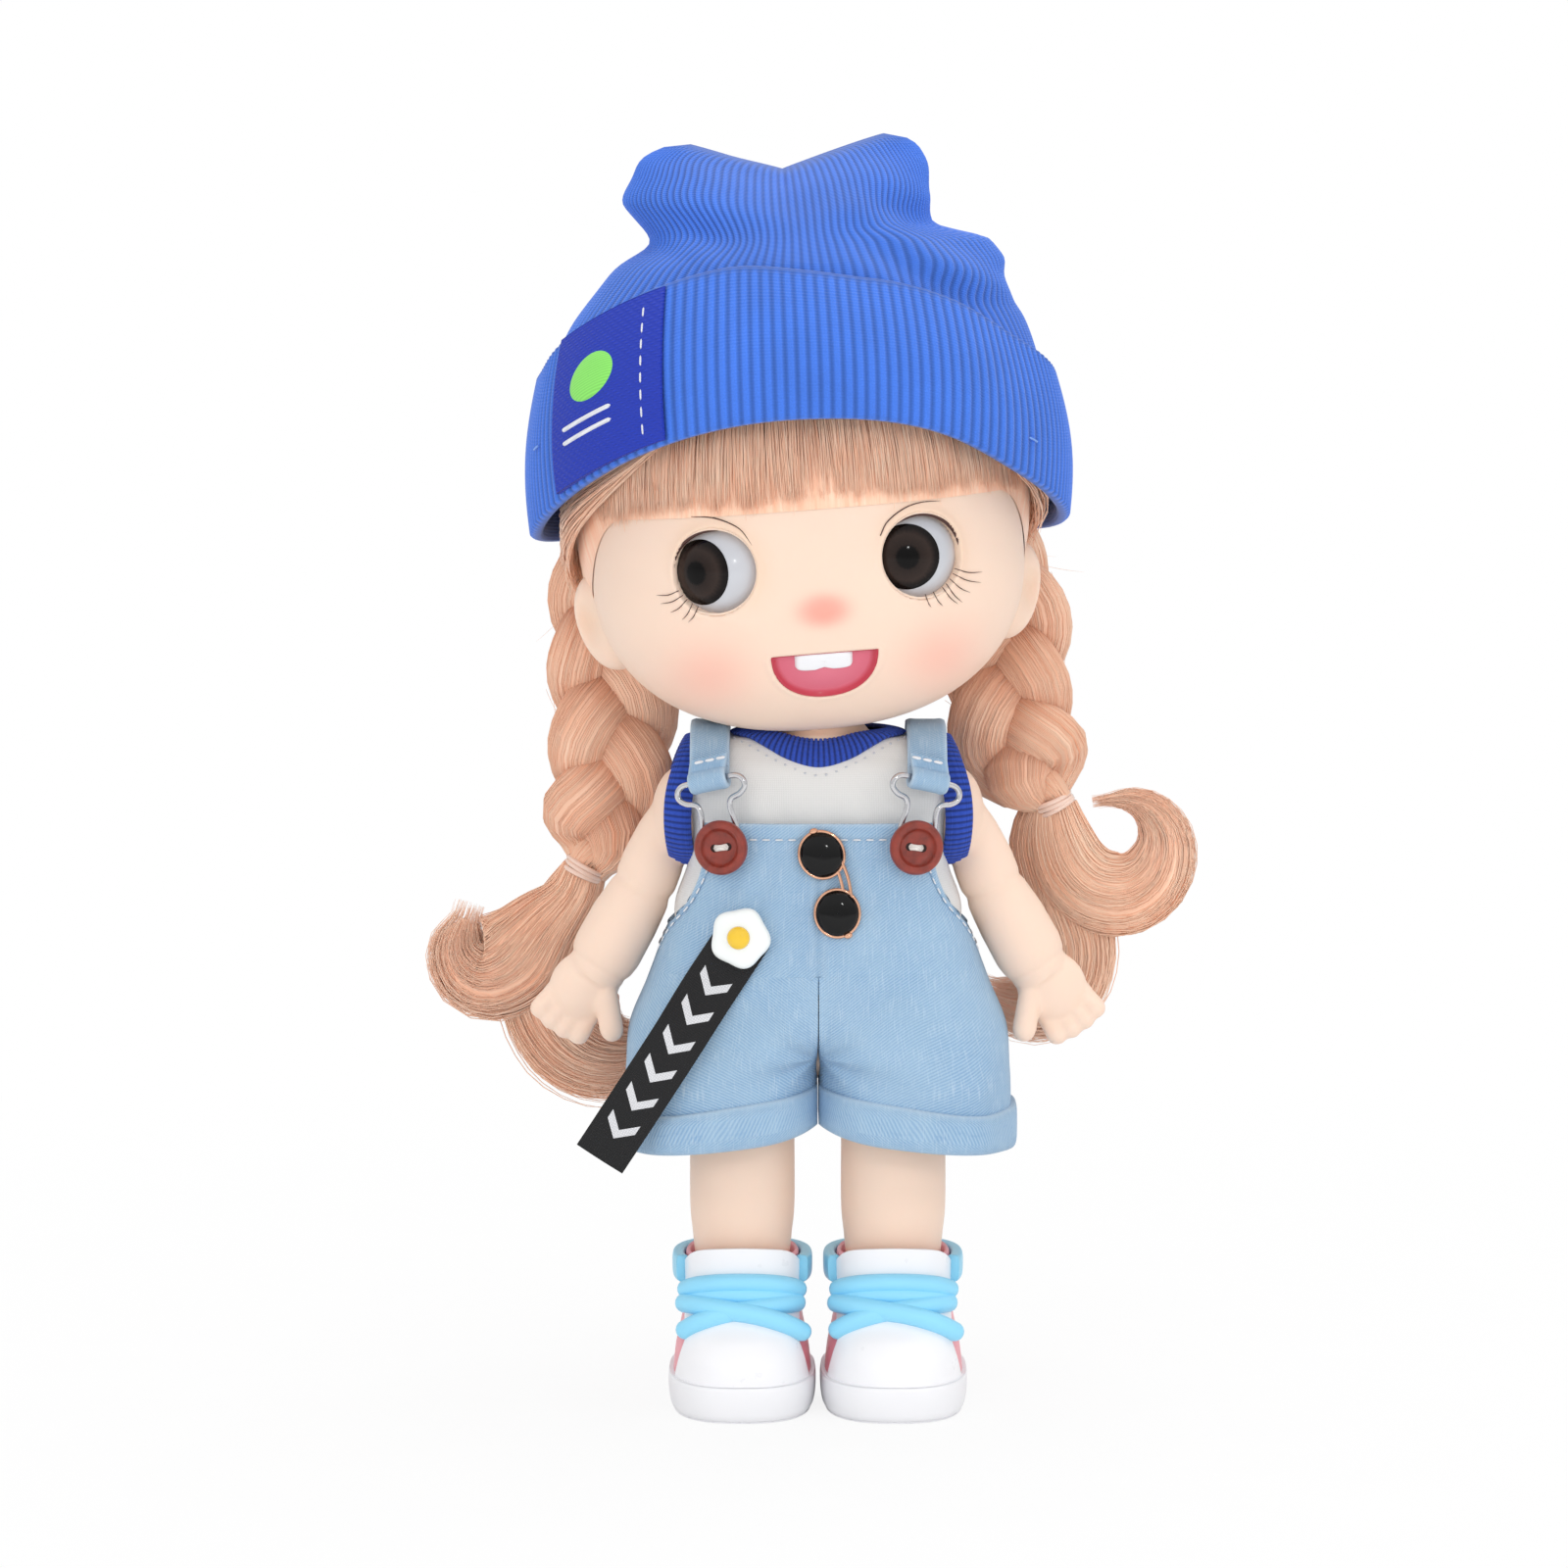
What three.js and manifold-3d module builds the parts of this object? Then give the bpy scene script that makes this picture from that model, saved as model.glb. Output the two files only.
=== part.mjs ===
// Jointed play doll with plaits, a knitted hat, dungarees and laced shoes.
// Millimetres and degrees. The doll faces -Y, +Z is up, and its own left side is at +X.
import * as THREE from "three";
import { mergeVertices } from "three/addons/utils/BufferGeometryUtils.js";
import Module from "manifold-3d";

const wasm = await Module();
wasm.setup();

// Clearances
const FIT_GAP = 0.3; // between pieces that rest on each other
const SWING_GAP = 0.45; // round the path of a limb

// Layers of the clothes, counted outwards from the skin
const SHIRT_CLOTH = 0.8;
const RIB_CLOTH = 1.0;
const DENIM_CLOTH = 1.1;
const SHIRT_IN = FIT_GAP;
const SHIRT_OUT = SHIRT_IN + SHIRT_CLOTH;
const RIB_IN = SHIRT_OUT + FIT_GAP;
const RIB_OUT = RIB_IN + RIB_CLOTH;
const DENIM_IN = RIB_OUT + FIT_GAP;
const DENIM_OUT = DENIM_IN + DENIM_CLOTH;

// Torso
const HIP_LINE_Z = 83;
const WAIST_Z = 98;
const SHOULDER_Z = 119.6;
const SHOULDER_TOP_Z = 125.8;
const HIP_HALF_WIDTH = 24.4;
const WAIST_HALF_WIDTH = 22.2;
const SHOULDER_HALF_WIDTH = 24.6;
const BELLY_HALF_DEPTH = 16;
const CHEST_HALF_DEPTH = 14.3;
const TORSO_WALL = 2;
const PELVIS_HALF_WIDTH = 7.2;
const PELVIS_RADIUS = 9;

// Neck knob, which is also the point that the head turns on
const NECK_RISE = 5.2; // of the knob's centre over the shoulders
const NECK_Z = SHOULDER_TOP_Z + NECK_RISE;
const KNOB_RADIUS = 9;

// Shoulders and arms
const ARM_X = 26.6;
const ARM_Z = 114.5;
const ARM_AXIS_DROP = 18;
const ARM_BALL = 9.5;
const UPPER_ARM_LENGTH = 17.6;
const UPPER_ARM_TILT = 21;
const UPPER_ARM_RADIUS = 5.9;
const ELBOW_RADIUS = 5.4;
const FOREARM_LENGTH = 17.4;
const FOREARM_TILT = 29;
const FOREARM_RADIUS = 6.7;
const WRIST_RADIUS = 5;
const PALM_LENGTH = 10;
const PALM_WIDTH = 13;
const PALM_THICKNESS = 8;
const FINGER_LENGTH = 6.2;
const FINGER_RADIUS = 2.1;
const THUMB_LENGTH = 7;
const THUMB_RADIUS = 2.3;
const PLUG_RADIUS = 2.8;
const PLUG_FLANGE = 3.7;
const PLUG_FLANGE_LENGTH = 2.4;
const SOCKET_WALL = 2.2;

// Hips and legs
const HIP_Z = 70;
const LEG_X = 14.3;
const HIP_BALL = 11;
const THIGH_RADIUS = 10.3;
const CALF_RADIUS = 9.9;
const ANKLE_RADIUS = 8.8;
const FOOT_HALF_LENGTH = 13;
const FOOT_SET_FORWARD = 4;
const CALF_Z = 38;
const ANKLE_Z = 25;
const HIP_PLUG_RADIUS = 3.4;
const HIP_PLUG_LENGTH = 4.6;

// Shoes
const SHOE_HALF_WIDTH = 13.8;
const SHOE_TOE = 25.5;
const SHOE_HEEL = 16;
const SOLE_HEIGHT = 7.3;
const SOLE_EDGE = 1.4;
const SHOE_TOP_Z = 27.5;
const TOE_TOP_Z = 17.5;
const TOE_SEAM = 11;
const TONGUE_HALF_WIDTH = 10.6;
const TONGUE_TOP_Z = 30;
const TONGUE_PROUD = 1.2;
const COLLAR_DEPTH = 6.5;
const COLLAR_PROUD = 0.9;
const COLLAR_TOP_Z = 29.6;
const LACE_RADIUS = 2;
const LACE_PITCH = 3.1;
const LACE_HALF_SPAN = 12.2;

// Dungarees
const BIB_TOP_Z = 111.7;
const BIB_HALF_WIDTH = 21.6;
const BACK_TOP_Z = 107;
const SIDE_TOP_Z = 92;
const SEAT_HALF_WIDTH = 36;
const SEAT_HALF_DEPTH = 20.6;
const SHORTS_TOP_Z = HIP_LINE_Z;
const HEM_Z = 57;
const CUFF_BOTTOM_Z = 49;
const CUFF_PROUD = 0.9;
const CUFF_CLOTH = 2.6;
const LEG_SPLIT = 1.6;
const CROTCH_Z = 64;
const FOLD_DEPTH = 1.1;
const FOLD_COUNT = 3;
const STRAP_X = 19.6;
const STRAP_WIDTH = 8.2;
const BUTTON_RADIUS = 5.1;
const BUTTON_THICKNESS = 2.4;
const BUTTON_RIM = 0.7;
const BUTTON_X = 17.3;
const BUTTON_Z = 107.4;
const BUTTON_HOLE = 0.75;
const BUTTON_HOLE_PITCH = 2.6;
const BUTTON_SHANK = 1.5;
const WIRE_RADIUS = 0.55;
const BUCKLE_EAR = 6.9;
const BUCKLE_WAIST = 3.1;
const BUCKLE_FOOT = 3.3;
const BUCKLE_HEIGHT = 9.7;

// Charms and ribbon
const LENS_RADIUS = 3.7;
const LENS_DOME = 1.5;
const LENS_PITCH = 11.4;
const GLASSES_X = 2;
const GLASSES_Z = 100.6;
const GLASSES_LEAN = 15;
const GLASSES_WIRE = 0.85;
const BRIDGE_REACH = 4.4;
const EGG_X = -14;
const EGG_Z = 90.6;
const EGG_RADIUS = 5.5;
const EGG_WAVE = 0.55;
const EGG_THICKNESS = 2.6;
const YOLK_RADIUS = 2.5;
const YOLK_DOME = 1.5;
const RIBBON_WIDTH = 10;
const RIBBON_LENGTH = 50;
const RIBBON_LEAN = 33;
const RIBBON_CLOTH = 0.7;
const RIBBON_TUCK = 4;

// Shirt openings
const ARMHOLE_RADIUS = 11.8;
const ARMHOLE_BAND = 1.8;
const ARMHOLE_BAND_WIDTH = 5;
const NECK_HALF_WIDTH = 11.4;
const NECK_DEPTH = 3.4;
const NECK_BAND = 4.2;

// Head, measured from the knob in the head's own tilted frame
const HEAD_ROLL = -4.3;
const HEAD_YAW = 4;
const HEAD_HALF_WIDTH = 40.5;
const HEAD_HALF_DEPTH = 37.5;
const HEAD_SQUARE = 2.35;
const HEAD_LEVEL = 29;
const HEAD_BELOW = 32;
const HEAD_ABOVE = 53;
const HEAD_WALL = 2.8;
const NECK_SOCKET_WALL = 2.4;
const EYE_X = 19.4;
const EYE_LEVEL = 30;
const EYE_OPENING = 7.6;
const EYE_BALL = 10;
const IRIS_RADIUS = 6.2;
const IRIS_THICKNESS = 1.1;
const IRIS_SHIFT = 3;
const IRIS_RISE = 0.6;
const NOSE_LEVEL = 23;
const NOSE_HALF_WIDTH = 4.8;
const NOSE_HALF_HEIGHT = 3.3;
const NOSE_PROUD = 2.2;
const MOUTH_TOP = 14.5;
const MOUTH_HALF_WIDTH = 9.6;
const MOUTH_HEIGHT = 8.2;
const MOUTH_DEPTH = 2;
const MOUTH_INLAY = 0.8;
const TEETH_HALF_WIDTH = 5.3;
const TEETH_HEIGHT = 3.7;
const EAR_LEVEL = 19.5;
const EAR_HALF_HEIGHT = 9.4;
const EAR_HALF_DEPTH = 6;
const EAR_PROUD = 6.2;
const EAR_SET_BACK = 3;
const EAR_HOLLOW = 2;

// Hair
const SCALP_HAIR = 2;
const FRINGE_HAIR = 2.2;
const FRINGE_LEVEL = 43.6;
const FRINGE_TOP = 66;
const FRINGE_SPREAD = 74;
const HAIRLINE_LEVEL = 40;
const HAIRLINE_SLOPE = 0.85;
const STRAND_RADIUS = 6;
const PLAIT_SPREAD = 5;
const PLAIT_LIFT = 2.6;
const TIE_RADIUS = 4.6;
const TIE_CORD = 1.1;
const TAIL_THICKNESS = 6;

// Hat
const CUFF_HALF_WIDTH = 50.3;
const CUFF_HALF_DEPTH = 46;
const HAT_SQUARE = 2.2;
const HAT_SET_BACK = 0.8;
const HAT_CLOTH = 1.6;
const HAT_CUFF_CLOTH = 2.6;
const BRIM_SIDE = 35;
const BRIM_RISE = 19;
const BRIM_EASE = 3;
const BRIM_BACK = 11;
const CUFF_HEIGHT = 29;
const CUFF_BULGE = 1;
const HAT_EAR_LEVEL = 107.6;
const HAT_EAR_X = 20;
const HAT_VALLEY = 6;
const LABEL_FROM = 208;
const LABEL_TO = 241;
const LABEL_CLOTH = 0.8;
const LABEL_INSET = 0.6;

// Counts of facets
const TORSO_SIDES = 14;
const HEAD_SIDES = 18;
const HAT_SIDES = 18;

const DEG = Math.PI / 180;
const vec = (x, y, z) => new THREE.Vector3(x, y, z);
const power = (value, exponent) => Math.sign(value) * Math.abs(value) ** exponent;

// Shape helpers

// Turns a geometry so that its faces look out.
function facingOut(geometry) {
  const place = geometry.getAttribute("position");
  const order = geometry.getIndex().array;
  let volume = 0;
  const a = vec(0, 0, 0);
  const b = vec(0, 0, 0);
  const c = vec(0, 0, 0);
  for (let i = 0; i < order.length; i += 3) {
    a.fromBufferAttribute(place, order[i]);
    b.fromBufferAttribute(place, order[i + 1]);
    c.fromBufferAttribute(place, order[i + 2]);
    volume += a.dot(b.cross(c));
  }
  if (volume < 0) {
    const turned = [];
    for (let i = 0; i < order.length; i += 3) {
      turned.push(order[i], order[i + 2], order[i + 1]);
    }
    geometry.setIndex(turned);
  }
  return geometry;
}

// Makes a closed solid for joining and cutting.
function solid(geometry) {
  const bare = new THREE.BufferGeometry();
  bare.setAttribute("position", geometry.getAttribute("position").clone());
  if (geometry.getIndex()) {
    bare.setIndex(geometry.getIndex().clone());
  }
  const merged = mergeVertices(bare, 1e-4);
  const order = merged.getIndex().array;
  const kept = [];
  for (let i = 0; i < order.length; i += 3) {
    const [p, q, r] = [order[i], order[i + 1], order[i + 2]];
    if (p !== q && q !== r && r !== p) {
      kept.push(p, q, r);
    }
  }
  merged.setIndex(kept);
  facingOut(merged);
  return new wasm.Manifold(new wasm.Mesh({
    numProp: 3,
    vertProperties: new Float32Array(merged.getAttribute("position").array),
    triVerts: new Uint32Array(merged.getIndex().array),
  }));
}

function geometryOf(body) {
  const mesh = body.getMesh();
  const width = mesh.numProp;
  const points = new Float32Array((mesh.vertProperties.length / width) * 3);
  for (let i = 0; i < points.length / 3; i += 1) {
    for (let k = 0; k < 3; k += 1) {
      points[3 * i + k] = mesh.vertProperties[width * i + k];
    }
  }
  const geometry = new THREE.BufferGeometry();
  geometry.setAttribute("position", new THREE.BufferAttribute(points, 3));
  geometry.setIndex([...mesh.triVerts]);
  return geometry;
}

// Skins a row of rings, all with as many points, and closes both ends.
function loft(rings) {
  const sides = rings[0].length;
  const points = [];
  const order = [];
  rings.forEach((ring) => ring.forEach((p) => points.push(p.x, p.y, p.z)));
  for (let i = 0; i < rings.length - 1; i += 1) {
    for (let j = 0; j < sides; j += 1) {
      const k = (j + 1) % sides;
      const low = i * sides;
      const high = low + sides;
      order.push(low + j, low + k, high + k, low + j, high + k, high + j);
    }
  }
  [0, rings.length - 1].forEach((end) => {
    const middle = vec(0, 0, 0);
    rings[end].forEach((p) => middle.addScaledVector(p, 1 / sides));
    const hub = points.length / 3;
    points.push(middle.x, middle.y, middle.z);
    for (let j = 0; j < sides; j += 1) {
      const k = (j + 1) % sides;
      const pair = end === 0 ? [k, j] : [j, k];
      order.push(hub, end * sides + pair[0], end * sides + pair[1]);
    }
  });
  const geometry = new THREE.BufferGeometry();
  geometry.setAttribute("position", new THREE.Float32BufferAttribute(points, 3));
  geometry.setIndex(order);
  return facingOut(geometry);
}

// A slab between two layers of a surface; at(u, v, layer) gives its points, u and v from 0 to 1.
function slab(at, inner, outer, across, along) {
  const rings = [];
  for (let j = 0; j <= along; j += 1) {
    const ring = [];
    for (let i = 0; i <= across; i += 1) {
      ring.push(at(i / across, j / along, inner));
    }
    for (let i = across; i >= 0; i -= 1) {
      ring.push(at(i / across, j / along, outer));
    }
    rings.push(ring);
  }
  return strip(rings);
}

// Closes flat ring ends with a ladder of faces between the two layers of a slab.
function strip(rings) {
  const sides = rings[0].length;
  const half = sides / 2;
  const points = [];
  const order = [];
  rings.forEach((ring) => ring.forEach((p) => points.push(p.x, p.y, p.z)));
  for (let i = 0; i < rings.length - 1; i += 1) {
    for (let j = 0; j < sides; j += 1) {
      const k = (j + 1) % sides;
      const low = i * sides;
      const high = low + sides;
      order.push(low + j, low + k, high + k, low + j, high + k, high + j);
    }
  }
  [0, rings.length - 1].forEach((end) => {
    const base = end * sides;
    for (let j = 0; j < half - 1; j += 1) {
      const face = [base + j, base + j + 1, base + sides - 2 - j, base + sides - 1 - j];
      const turn = end === 0 ? [3, 2, 1, 0] : [0, 1, 2, 3];
      const [a, b, c, d] = turn.map((n) => face[n]);
      order.push(a, b, c, a, c, d);
    }
  });
  const geometry = new THREE.BufferGeometry();
  geometry.setAttribute("position", new THREE.Float32BufferAttribute(points, 3));
  geometry.setIndex(order);
  return facingOut(geometry);
}

// A level ring with rounded corners: half width, half depth and squareness.
function ring(sides, halfWidth, halfDepth, square, middle) {
  const points = [];
  for (let i = 0; i < sides; i += 1) {
    const turn = (2 * Math.PI * i) / sides;
    points.push(vec(
      middle.x + halfWidth * power(Math.cos(turn), 2 / square),
      middle.y + halfDepth * power(Math.sin(turn), 2 / square),
      middle.z,
    ));
  }
  return points;
}

// A swept limb or lock: widths[i] = [half width, half thickness] at even steps of a curve.
// The half thickness lies along `flat`.
function sweep(curve, widths, sides, flat, fine = 2) {
  const size = new THREE.CatmullRomCurve3(widths.map((w, i) => vec(w[0], w[1], i)), false, "centripetal");
  const steps = (widths.length - 1) * fine;
  const rings = [];
  for (let i = 0; i <= steps; i += 1) {
    const t = i / steps;
    const middle = curve.getPointAt(t);
    const ahead = curve.getTangentAt(t);
    const side = vec(0, 0, 0).crossVectors(flat, ahead).normalize();
    const lift = vec(0, 0, 0).crossVectors(ahead, side).normalize();
    const w = size.getPoint(t);
    const points = [];
    for (let j = 0; j < sides; j += 1) {
      const turn = (2 * Math.PI * j) / sides;
      points.push(middle.clone().addScaledVector(side, w.x * Math.cos(turn))
        .addScaledVector(lift, w.y * Math.sin(turn)));
    }
    rings.push(points);
  }
  return loft(rings);
}

// A revolved solid about +Z from pairs of radius and height.
function revolve(profile, sides) {
  const points = profile.map(([radius, height]) => new THREE.Vector2(radius, height));
  return new THREE.LatheGeometry(points, sides).rotateX(Math.PI / 2);
}

function ball(radius, middle, sides = 12, rows = 8) {
  return new THREE.SphereGeometry(radius, sides, rows).translate(middle.x, middle.y, middle.z);
}

function egg(half, middle, sides = 10, rows = 6) {
  return new THREE.SphereGeometry(1, sides, rows).scale(half.x, half.y, half.z)
    .translate(middle.x, middle.y, middle.z);
}

function block(low, high) {
  const size = high.clone().sub(low);
  const middle = low.clone().add(high).multiplyScalar(0.5);
  return new THREE.BoxGeometry(size.x, size.y, size.z).translate(middle.x, middle.y, middle.z);
}

// A round bar between two points.
function bar(from, to, radius, sides = 12) {
  const ahead = to.clone().sub(from);
  const geometry = new THREE.CylinderGeometry(radius, radius, ahead.length(), sides);
  const turn = new THREE.Quaternion().setFromUnitVectors(vec(0, 1, 0), ahead.clone().normalize());
  const middle = from.clone().add(to).multiplyScalar(0.5);
  return geometry.applyQuaternion(turn).translate(middle.x, middle.y, middle.z);
}

// A bar with round ends between two points.
function finger(from, to, radius) {
  const ahead = to.clone().sub(from);
  const geometry = new THREE.CapsuleGeometry(radius, ahead.length(), 1, 6);
  const turn = new THREE.Quaternion().setFromUnitVectors(vec(0, 1, 0), ahead.clone().normalize());
  const middle = from.clone().add(to).multiplyScalar(0.5);
  return geometry.applyQuaternion(turn).translate(middle.x, middle.y, middle.z);
}

const joined = (...geometries) => geometries.map(solid).reduce((all, one) => all.add(one));

// The same solid on the other side of the doll.
function otherSide(body) {
  return solid(geometryOf(body).scale(-1, 1, 1));
}

// A smooth value between stations of [height, value, ...], straight past both ends.
function between(stations, height, column) {
  const last = stations.length - 1;
  if (height <= stations[0][0]) {
    return stations[0][column];
  }
  if (height >= stations[last][0]) {
    return stations[last][column];
  }
  const i = stations.findIndex((s, n) => n < last && height <= stations[n + 1][0]);
  const slope = (n) => {
    const before = stations[Math.max(n - 1, 0)];
    const after = stations[Math.min(n + 1, last)];
    return (after[column] - before[column]) / (after[0] - before[0]);
  };
  const step = stations[i + 1][0] - stations[i][0];
  const t = (height - stations[i][0]) / step;
  const rise = stations[i + 1][column] - stations[i][column];
  const s = t * t * (3 - 2 * t);
  const enter = slope(i) * step * t * (1 - t) * (1 - t);
  const leave = slope(i + 1) * step * t * t * (1 - t);
  return stations[i][column] + rise * s + enter - leave;
}

// Places a flat piece, drawn in X and Y with +Z outwards, on a front surface y = at(x, z).
function seat(at, x, z, lift) {
  const here = vec(x, at(x, z), z);
  const right = vec(1, at(x + 0.5, z) - at(x - 0.5, z), 0).normalize();
  const up = vec(0, at(x, z + 0.5) - at(x, z - 0.5), 1).normalize();
  const out = vec(0, 0, 0).crossVectors(right, up).normalize();
  const top = vec(0, 0, 0).crossVectors(out, right);
  const matrix = new THREE.Matrix4().makeBasis(right, top, out);
  return matrix.setPosition(here.addScaledVector(out, lift));
}

// The doll and its bodies
const doll = new THREE.Group();
doll.name = "doll";
const paint = (colour) => new THREE.MeshStandardMaterial({ color: colour });
const SKIN = paint(0xfae1c8);
const HAIR = paint(0xe1a582);
const KNIT = paint(0x3366d6);
const RIB = paint(0x2d50be);
const DENIM = paint(0x87afd7);
const CLOTH = paint(0xebebeb);
const METAL = paint(0xc0c4c8);
const DARK = paint(0x231c19);
const LACE = paint(0x7dcdff);
const PINK = paint(0xf096a0);

function group(name, position) {
  const body = new THREE.Group();
  body.name = name;
  body.position.copy(position);
  doll.add(body);
  return body;
}

const headGroup = group("head_body", vec(0, 0, NECK_Z));
headGroup.rotation.set(0, HEAD_ROLL * DEG, HEAD_YAW * DEG, "ZYX");
headGroup.updateMatrixWorld(true);
const toHead = headGroup.matrixWorld.clone().invert();
const torsoGroup = group("torso_body", vec(0, 0, 0));
const leftArmGroup = group("left_arm_body", vec(ARM_X, 0, ARM_Z));
const rightArmGroup = group("right_arm_body", vec(-ARM_X, 0, ARM_Z));
const leftLegGroup = group("left_leg_body", vec(LEG_X, 0, HIP_Z));
const rightLegGroup = group("right_leg_body", vec(-LEG_X, 0, HIP_Z));

// Adds a piece, drawn in the group's own frame if `own` is set and in the doll's frame otherwise.
function piece(name, body, material, parent, own = false) {
  const geometry = body instanceof THREE.BufferGeometry ? body : geometryOf(body);
  if (!own && parent !== torsoGroup) {
    parent.updateMatrixWorld(true);
    geometry.applyMatrix4(parent.matrixWorld.clone().invert());
  }
  const bare = new THREE.BufferGeometry();
  bare.setAttribute("position", geometry.getAttribute("position"));
  bare.setIndex(geometry.getIndex());
  bare.computeVertexNormals();
  const mesh = new THREE.Mesh(bare, material);
  mesh.name = name;
  parent.add(mesh);
  return mesh;
}

// Torso form: height, half width, half depth, squareness. It turns in to the neck at the top.
const shoulderRise = SHOULDER_TOP_Z - SHOULDER_Z;
const TORSO_FORM = [
  [HIP_LINE_Z, HIP_HALF_WIDTH, BELLY_HALF_DEPTH, 2.6],
  [(HIP_LINE_Z + WAIST_Z) / 2, (HIP_HALF_WIDTH + WAIST_HALF_WIDTH) / 2, BELLY_HALF_DEPTH, 2.8],
  [WAIST_Z, WAIST_HALF_WIDTH, (BELLY_HALF_DEPTH + CHEST_HALF_DEPTH) / 2, 3],
  [(WAIST_Z + SHOULDER_Z) / 2, (WAIST_HALF_WIDTH + SHOULDER_HALF_WIDTH) / 2, CHEST_HALF_DEPTH, 3.4],
  [SHOULDER_Z, SHOULDER_HALF_WIDTH, CHEST_HALF_DEPTH * 0.93, 3.8],
  [SHOULDER_Z + 0.62 * shoulderRise, SHOULDER_HALF_WIDTH * 0.975, CHEST_HALF_DEPTH * 0.79, 3.6],
  [SHOULDER_Z + 0.93 * shoulderRise, SHOULDER_HALF_WIDTH * 0.87, CHEST_HALF_DEPTH * 0.66, 3.2],
  [SHOULDER_TOP_Z, SHOULDER_HALF_WIDTH * 0.62, CHEST_HALF_DEPTH * 0.56, 2.8],
];

function torsoRings(layer, sides = TORSO_SIDES) {
  return TORSO_FORM.map((s, i) => {
    const before = TORSO_FORM[Math.max(i - 1, 0)];
    const after = TORSO_FORM[Math.min(i + 1, TORSO_FORM.length - 1)];
    const run = after[1] - before[1];
    const rise = after[0] - before[0];
    const slant = Math.hypot(run, rise);
    const out = i === 0 ? 1 : rise / slant;
    const up = i === 0 ? 0 : Math.max(-run / slant, 0);
    return ring(sides, s[1] + layer * out, s[2] + layer * out, s[3], vec(0, 0, s[0] + layer * up));
  });
}

const torsoForm = (layer) => solid(loft(torsoRings(layer)));

// Dungarees form below the chest: height, half width, half depth
const SEAT_FORM = [
  [CUFF_BOTTOM_Z, SEAT_HALF_WIDTH, SEAT_HALF_DEPTH * 0.97],
  [HEM_Z, SEAT_HALF_WIDTH, SEAT_HALF_DEPTH * 0.98],
  [CROTCH_Z, SEAT_HALF_WIDTH, SEAT_HALF_DEPTH],
  [HIP_Z + 2, SEAT_HALF_WIDTH - 0.4, SEAT_HALF_DEPTH],
  [HIP_LINE_Z - 3, SEAT_HALF_WIDTH - 3.6, SEAT_HALF_DEPTH],
  [HIP_LINE_Z + 3, SEAT_HALF_WIDTH - 5.8, SEAT_HALF_DEPTH - 0.2],
  [SIDE_TOP_Z, SEAT_HALF_WIDTH - 7.8, BELLY_HALF_DEPTH + DENIM_OUT],
  [WAIST_Z, WAIST_HALF_WIDTH + DENIM_OUT, (BELLY_HALF_DEPTH + CHEST_HALF_DEPTH) / 2 + DENIM_OUT],
  [(WAIST_Z + SHOULDER_Z) / 2, (WAIST_HALF_WIDTH + SHOULDER_HALF_WIDTH) / 2 + DENIM_OUT,
    CHEST_HALF_DEPTH + DENIM_OUT],
  [SHOULDER_Z, SHOULDER_HALF_WIDTH + DENIM_OUT, CHEST_HALF_DEPTH * 0.93 + DENIM_OUT],
];
const denimHalfWidth = (z) => between(SEAT_FORM, z, 1);
const denimHalfDepth = (z) => between(SEAT_FORM, z, 2);
const denimSquare = (z) => between(TORSO_FORM.slice(0, 5), z, 3);

// Front surface of the denim, y at a width and height.
function denimFront(x, z, layer = 0) {
  const share = Math.min(Math.abs(x) / (denimHalfWidth(z) + layer), 0.98);
  const square = denimSquare(z);
  return -(denimHalfDepth(z) + layer) * (1 - share ** square) ** (1 / square);
}

// Shoulder axis and the cone that a swinging arm keeps to
const armMiddle = vec(ARM_X, 0, ARM_Z);
const armAxis = vec(Math.cos(ARM_AXIS_DROP * DEG), 0, -Math.sin(ARM_AXIS_DROP * DEG));
const armTurn = new THREE.Quaternion().setFromUnitVectors(vec(0, 0, 1), armAxis);
const aboutArm = (geometry) => geometry.applyQuaternion(armTurn).translate(armMiddle.x, 0, armMiddle.z);
const coneRise = Math.tan((UPPER_ARM_TILT + ARM_AXIS_DROP) * DEG);
const coneDrop = (UPPER_ARM_RADIUS + SWING_GAP) / Math.cos((UPPER_ARM_TILT + ARM_AXIS_DROP) * DEG);
const sweptTop = 40;
const armSweep = solid(aboutArm(revolve([
  [0, -ARM_BALL - SWING_GAP],
  [(ARM_BALL + SWING_GAP) * 0.7, -(ARM_BALL + SWING_GAP) * 0.714],
  [ARM_BALL + SWING_GAP, -0.5],
  [ARM_BALL + SWING_GAP, Math.max(coneRise * (ARM_BALL + SWING_GAP) - coneDrop, 0)],
  [(sweptTop + coneDrop) / coneRise, sweptTop],
  [0, sweptTop],
], 14)));
const bothSides = (body) => [body, otherSide(body)];
const armSweeps = bothSides(armSweep);
const cutBy = (body, cutters) => cutters.reduce((rest, cutter) => rest.subtract(cutter), body);

// Torso: a hollow shell with ball sockets for the arms, a pelvis for the legs and the neck knob
const socketBall = solid(ball(ARM_BALL + 2 * FIT_GAP, armMiddle, 12, 6));
const socketBack = solid(ball(ARM_BALL + 2 * FIT_GAP + SOCKET_WALL, armMiddle, 8, 5));
const plugReach = ARM_BALL + 2 * FIT_GAP + SOCKET_WALL + FIT_GAP;
const plugBore = solid(bar(
  armMiddle.clone(),
  armMiddle.clone().addScaledVector(armAxis, -plugReach - PLUG_FLANGE_LENGTH),
  PLUG_RADIUS + FIT_GAP,
  8,
));
const hipEnd = vec(PELVIS_HALF_WIDTH, 0, HIP_Z);
const hipBore = solid(bar(
  vec(PELVIS_HALF_WIDTH - HIP_PLUG_LENGTH - FIT_GAP, 0, HIP_Z),
  vec(LEG_X, 0, HIP_Z),
  HIP_PLUG_RADIUS + 2 * FIT_GAP,
  8,
));
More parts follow.
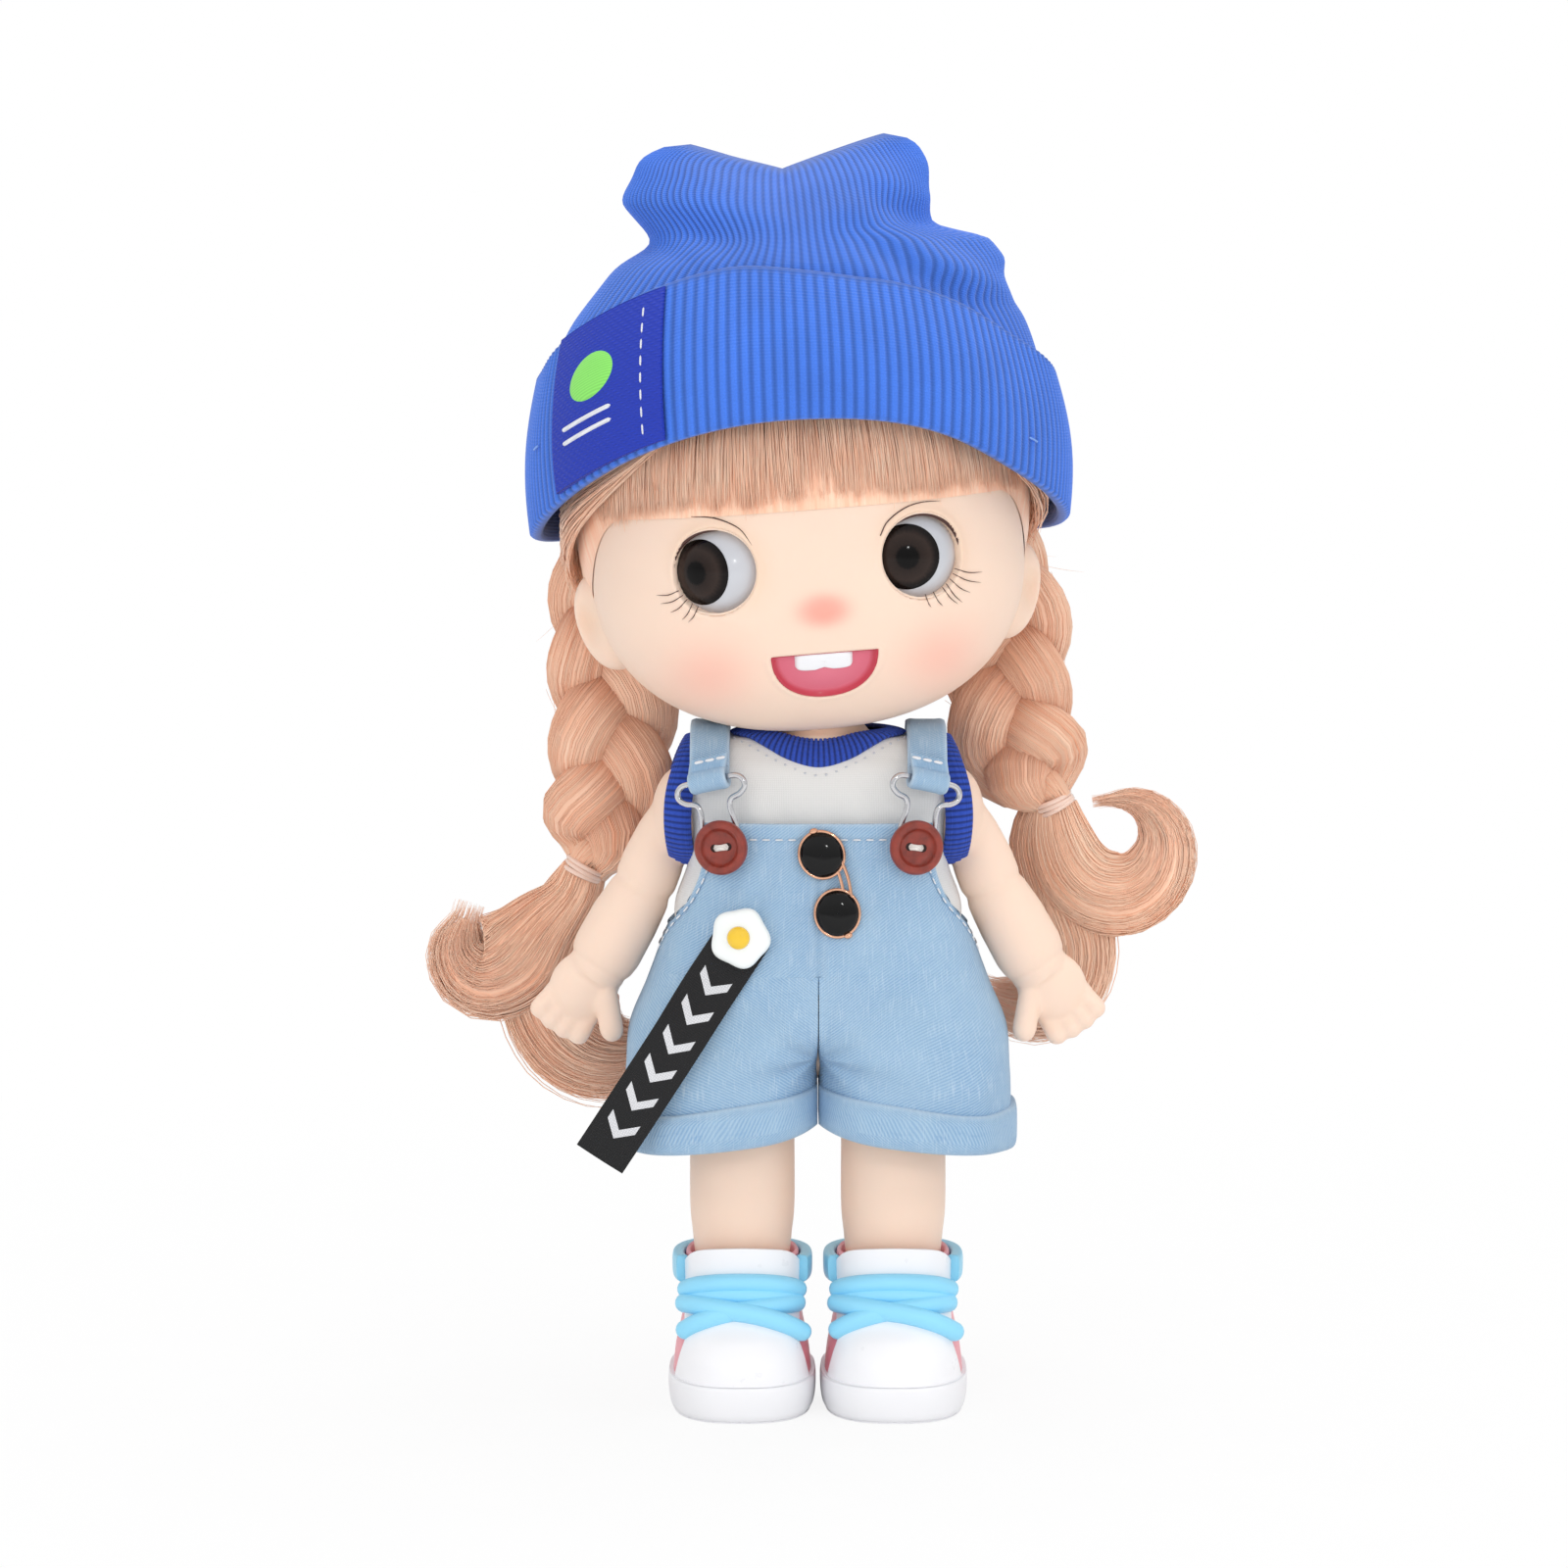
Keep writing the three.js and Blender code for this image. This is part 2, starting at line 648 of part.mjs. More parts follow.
const webHalfWidth = LEG_X - THIGH_RADIUS - SWING_GAP; // between the two thighs, at any swing
const pelvis = joined(
  bar(vec(-PELVIS_HALF_WIDTH, 0, HIP_Z), hipEnd, PELVIS_RADIUS, 12),
  block(
    vec(-webHalfWidth, -PELVIS_RADIUS, HIP_Z),
    vec(webHalfWidth, PELVIS_RADIUS, HIP_LINE_Z + TORSO_WALL / 2),
  ),
);
const torsoCavity = cutBy(
  solid(loft(torsoRings(-TORSO_WALL, 10).filter((points, i) => i !== 1 && i !== 3 && i !== 6)
    .map((points, i) => points.map((p) => vec(p.x, p.y, p.z + (i === 0 ? TORSO_WALL : 0)))))),
  bothSides(socketBack),
);
const neckKnob = solid(ball(KNOB_RADIUS, vec(0, 0, NECK_Z), 12, 8));
const torso = cutBy(
  torsoForm(0).subtract(torsoCavity).add(neckKnob).add(pelvis),
  [...bothSides(socketBall), ...armSweeps, ...bothSides(plugBore), ...bothSides(hipBore)],
);
piece("torso", torso, SKIN, torsoGroup);

// Shirt: a thin shell with armholes and a round neck, then its ribbed bands
const neckEgg = (grow) => solid(egg(
  vec(NECK_HALF_WIDTH + grow, NECK_HALF_WIDTH - 1 + 0.75 * grow, NECK_DEPTH + 0.72 * grow),
  vec(0, -2, SHOULDER_TOP_Z + RIB_OUT),
  12,
  8,
));
const neckClear = solid(ball(KNOB_RADIUS + 2 * FIT_GAP, vec(0, 0, NECK_Z), 12, 8));
const armhole = solid(aboutArm(revolve([
  [0, -ARM_BALL],
  [ARMHOLE_RADIUS, -ARM_BALL],
  [ARMHOLE_RADIUS, sweptTop],
  [0, sweptTop],
], 16)));
const overHips = solid(block(
  vec(-100, -60, HIP_LINE_Z + FIT_GAP),
  vec(100, 60, SHOULDER_TOP_Z + 40),
));
const shirt = cutBy(
  torsoForm(SHIRT_OUT).subtract(torsoForm(SHIRT_IN)).intersect(overHips),
  [neckEgg(0), neckClear, ...bothSides(armhole), ...armSweeps],
);
piece("shirt", shirt, CLOTH, torsoGroup);

const collar = torsoForm(RIB_OUT).subtract(torsoForm(RIB_IN)).intersect(neckEgg(NECK_BAND))
  .subtract(neckEgg(0)).subtract(neckClear);
piece("shirt_collar", collar, RIB, torsoGroup);

const bandHalf = ARMHOLE_BAND_WIDTH / 2;
const strapHalf = STRAP_WIDTH / 2;
const strapEdge = STRAP_X + strapHalf + FIT_GAP;
const strapRoom = joined(
  block(vec(0, -60, ARM_Z), vec(strapEdge, 0, SHOULDER_TOP_Z + 20)),
  block(vec(0, -1, BACK_TOP_Z), vec(strapEdge, 60, SHOULDER_TOP_Z + 20)),
);
const coneAt = (radius) => Math.min(coneRise * radius - coneDrop, bandHalf);
const armBand = solid(aboutArm(revolve([
  [ARMHOLE_RADIUS, -bandHalf],
  [ARMHOLE_RADIUS + ARMHOLE_BAND, -bandHalf],
  [ARMHOLE_RADIUS + ARMHOLE_BAND, coneAt(ARMHOLE_RADIUS + ARMHOLE_BAND) * 0.8],
  [ARMHOLE_RADIUS, coneAt(ARMHOLE_RADIUS)],
  [ARMHOLE_RADIUS, -bandHalf],
], 16))).subtract(torsoForm(SHIRT_OUT + FIT_GAP)).subtract(strapRoom);
piece("left_armhole_rib", armBand, RIB, torsoGroup);
piece("right_armhole_rib", otherSide(armBand), RIB, torsoGroup);

// Dungarees: a front and a back panel that meet at side seams, with a bib cut in curves
function panelAt(facing, topZ, topHalfWidth) {
  const bottom = SHORTS_TOP_Z + FIT_GAP;
  return (u, v, layer) => {
    const z = bottom + (topZ - bottom) * v;
    const rise = Math.max((z - SIDE_TOP_Z + 4) / (topZ - SIDE_TOP_Z + 4), 0);
    const full = denimHalfWidth(z) + layer;
    const seam = Math.asin(1 - FIT_GAP / (2 * SEAT_HALF_WIDTH));
    const bib = Math.asin(Math.min((topHalfWidth / full) ** (denimSquare(z) / 2), 0.98));
    const ease = Math.min(rise * 2.2, 1);
    const spread = seam + (bib - seam) * ease * ease * (3 - 2 * ease);
    const turn = spread * (2 * u - 1);
    const square = denimSquare(z);
    return vec(
      full * power(Math.sin(turn), 2 / square),
      facing * (denimHalfDepth(z) + layer) * power(Math.cos(turn), 2 / square),
      z,
    );
  };
}
const seamGap = solid(block(vec(-100, -FIT_GAP / 2, 0), vec(100, FIT_GAP / 2, SIDE_TOP_Z + 20)));
const bibFront = cutBy(
  solid(slab(panelAt(-1, BIB_TOP_Z, BIB_HALF_WIDTH), -DENIM_CLOTH, 0, 12, 9)),
  [seamGap, ...armSweeps],
);
const bibBack = cutBy(
  solid(slab(panelAt(1, BACK_TOP_Z, BIB_HALF_WIDTH), -DENIM_CLOTH, 0, 12, 6)),
  [seamGap, ...armSweeps],
);
piece("overalls_front", bibFront, DENIM, torsoGroup);
piece("overalls_back", bibBack, DENIM, torsoGroup);

// Short legs: half of the seat each, hollow, with soft upright folds that run out at the top
function shortsRing(z, layer, split, folds) {
  const top = denimHalfWidth(z) + layer;
  const points = [];
  const sides = 15;
  for (let i = 0; i < sides; i += 1) {
    const turn = -Math.PI / 2 + (Math.PI * i) / (sides - 1);
    const wave = folds * FOLD_DEPTH * Math.cos(2 * FOLD_COUNT * turn);
    points.push(vec(
      Math.max((top + wave) * power(Math.cos(turn), 2 / 2.6), split),
      (denimHalfDepth(z) + layer + wave * 0.7) * power(Math.sin(turn), 2 / 2.6),
      z,
    ));
  }
  return points;
}
function shortsForm(layer, split, low, high) {
  const rings = [];
  const steps = 3;
  for (let i = 0; i <= steps; i += 1) {
    const z = low + ((high - low) * i) / steps;
    rings.push(shortsRing(z, layer, split, 0.5 * (1 - i / steps)));
  }
  return solid(loft(rings));
}
const splitHalf = LEG_SPLIT / 2;
const legTunnel = shortsForm(-DENIM_CLOTH, splitHalf + DENIM_CLOTH, HEM_Z - 1, SHORTS_TOP_Z + 1);
const seatRoom = solid(block(
  vec(-1, -SEAT_HALF_DEPTH + DENIM_CLOTH + 2.4, CROTCH_Z - 5),
  vec(splitHalf + DENIM_CLOTH + 1, SEAT_HALF_DEPTH - DENIM_CLOTH - 2.4, SHORTS_TOP_Z + 1),
));
const shortsLeg = shortsForm(0, splitHalf, HEM_Z, SHORTS_TOP_Z).subtract(legTunnel).subtract(seatRoom);
piece("left_shorts_leg", shortsLeg, DENIM, leftLegGroup);
piece("right_shorts_leg", otherSide(shortsLeg), DENIM, rightLegGroup);

// Turned-up cuffs under the short legs
function cuffForm(layer, split, low, high) {
  const rings = [];
  const steps = 3;
  for (let i = 0; i <= steps; i += 1) {
    const t = i / steps;
    const round = layer > 0 ? Math.sin(Math.PI * t) * CUFF_PROUD * 0.6 : 0;
    rings.push(shortsRing(low + (high - low) * t, layer + round, split, 0.5));
  }
  return solid(loft(rings));
}
const cuffTop = HEM_Z - FIT_GAP;
const cuff = cuffForm(CUFF_PROUD, splitHalf - 0.2, CUFF_BOTTOM_Z, cuffTop).subtract(
  cuffForm(CUFF_PROUD - CUFF_CLOTH, splitHalf + CUFF_CLOTH - 0.4, CUFF_BOTTOM_Z - 1, cuffTop + 1),
);
piece("left_cuff", cuff, DENIM, leftLegGroup);
piece("right_cuff", otherSide(cuff), DENIM, rightLegGroup);

// Wire buckle: a closed loop with two ears, a narrow waist and a foot round the button's shank
const buttonSeat = seat((x, z) => denimFront(x, z), BUTTON_X, BUTTON_Z, 0);
const wireLift = FIT_GAP + WIRE_RADIUS;
const buckleSide = [
  [0, -BUCKLE_FOOT],
  [BUCKLE_FOOT * 0.75, -BUCKLE_FOOT * 0.7],
  [BUCKLE_FOOT, 0],
  [BUCKLE_WAIST, BUCKLE_HEIGHT * 0.42],
  [BUCKLE_WAIST * 1.15, BUCKLE_HEIGHT * 0.6],
  [BUCKLE_EAR * 0.8, BUCKLE_HEIGHT * 0.72],
  [BUCKLE_EAR, BUCKLE_HEIGHT * 0.86],
  [BUCKLE_EAR * 0.82, BUCKLE_HEIGHT],
  [BUCKLE_EAR * 0.4, BUCKLE_HEIGHT],
];
const buckleLoop = [
  ...buckleSide.map(([x, y]) => vec(x, y, wireLift)),
  ...buckleSide.slice(1).reverse().map(([x, y]) => vec(-x, y, wireLift)),
];
const buckleLean = Math.atan2(STRAP_X - BUTTON_X, BUCKLE_HEIGHT);
const buckleSeat = buttonSeat.clone().multiply(new THREE.Matrix4().makeRotationZ(-buckleLean));
const buckleCurve = new THREE.CatmullRomCurve3(buckleLoop, true, "centripetal");
const buckle = solid(new THREE.TubeGeometry(buckleCurve, 24, WIRE_RADIUS, 4, true)
  .applyMatrix4(buckleSeat));
piece("left_buckle", buckle, METAL, torsoGroup);
piece("right_buckle", otherSide(buckle), METAL, torsoGroup);

// Straps over the shoulders, each with an end loop that the buckle's top wire passes through
const onBar = (x) => vec(x, BUCKLE_HEIGHT, wireLift).applyMatrix4(buckleSeat);
const barMiddle = onBar(0);
const strapSpan = (low, high, front) => solid(block(
  vec(STRAP_X - strapHalf, front ? -60 : 0, low),
  vec(STRAP_X + strapHalf, front ? 0 : 60, high),
));
const strapShell = torsoForm(DENIM_OUT).subtract(torsoForm(DENIM_IN));
const loopRadius = WIRE_RADIUS + FIT_GAP + DENIM_CLOTH;
const strapLoop = solid(bar(onBar(-strapHalf), onBar(strapHalf), loopRadius, 10));
const loopRoom = solid(bar(onBar(-BUCKLE_EAR - 1), onBar(BUCKLE_EAR + 1), WIRE_RADIUS + FIT_GAP, 8));
const strap = strapShell.intersect(
  strapSpan(barMiddle.z, SHOULDER_TOP_Z + 20, true)
    .add(strapSpan(BACK_TOP_Z + FIT_GAP, SHOULDER_TOP_Z + 20, false)),
).add(strapLoop).subtract(loopRoom).subtract(armSweep);
piece("left_strap", strap, DENIM, torsoGroup);
piece("right_strap", otherSide(strap), DENIM, torsoGroup);

// Two-hole buttons on a short shank
const buttonBack = wireLift + WIRE_RADIUS + FIT_GAP;
const buttonFace = buttonBack + BUTTON_THICKNESS;
const buttonDisc = revolve([
  [0, FIT_GAP],
  [BUTTON_SHANK, FIT_GAP],
  [BUTTON_SHANK, buttonBack],
  [BUTTON_RADIUS - BUTTON_RIM, buttonBack],
  [BUTTON_RADIUS, buttonBack + BUTTON_RIM],
  [BUTTON_RADIUS, buttonFace - BUTTON_RIM],
  [BUTTON_RADIUS - BUTTON_RIM, buttonFace],
  [BUTTON_RADIUS - 2 * BUTTON_RIM, buttonFace],
  [BUTTON_RADIUS - 3.2 * BUTTON_RIM, buttonFace - BUTTON_RIM],
  [0, buttonFace - BUTTON_RIM],
], 12);
const buttonHole = (side) => solid(bar(
  vec((side * BUTTON_HOLE_PITCH) / 2, 0, buttonFace - BUTTON_RIM - 1.2),
  vec((side * BUTTON_HOLE_PITCH) / 2, 0, buttonFace + 1),
  BUTTON_HOLE,
  6,
));
const buttonFlat = solid(buttonDisc).subtract(buttonHole(1)).subtract(buttonHole(-1));
const button = solid(geometryOf(buttonFlat).applyMatrix4(buttonSeat));
piece("left_button", button, paint(0xa5452f), torsoGroup);
piece("right_button", otherSide(button), paint(0xa5452f), torsoGroup);

// Sunglasses charm: two wire rims joined by a double bridge, and two domed lenses
const glassesSeat = seat((x, z) => denimFront(x, z), GLASSES_X, GLASSES_Z, 0)
  .multiply(new THREE.Matrix4().makeRotationZ(GLASSES_LEAN * DEG));
const rimRadius = LENS_RADIUS + FIT_GAP + GLASSES_WIRE;
const rimLift = 1.6 * FIT_GAP + GLASSES_WIRE;
const rim = (side) => new THREE.TorusGeometry(rimRadius, GLASSES_WIRE, 5, 14)
  .scale(1, 1.04, 1).translate(0, (side * LENS_PITCH) / 2, rimLift);
const bridge = (x) => {
  const reach = LENS_PITCH / 2 - Math.sqrt(rimRadius ** 2 - x ** 2);
  return finger(vec(x, -reach, rimLift), vec(x, reach, rimLift), GLASSES_WIRE * 0.8);
};
const glasses = joined(rim(1), rim(-1), bridge(BRIDGE_REACH), bridge(BRIDGE_REACH * 0.42));
const seated = (body, matrix) => solid(geometryOf(body).applyMatrix4(matrix));
const lens = (side) => solid(revolve([
  [0, FIT_GAP],
  [LENS_RADIUS - 0.3, FIT_GAP],
  [LENS_RADIUS, FIT_GAP + 0.4],
  [LENS_RADIUS * 0.9, rimLift + LENS_DOME * 0.4],
  [LENS_RADIUS * 0.55, rimLift + LENS_DOME * 0.85],
  [0, rimLift + LENS_DOME],
], 16).translate(0, (side * LENS_PITCH) / 2, 0));
piece("sunglasses_frame", seated(glasses, glassesSeat), paint(0xd8a08c), torsoGroup);
piece("sunglasses_upper_lens", seated(lens(1), glassesSeat), DARK, torsoGroup);
piece("sunglasses_lower_lens", seated(lens(-1), glassesSeat), DARK, torsoGroup);

// Ribbon under the egg charm, lying on the front and then hanging free past the hem
const ribbonWay = vec(-Math.sin(RIBBON_LEAN * DEG), 0, -Math.cos(RIBBON_LEAN * DEG));
const ribbonSide = vec(Math.cos(RIBBON_LEAN * DEG), 0, -Math.sin(RIBBON_LEAN * DEG));
const ribbonTop = vec(EGG_X, 0, EGG_Z).addScaledVector(ribbonWay, -RIBBON_TUCK);
const ribbonRest = -(SEAT_HALF_DEPTH + FIT_GAP + FOLD_DEPTH * 0.4);
const ribbonHeld = RIBBON_TUCK + EGG_RADIUS + EGG_WAVE;
function ribbonAt(u, v, layer) {
  const p = ribbonTop.clone().addScaledVector(ribbonWay, RIBBON_LENGTH * v)
    .addScaledVector(ribbonSide, RIBBON_WIDTH * (u - 0.5));
  const low = Math.min(Math.max(v * RIBBON_LENGTH - ribbonHeld, 0) / (0.3 * RIBBON_LENGTH), 1);
  const wave = 0.5 * Math.sin(2 * Math.PI * v) * low;
  const settle = low * low * (3 - 2 * low);
  const laid = denimFront(p.x, p.z) - FIT_GAP - FOLD_DEPTH * 0.4 * low;
  p.y = laid * (1 - settle) + (ribbonRest - 0.5 + wave) * settle - layer;
  return p;
}
piece("ribbon", slab(ribbonAt, 0, RIBBON_CLOTH, 2, 10), DARK, torsoGroup);

// Egg charm: a wavy disc on the ribbon's end, and a domed yolk
const eggTop = FIT_GAP + EGG_THICKNESS;
const eggSeat = seat(
  (x, z) => denimFront(x, z) - FIT_GAP - RIBBON_CLOTH,
  EGG_X,
  EGG_Z,
  0,
);
const eggOutline = new THREE.Shape();
const eggSteps = 20;
for (let i = 0; i < eggSteps; i += 1) {
  const turn = (2 * Math.PI * i) / eggSteps;
  const reach = EGG_RADIUS + EGG_WAVE * Math.cos(5 * turn + 0.6);
  const p = [reach * Math.cos(turn), reach * Math.sin(turn) * 0.96];
  if (i === 0) {
    eggOutline.moveTo(p[0], p[1]);
  } else {
    eggOutline.lineTo(p[0], p[1]);
  }
}
const eggWhite = new THREE.ExtrudeGeometry(eggOutline, {
  depth: EGG_THICKNESS - 1.2,
  bevelEnabled: true,
  bevelThickness: 0.6,
  bevelSize: 0.6,
  bevelOffset: -0.6,
  bevelSegments: 1,
  steps: 1,
}).translate(0, 0, FIT_GAP + 0.6);
piece("egg_white", solid(eggWhite.applyMatrix4(eggSeat)), CLOTH, torsoGroup);
const yolk = revolve([
  [0, eggTop + FIT_GAP],
  [YOLK_RADIUS, eggTop + FIT_GAP],
  [YOLK_RADIUS * 0.86, eggTop + FIT_GAP + YOLK_DOME * 0.55],
  [YOLK_RADIUS * 0.5, eggTop + FIT_GAP + YOLK_DOME * 0.9],
  [0, eggTop + FIT_GAP + YOLK_DOME],
], 16);
piece("egg_yolk", solid(yolk.applyMatrix4(eggSeat)), paint(0xf5c33c), torsoGroup);

// Arms: ball, limb, hand and a plug with a flange inside the torso
const down = (tilt) => vec(Math.sin(tilt * DEG), 0, -Math.cos(tilt * DEG));
const elbow = armMiddle.clone().addScaledVector(down(UPPER_ARM_TILT), UPPER_ARM_LENGTH);
const wrist = elbow.clone().addScaledVector(down(FOREARM_TILT), FOREARM_LENGTH);
const handTilt = FOREARM_TILT + 6;
const handWay = down(handTilt);
const handSide = vec(handWay.z, 0, -handWay.x);
const limbCurve = new THREE.CatmullRomCurve3([
  armMiddle,
  armMiddle.clone().lerp(elbow, 0.5),
  elbow,
  elbow.clone().lerp(wrist, 0.5),
  wrist,
  wrist.clone().addScaledVector(handWay, 3),
], false, "centripetal");
const limb = sweep(limbCurve, [
  [UPPER_ARM_RADIUS, UPPER_ARM_RADIUS],
  [UPPER_ARM_RADIUS, UPPER_ARM_RADIUS],
  [UPPER_ARM_RADIUS, UPPER_ARM_RADIUS],
  [ELBOW_RADIUS, ELBOW_RADIUS],
  [FOREARM_RADIUS * 0.97, FOREARM_RADIUS * 0.97],
  [FOREARM_RADIUS, FOREARM_RADIUS],
  [WRIST_RADIUS * 1.06, WRIST_RADIUS * 1.06],
  [WRIST_RADIUS, WRIST_RADIUS * 0.9],
], 8, vec(0, 1, 0), 1);
const palmMiddle = wrist.clone().addScaledVector(handWay, PALM_LENGTH / 2);
const palmTurn = new THREE.Quaternion().setFromUnitVectors(vec(0, 0, -1), handWay);
const palm = new THREE.SphereGeometry(1, 8, 5)
  .scale(PALM_WIDTH / 2, PALM_THICKNESS / 2, PALM_LENGTH * 0.72)
  .applyQuaternion(palmTurn).translate(palmMiddle.x, palmMiddle.y, palmMiddle.z);
const fingerPitch = (PALM_WIDTH - 2.6 * FINGER_RADIUS) / 3;
const fingers = [0, 1, 2, 3].map((n) => {
  const across = (n - 1.5) * fingerPitch;
  const from = wrist.clone().addScaledVector(handWay, PALM_LENGTH * 0.75).addScaledVector(handSide, across);
  const reach = FINGER_LENGTH - 0.5 * Math.abs(n - 1.5);
  const to = from.clone().addScaledVector(handWay, reach).addScaledVector(handSide, across * 0.16);
  return finger(from, to, FINGER_RADIUS);
});
const thumbFrom = wrist.clone().addScaledVector(handWay, PALM_LENGTH * 0.35)
  .addScaledVector(handSide, (PALM_WIDTH / 2) * 0.6).add(vec(0, -PALM_THICKNESS * 0.25, 0));
const thumbTo = thumbFrom.clone().addScaledVector(down(handTilt - 46), THUMB_LENGTH)
  .add(vec(0, -PALM_THICKNESS * 0.2, 0));
const thumb = finger(thumbFrom, thumbTo, THUMB_RADIUS);
const armPlug = aboutArm(revolve([
  [0, -plugReach - PLUG_FLANGE_LENGTH],
  [PLUG_RADIUS, -plugReach - PLUG_FLANGE_LENGTH],
  [PLUG_FLANGE, -plugReach],
  [PLUG_RADIUS, -plugReach],
  [PLUG_RADIUS, -ARM_BALL * 0.5],
  [0, -ARM_BALL * 0.5],
], 8));
const arm = joined(ball(ARM_BALL, armMiddle, 10, 7), limb, palm, thumb, ...fingers, armPlug);
piece("left_arm", arm, SKIN, leftArmGroup);
piece("right_arm", otherSide(arm), SKIN, rightArmGroup);

// Legs: ball, thigh, calf and foot, with a plug into the pelvis
const footZ = SOLE_HEIGHT + FIT_GAP;
function legRings(layer, low) {
  return [
    [HIP_Z + 1, THIGH_RADIUS, THIGH_RADIUS, 0],
    [HIP_Z - 12, THIGH_RADIUS, THIGH_RADIUS, 0],
    [(HIP_Z + CALF_Z) / 2, (THIGH_RADIUS + CALF_RADIUS) / 2 - 0.3, THIGH_RADIUS - 0.4, 0],
    [CALF_Z, CALF_RADIUS, CALF_RADIUS, 0],
    [(CALF_Z + ANKLE_Z) / 2, (CALF_RADIUS + ANKLE_RADIUS) / 2, ANKLE_RADIUS + 0.3, 0],
    [ANKLE_Z, ANKLE_RADIUS, ANKLE_RADIUS, 0],
    [ANKLE_Z - 6, ANKLE_RADIUS, ANKLE_RADIUS + 0.8, 0.8],
    [(ANKLE_Z + footZ) / 2 - 1, ANKLE_RADIUS + 0.2, FOOT_HALF_LENGTH - 1.4, FOOT_SET_FORWARD * 0.7],
    [low, ANKLE_RADIUS, FOOT_HALF_LENGTH, FOOT_SET_FORWARD],
  ].map(([z, a, b, forward]) => ring(10, a + layer, b + layer, 2.1, vec(LEG_X, -forward, z)));
}
const hipClear = solid(bar(
  vec(-PELVIS_HALF_WIDTH, 0, HIP_Z),
  vec(PELVIS_HALF_WIDTH + FIT_GAP, 0, HIP_Z),
  PELVIS_RADIUS + 2 * FIT_GAP,
  12,
));
const leg = joined(ball(HIP_BALL, vec(LEG_X, 0, HIP_Z), 10, 7), loft(legRings(0, footZ))).subtract(hipClear)
  .add(solid(bar(
    vec(PELVIS_HALF_WIDTH - HIP_PLUG_LENGTH, 0, HIP_Z),
    vec(LEG_X, 0, HIP_Z),
    HIP_PLUG_RADIUS,
    8,
  )));
piece("left_leg", leg, SKIN, leftLegGroup);
piece("right_leg", otherSide(leg), SKIN, rightLegGroup);

// Shoes: a flat sole, then one lasted form that is split into toe cap, upper, tongue and collar
const shoeMiddle = (SHOE_HEEL - SHOE_TOE) / 2;
const shoeHalf = (SHOE_HEEL + SHOE_TOE) / 2;
const soleShape = new THREE.Shape(ring(
  20, SHOE_HALF_WIDTH - SOLE_EDGE, shoeHalf - SOLE_EDGE, 2.7, vec(0, 0, 0),
).map((p) => new THREE.Vector2(p.x, p.y)));
const sole = new THREE.ExtrudeGeometry(soleShape, {
  depth: SOLE_HEIGHT - 2 * SOLE_EDGE,
  bevelEnabled: true,
  bevelThickness: SOLE_EDGE,
  bevelSize: SOLE_EDGE,
  bevelSegments: 1,
  steps: 1,
}).translate(LEG_X, shoeMiddle, SOLE_EDGE);

// Last: height, half width, toe and heel
const lastTop = Math.max(TONGUE_TOP_Z, COLLAR_TOP_Z, SHOE_TOP_Z);
const LAST = [
  [footZ, SHOE_HALF_WIDTH - 0.9, SHOE_TOE - 1, SHOE_HEEL - 1.2],
  [SOLE_HEIGHT + 4, SHOE_HALF_WIDTH - 0.6, SHOE_TOE - 0.8, SHOE_HEEL - 1.3],
  [TOE_TOP_Z - 3, SHOE_HALF_WIDTH - 1, SHOE_TOE - 3, SHOE_HEEL - 1.8],
  [TOE_TOP_Z, SHOE_HALF_WIDTH - 1.4, SHOE_TOE - 7.5, SHOE_HEEL - 2.2],
  [TOE_TOP_Z + 3.5, SHOE_HALF_WIDTH - 1.8, ANKLE_RADIUS + 5.4, SHOE_HEEL - 2.6],
  [TOE_TOP_Z + 7, SHOE_HALF_WIDTH - 2.1, ANKLE_RADIUS + 3.8, SHOE_HEEL - 3],
  [lastTop + 1, SHOE_HALF_WIDTH - 2.2, ANKLE_RADIUS + 3.2, SHOE_HEEL - 3.2],
];
const lastForm = (layer) => solid(loft(LAST.map(([z, a, toe, heel]) => ring(
  12,
  a + layer,
  (toe + heel) / 2 + layer,
  2.4,
  vec(LEG_X, (heel - toe) / 2, z),
))));
const footRoom = solid(loft(legRings(1.5 * FIT_GAP, footZ - 1).slice(3)));
const zone = (low, high) => solid(block(
  vec(LEG_X + low[0], low[1], low[2]),
  vec(LEG_X + high[0], high[1], high[2]),
));
const lasted = lastForm(0).subtract(footRoom);
const toeZone = zone([-40, -60, 0], [40, -TOE_SEAM, TOE_TOP_Z + 1.2]);
const toeCap = lasted.intersect(toeZone);
const tongueZone = zone(
  [-TONGUE_HALF_WIDTH, -60, TOE_TOP_Z + 1.2 + FIT_GAP],
  [TONGUE_HALF_WIDTH, -ANKLE_RADIUS * 0.45, TONGUE_TOP_Z],
);
const tongue = lastForm(-TONGUE_PROUD * 0.4).subtract(footRoom).intersect(tongueZone);
const collarLow = COLLAR_TOP_Z - COLLAR_DEPTH;
const tongueRoom = zone(
  [-TONGUE_HALF_WIDTH - FIT_GAP, -60, TOE_TOP_Z + 1.2],
  [TONGUE_HALF_WIDTH + FIT_GAP, -ANKLE_RADIUS * 0.45 + FIT_GAP, lastTop + 5],
);
const toeRoom = zone([-40, -60, 0], [40, -TOE_SEAM + FIT_GAP, TOE_TOP_Z + 1.2]);
const upper = lasted.intersect(zone([-40, -60, 0], [40, 60, SHOE_TOP_Z - COLLAR_DEPTH * 0.6]))
  .subtract(toeRoom).subtract(tongueRoom);
const shoeCollar = lastForm(COLLAR_PROUD).subtract(footRoom)
  .intersect(zone([-40, -60, SHOE_TOP_Z - COLLAR_DEPTH * 0.6 + FIT_GAP], [40, 60, COLLAR_TOP_Z]))
  .subtract(tongueRoom);

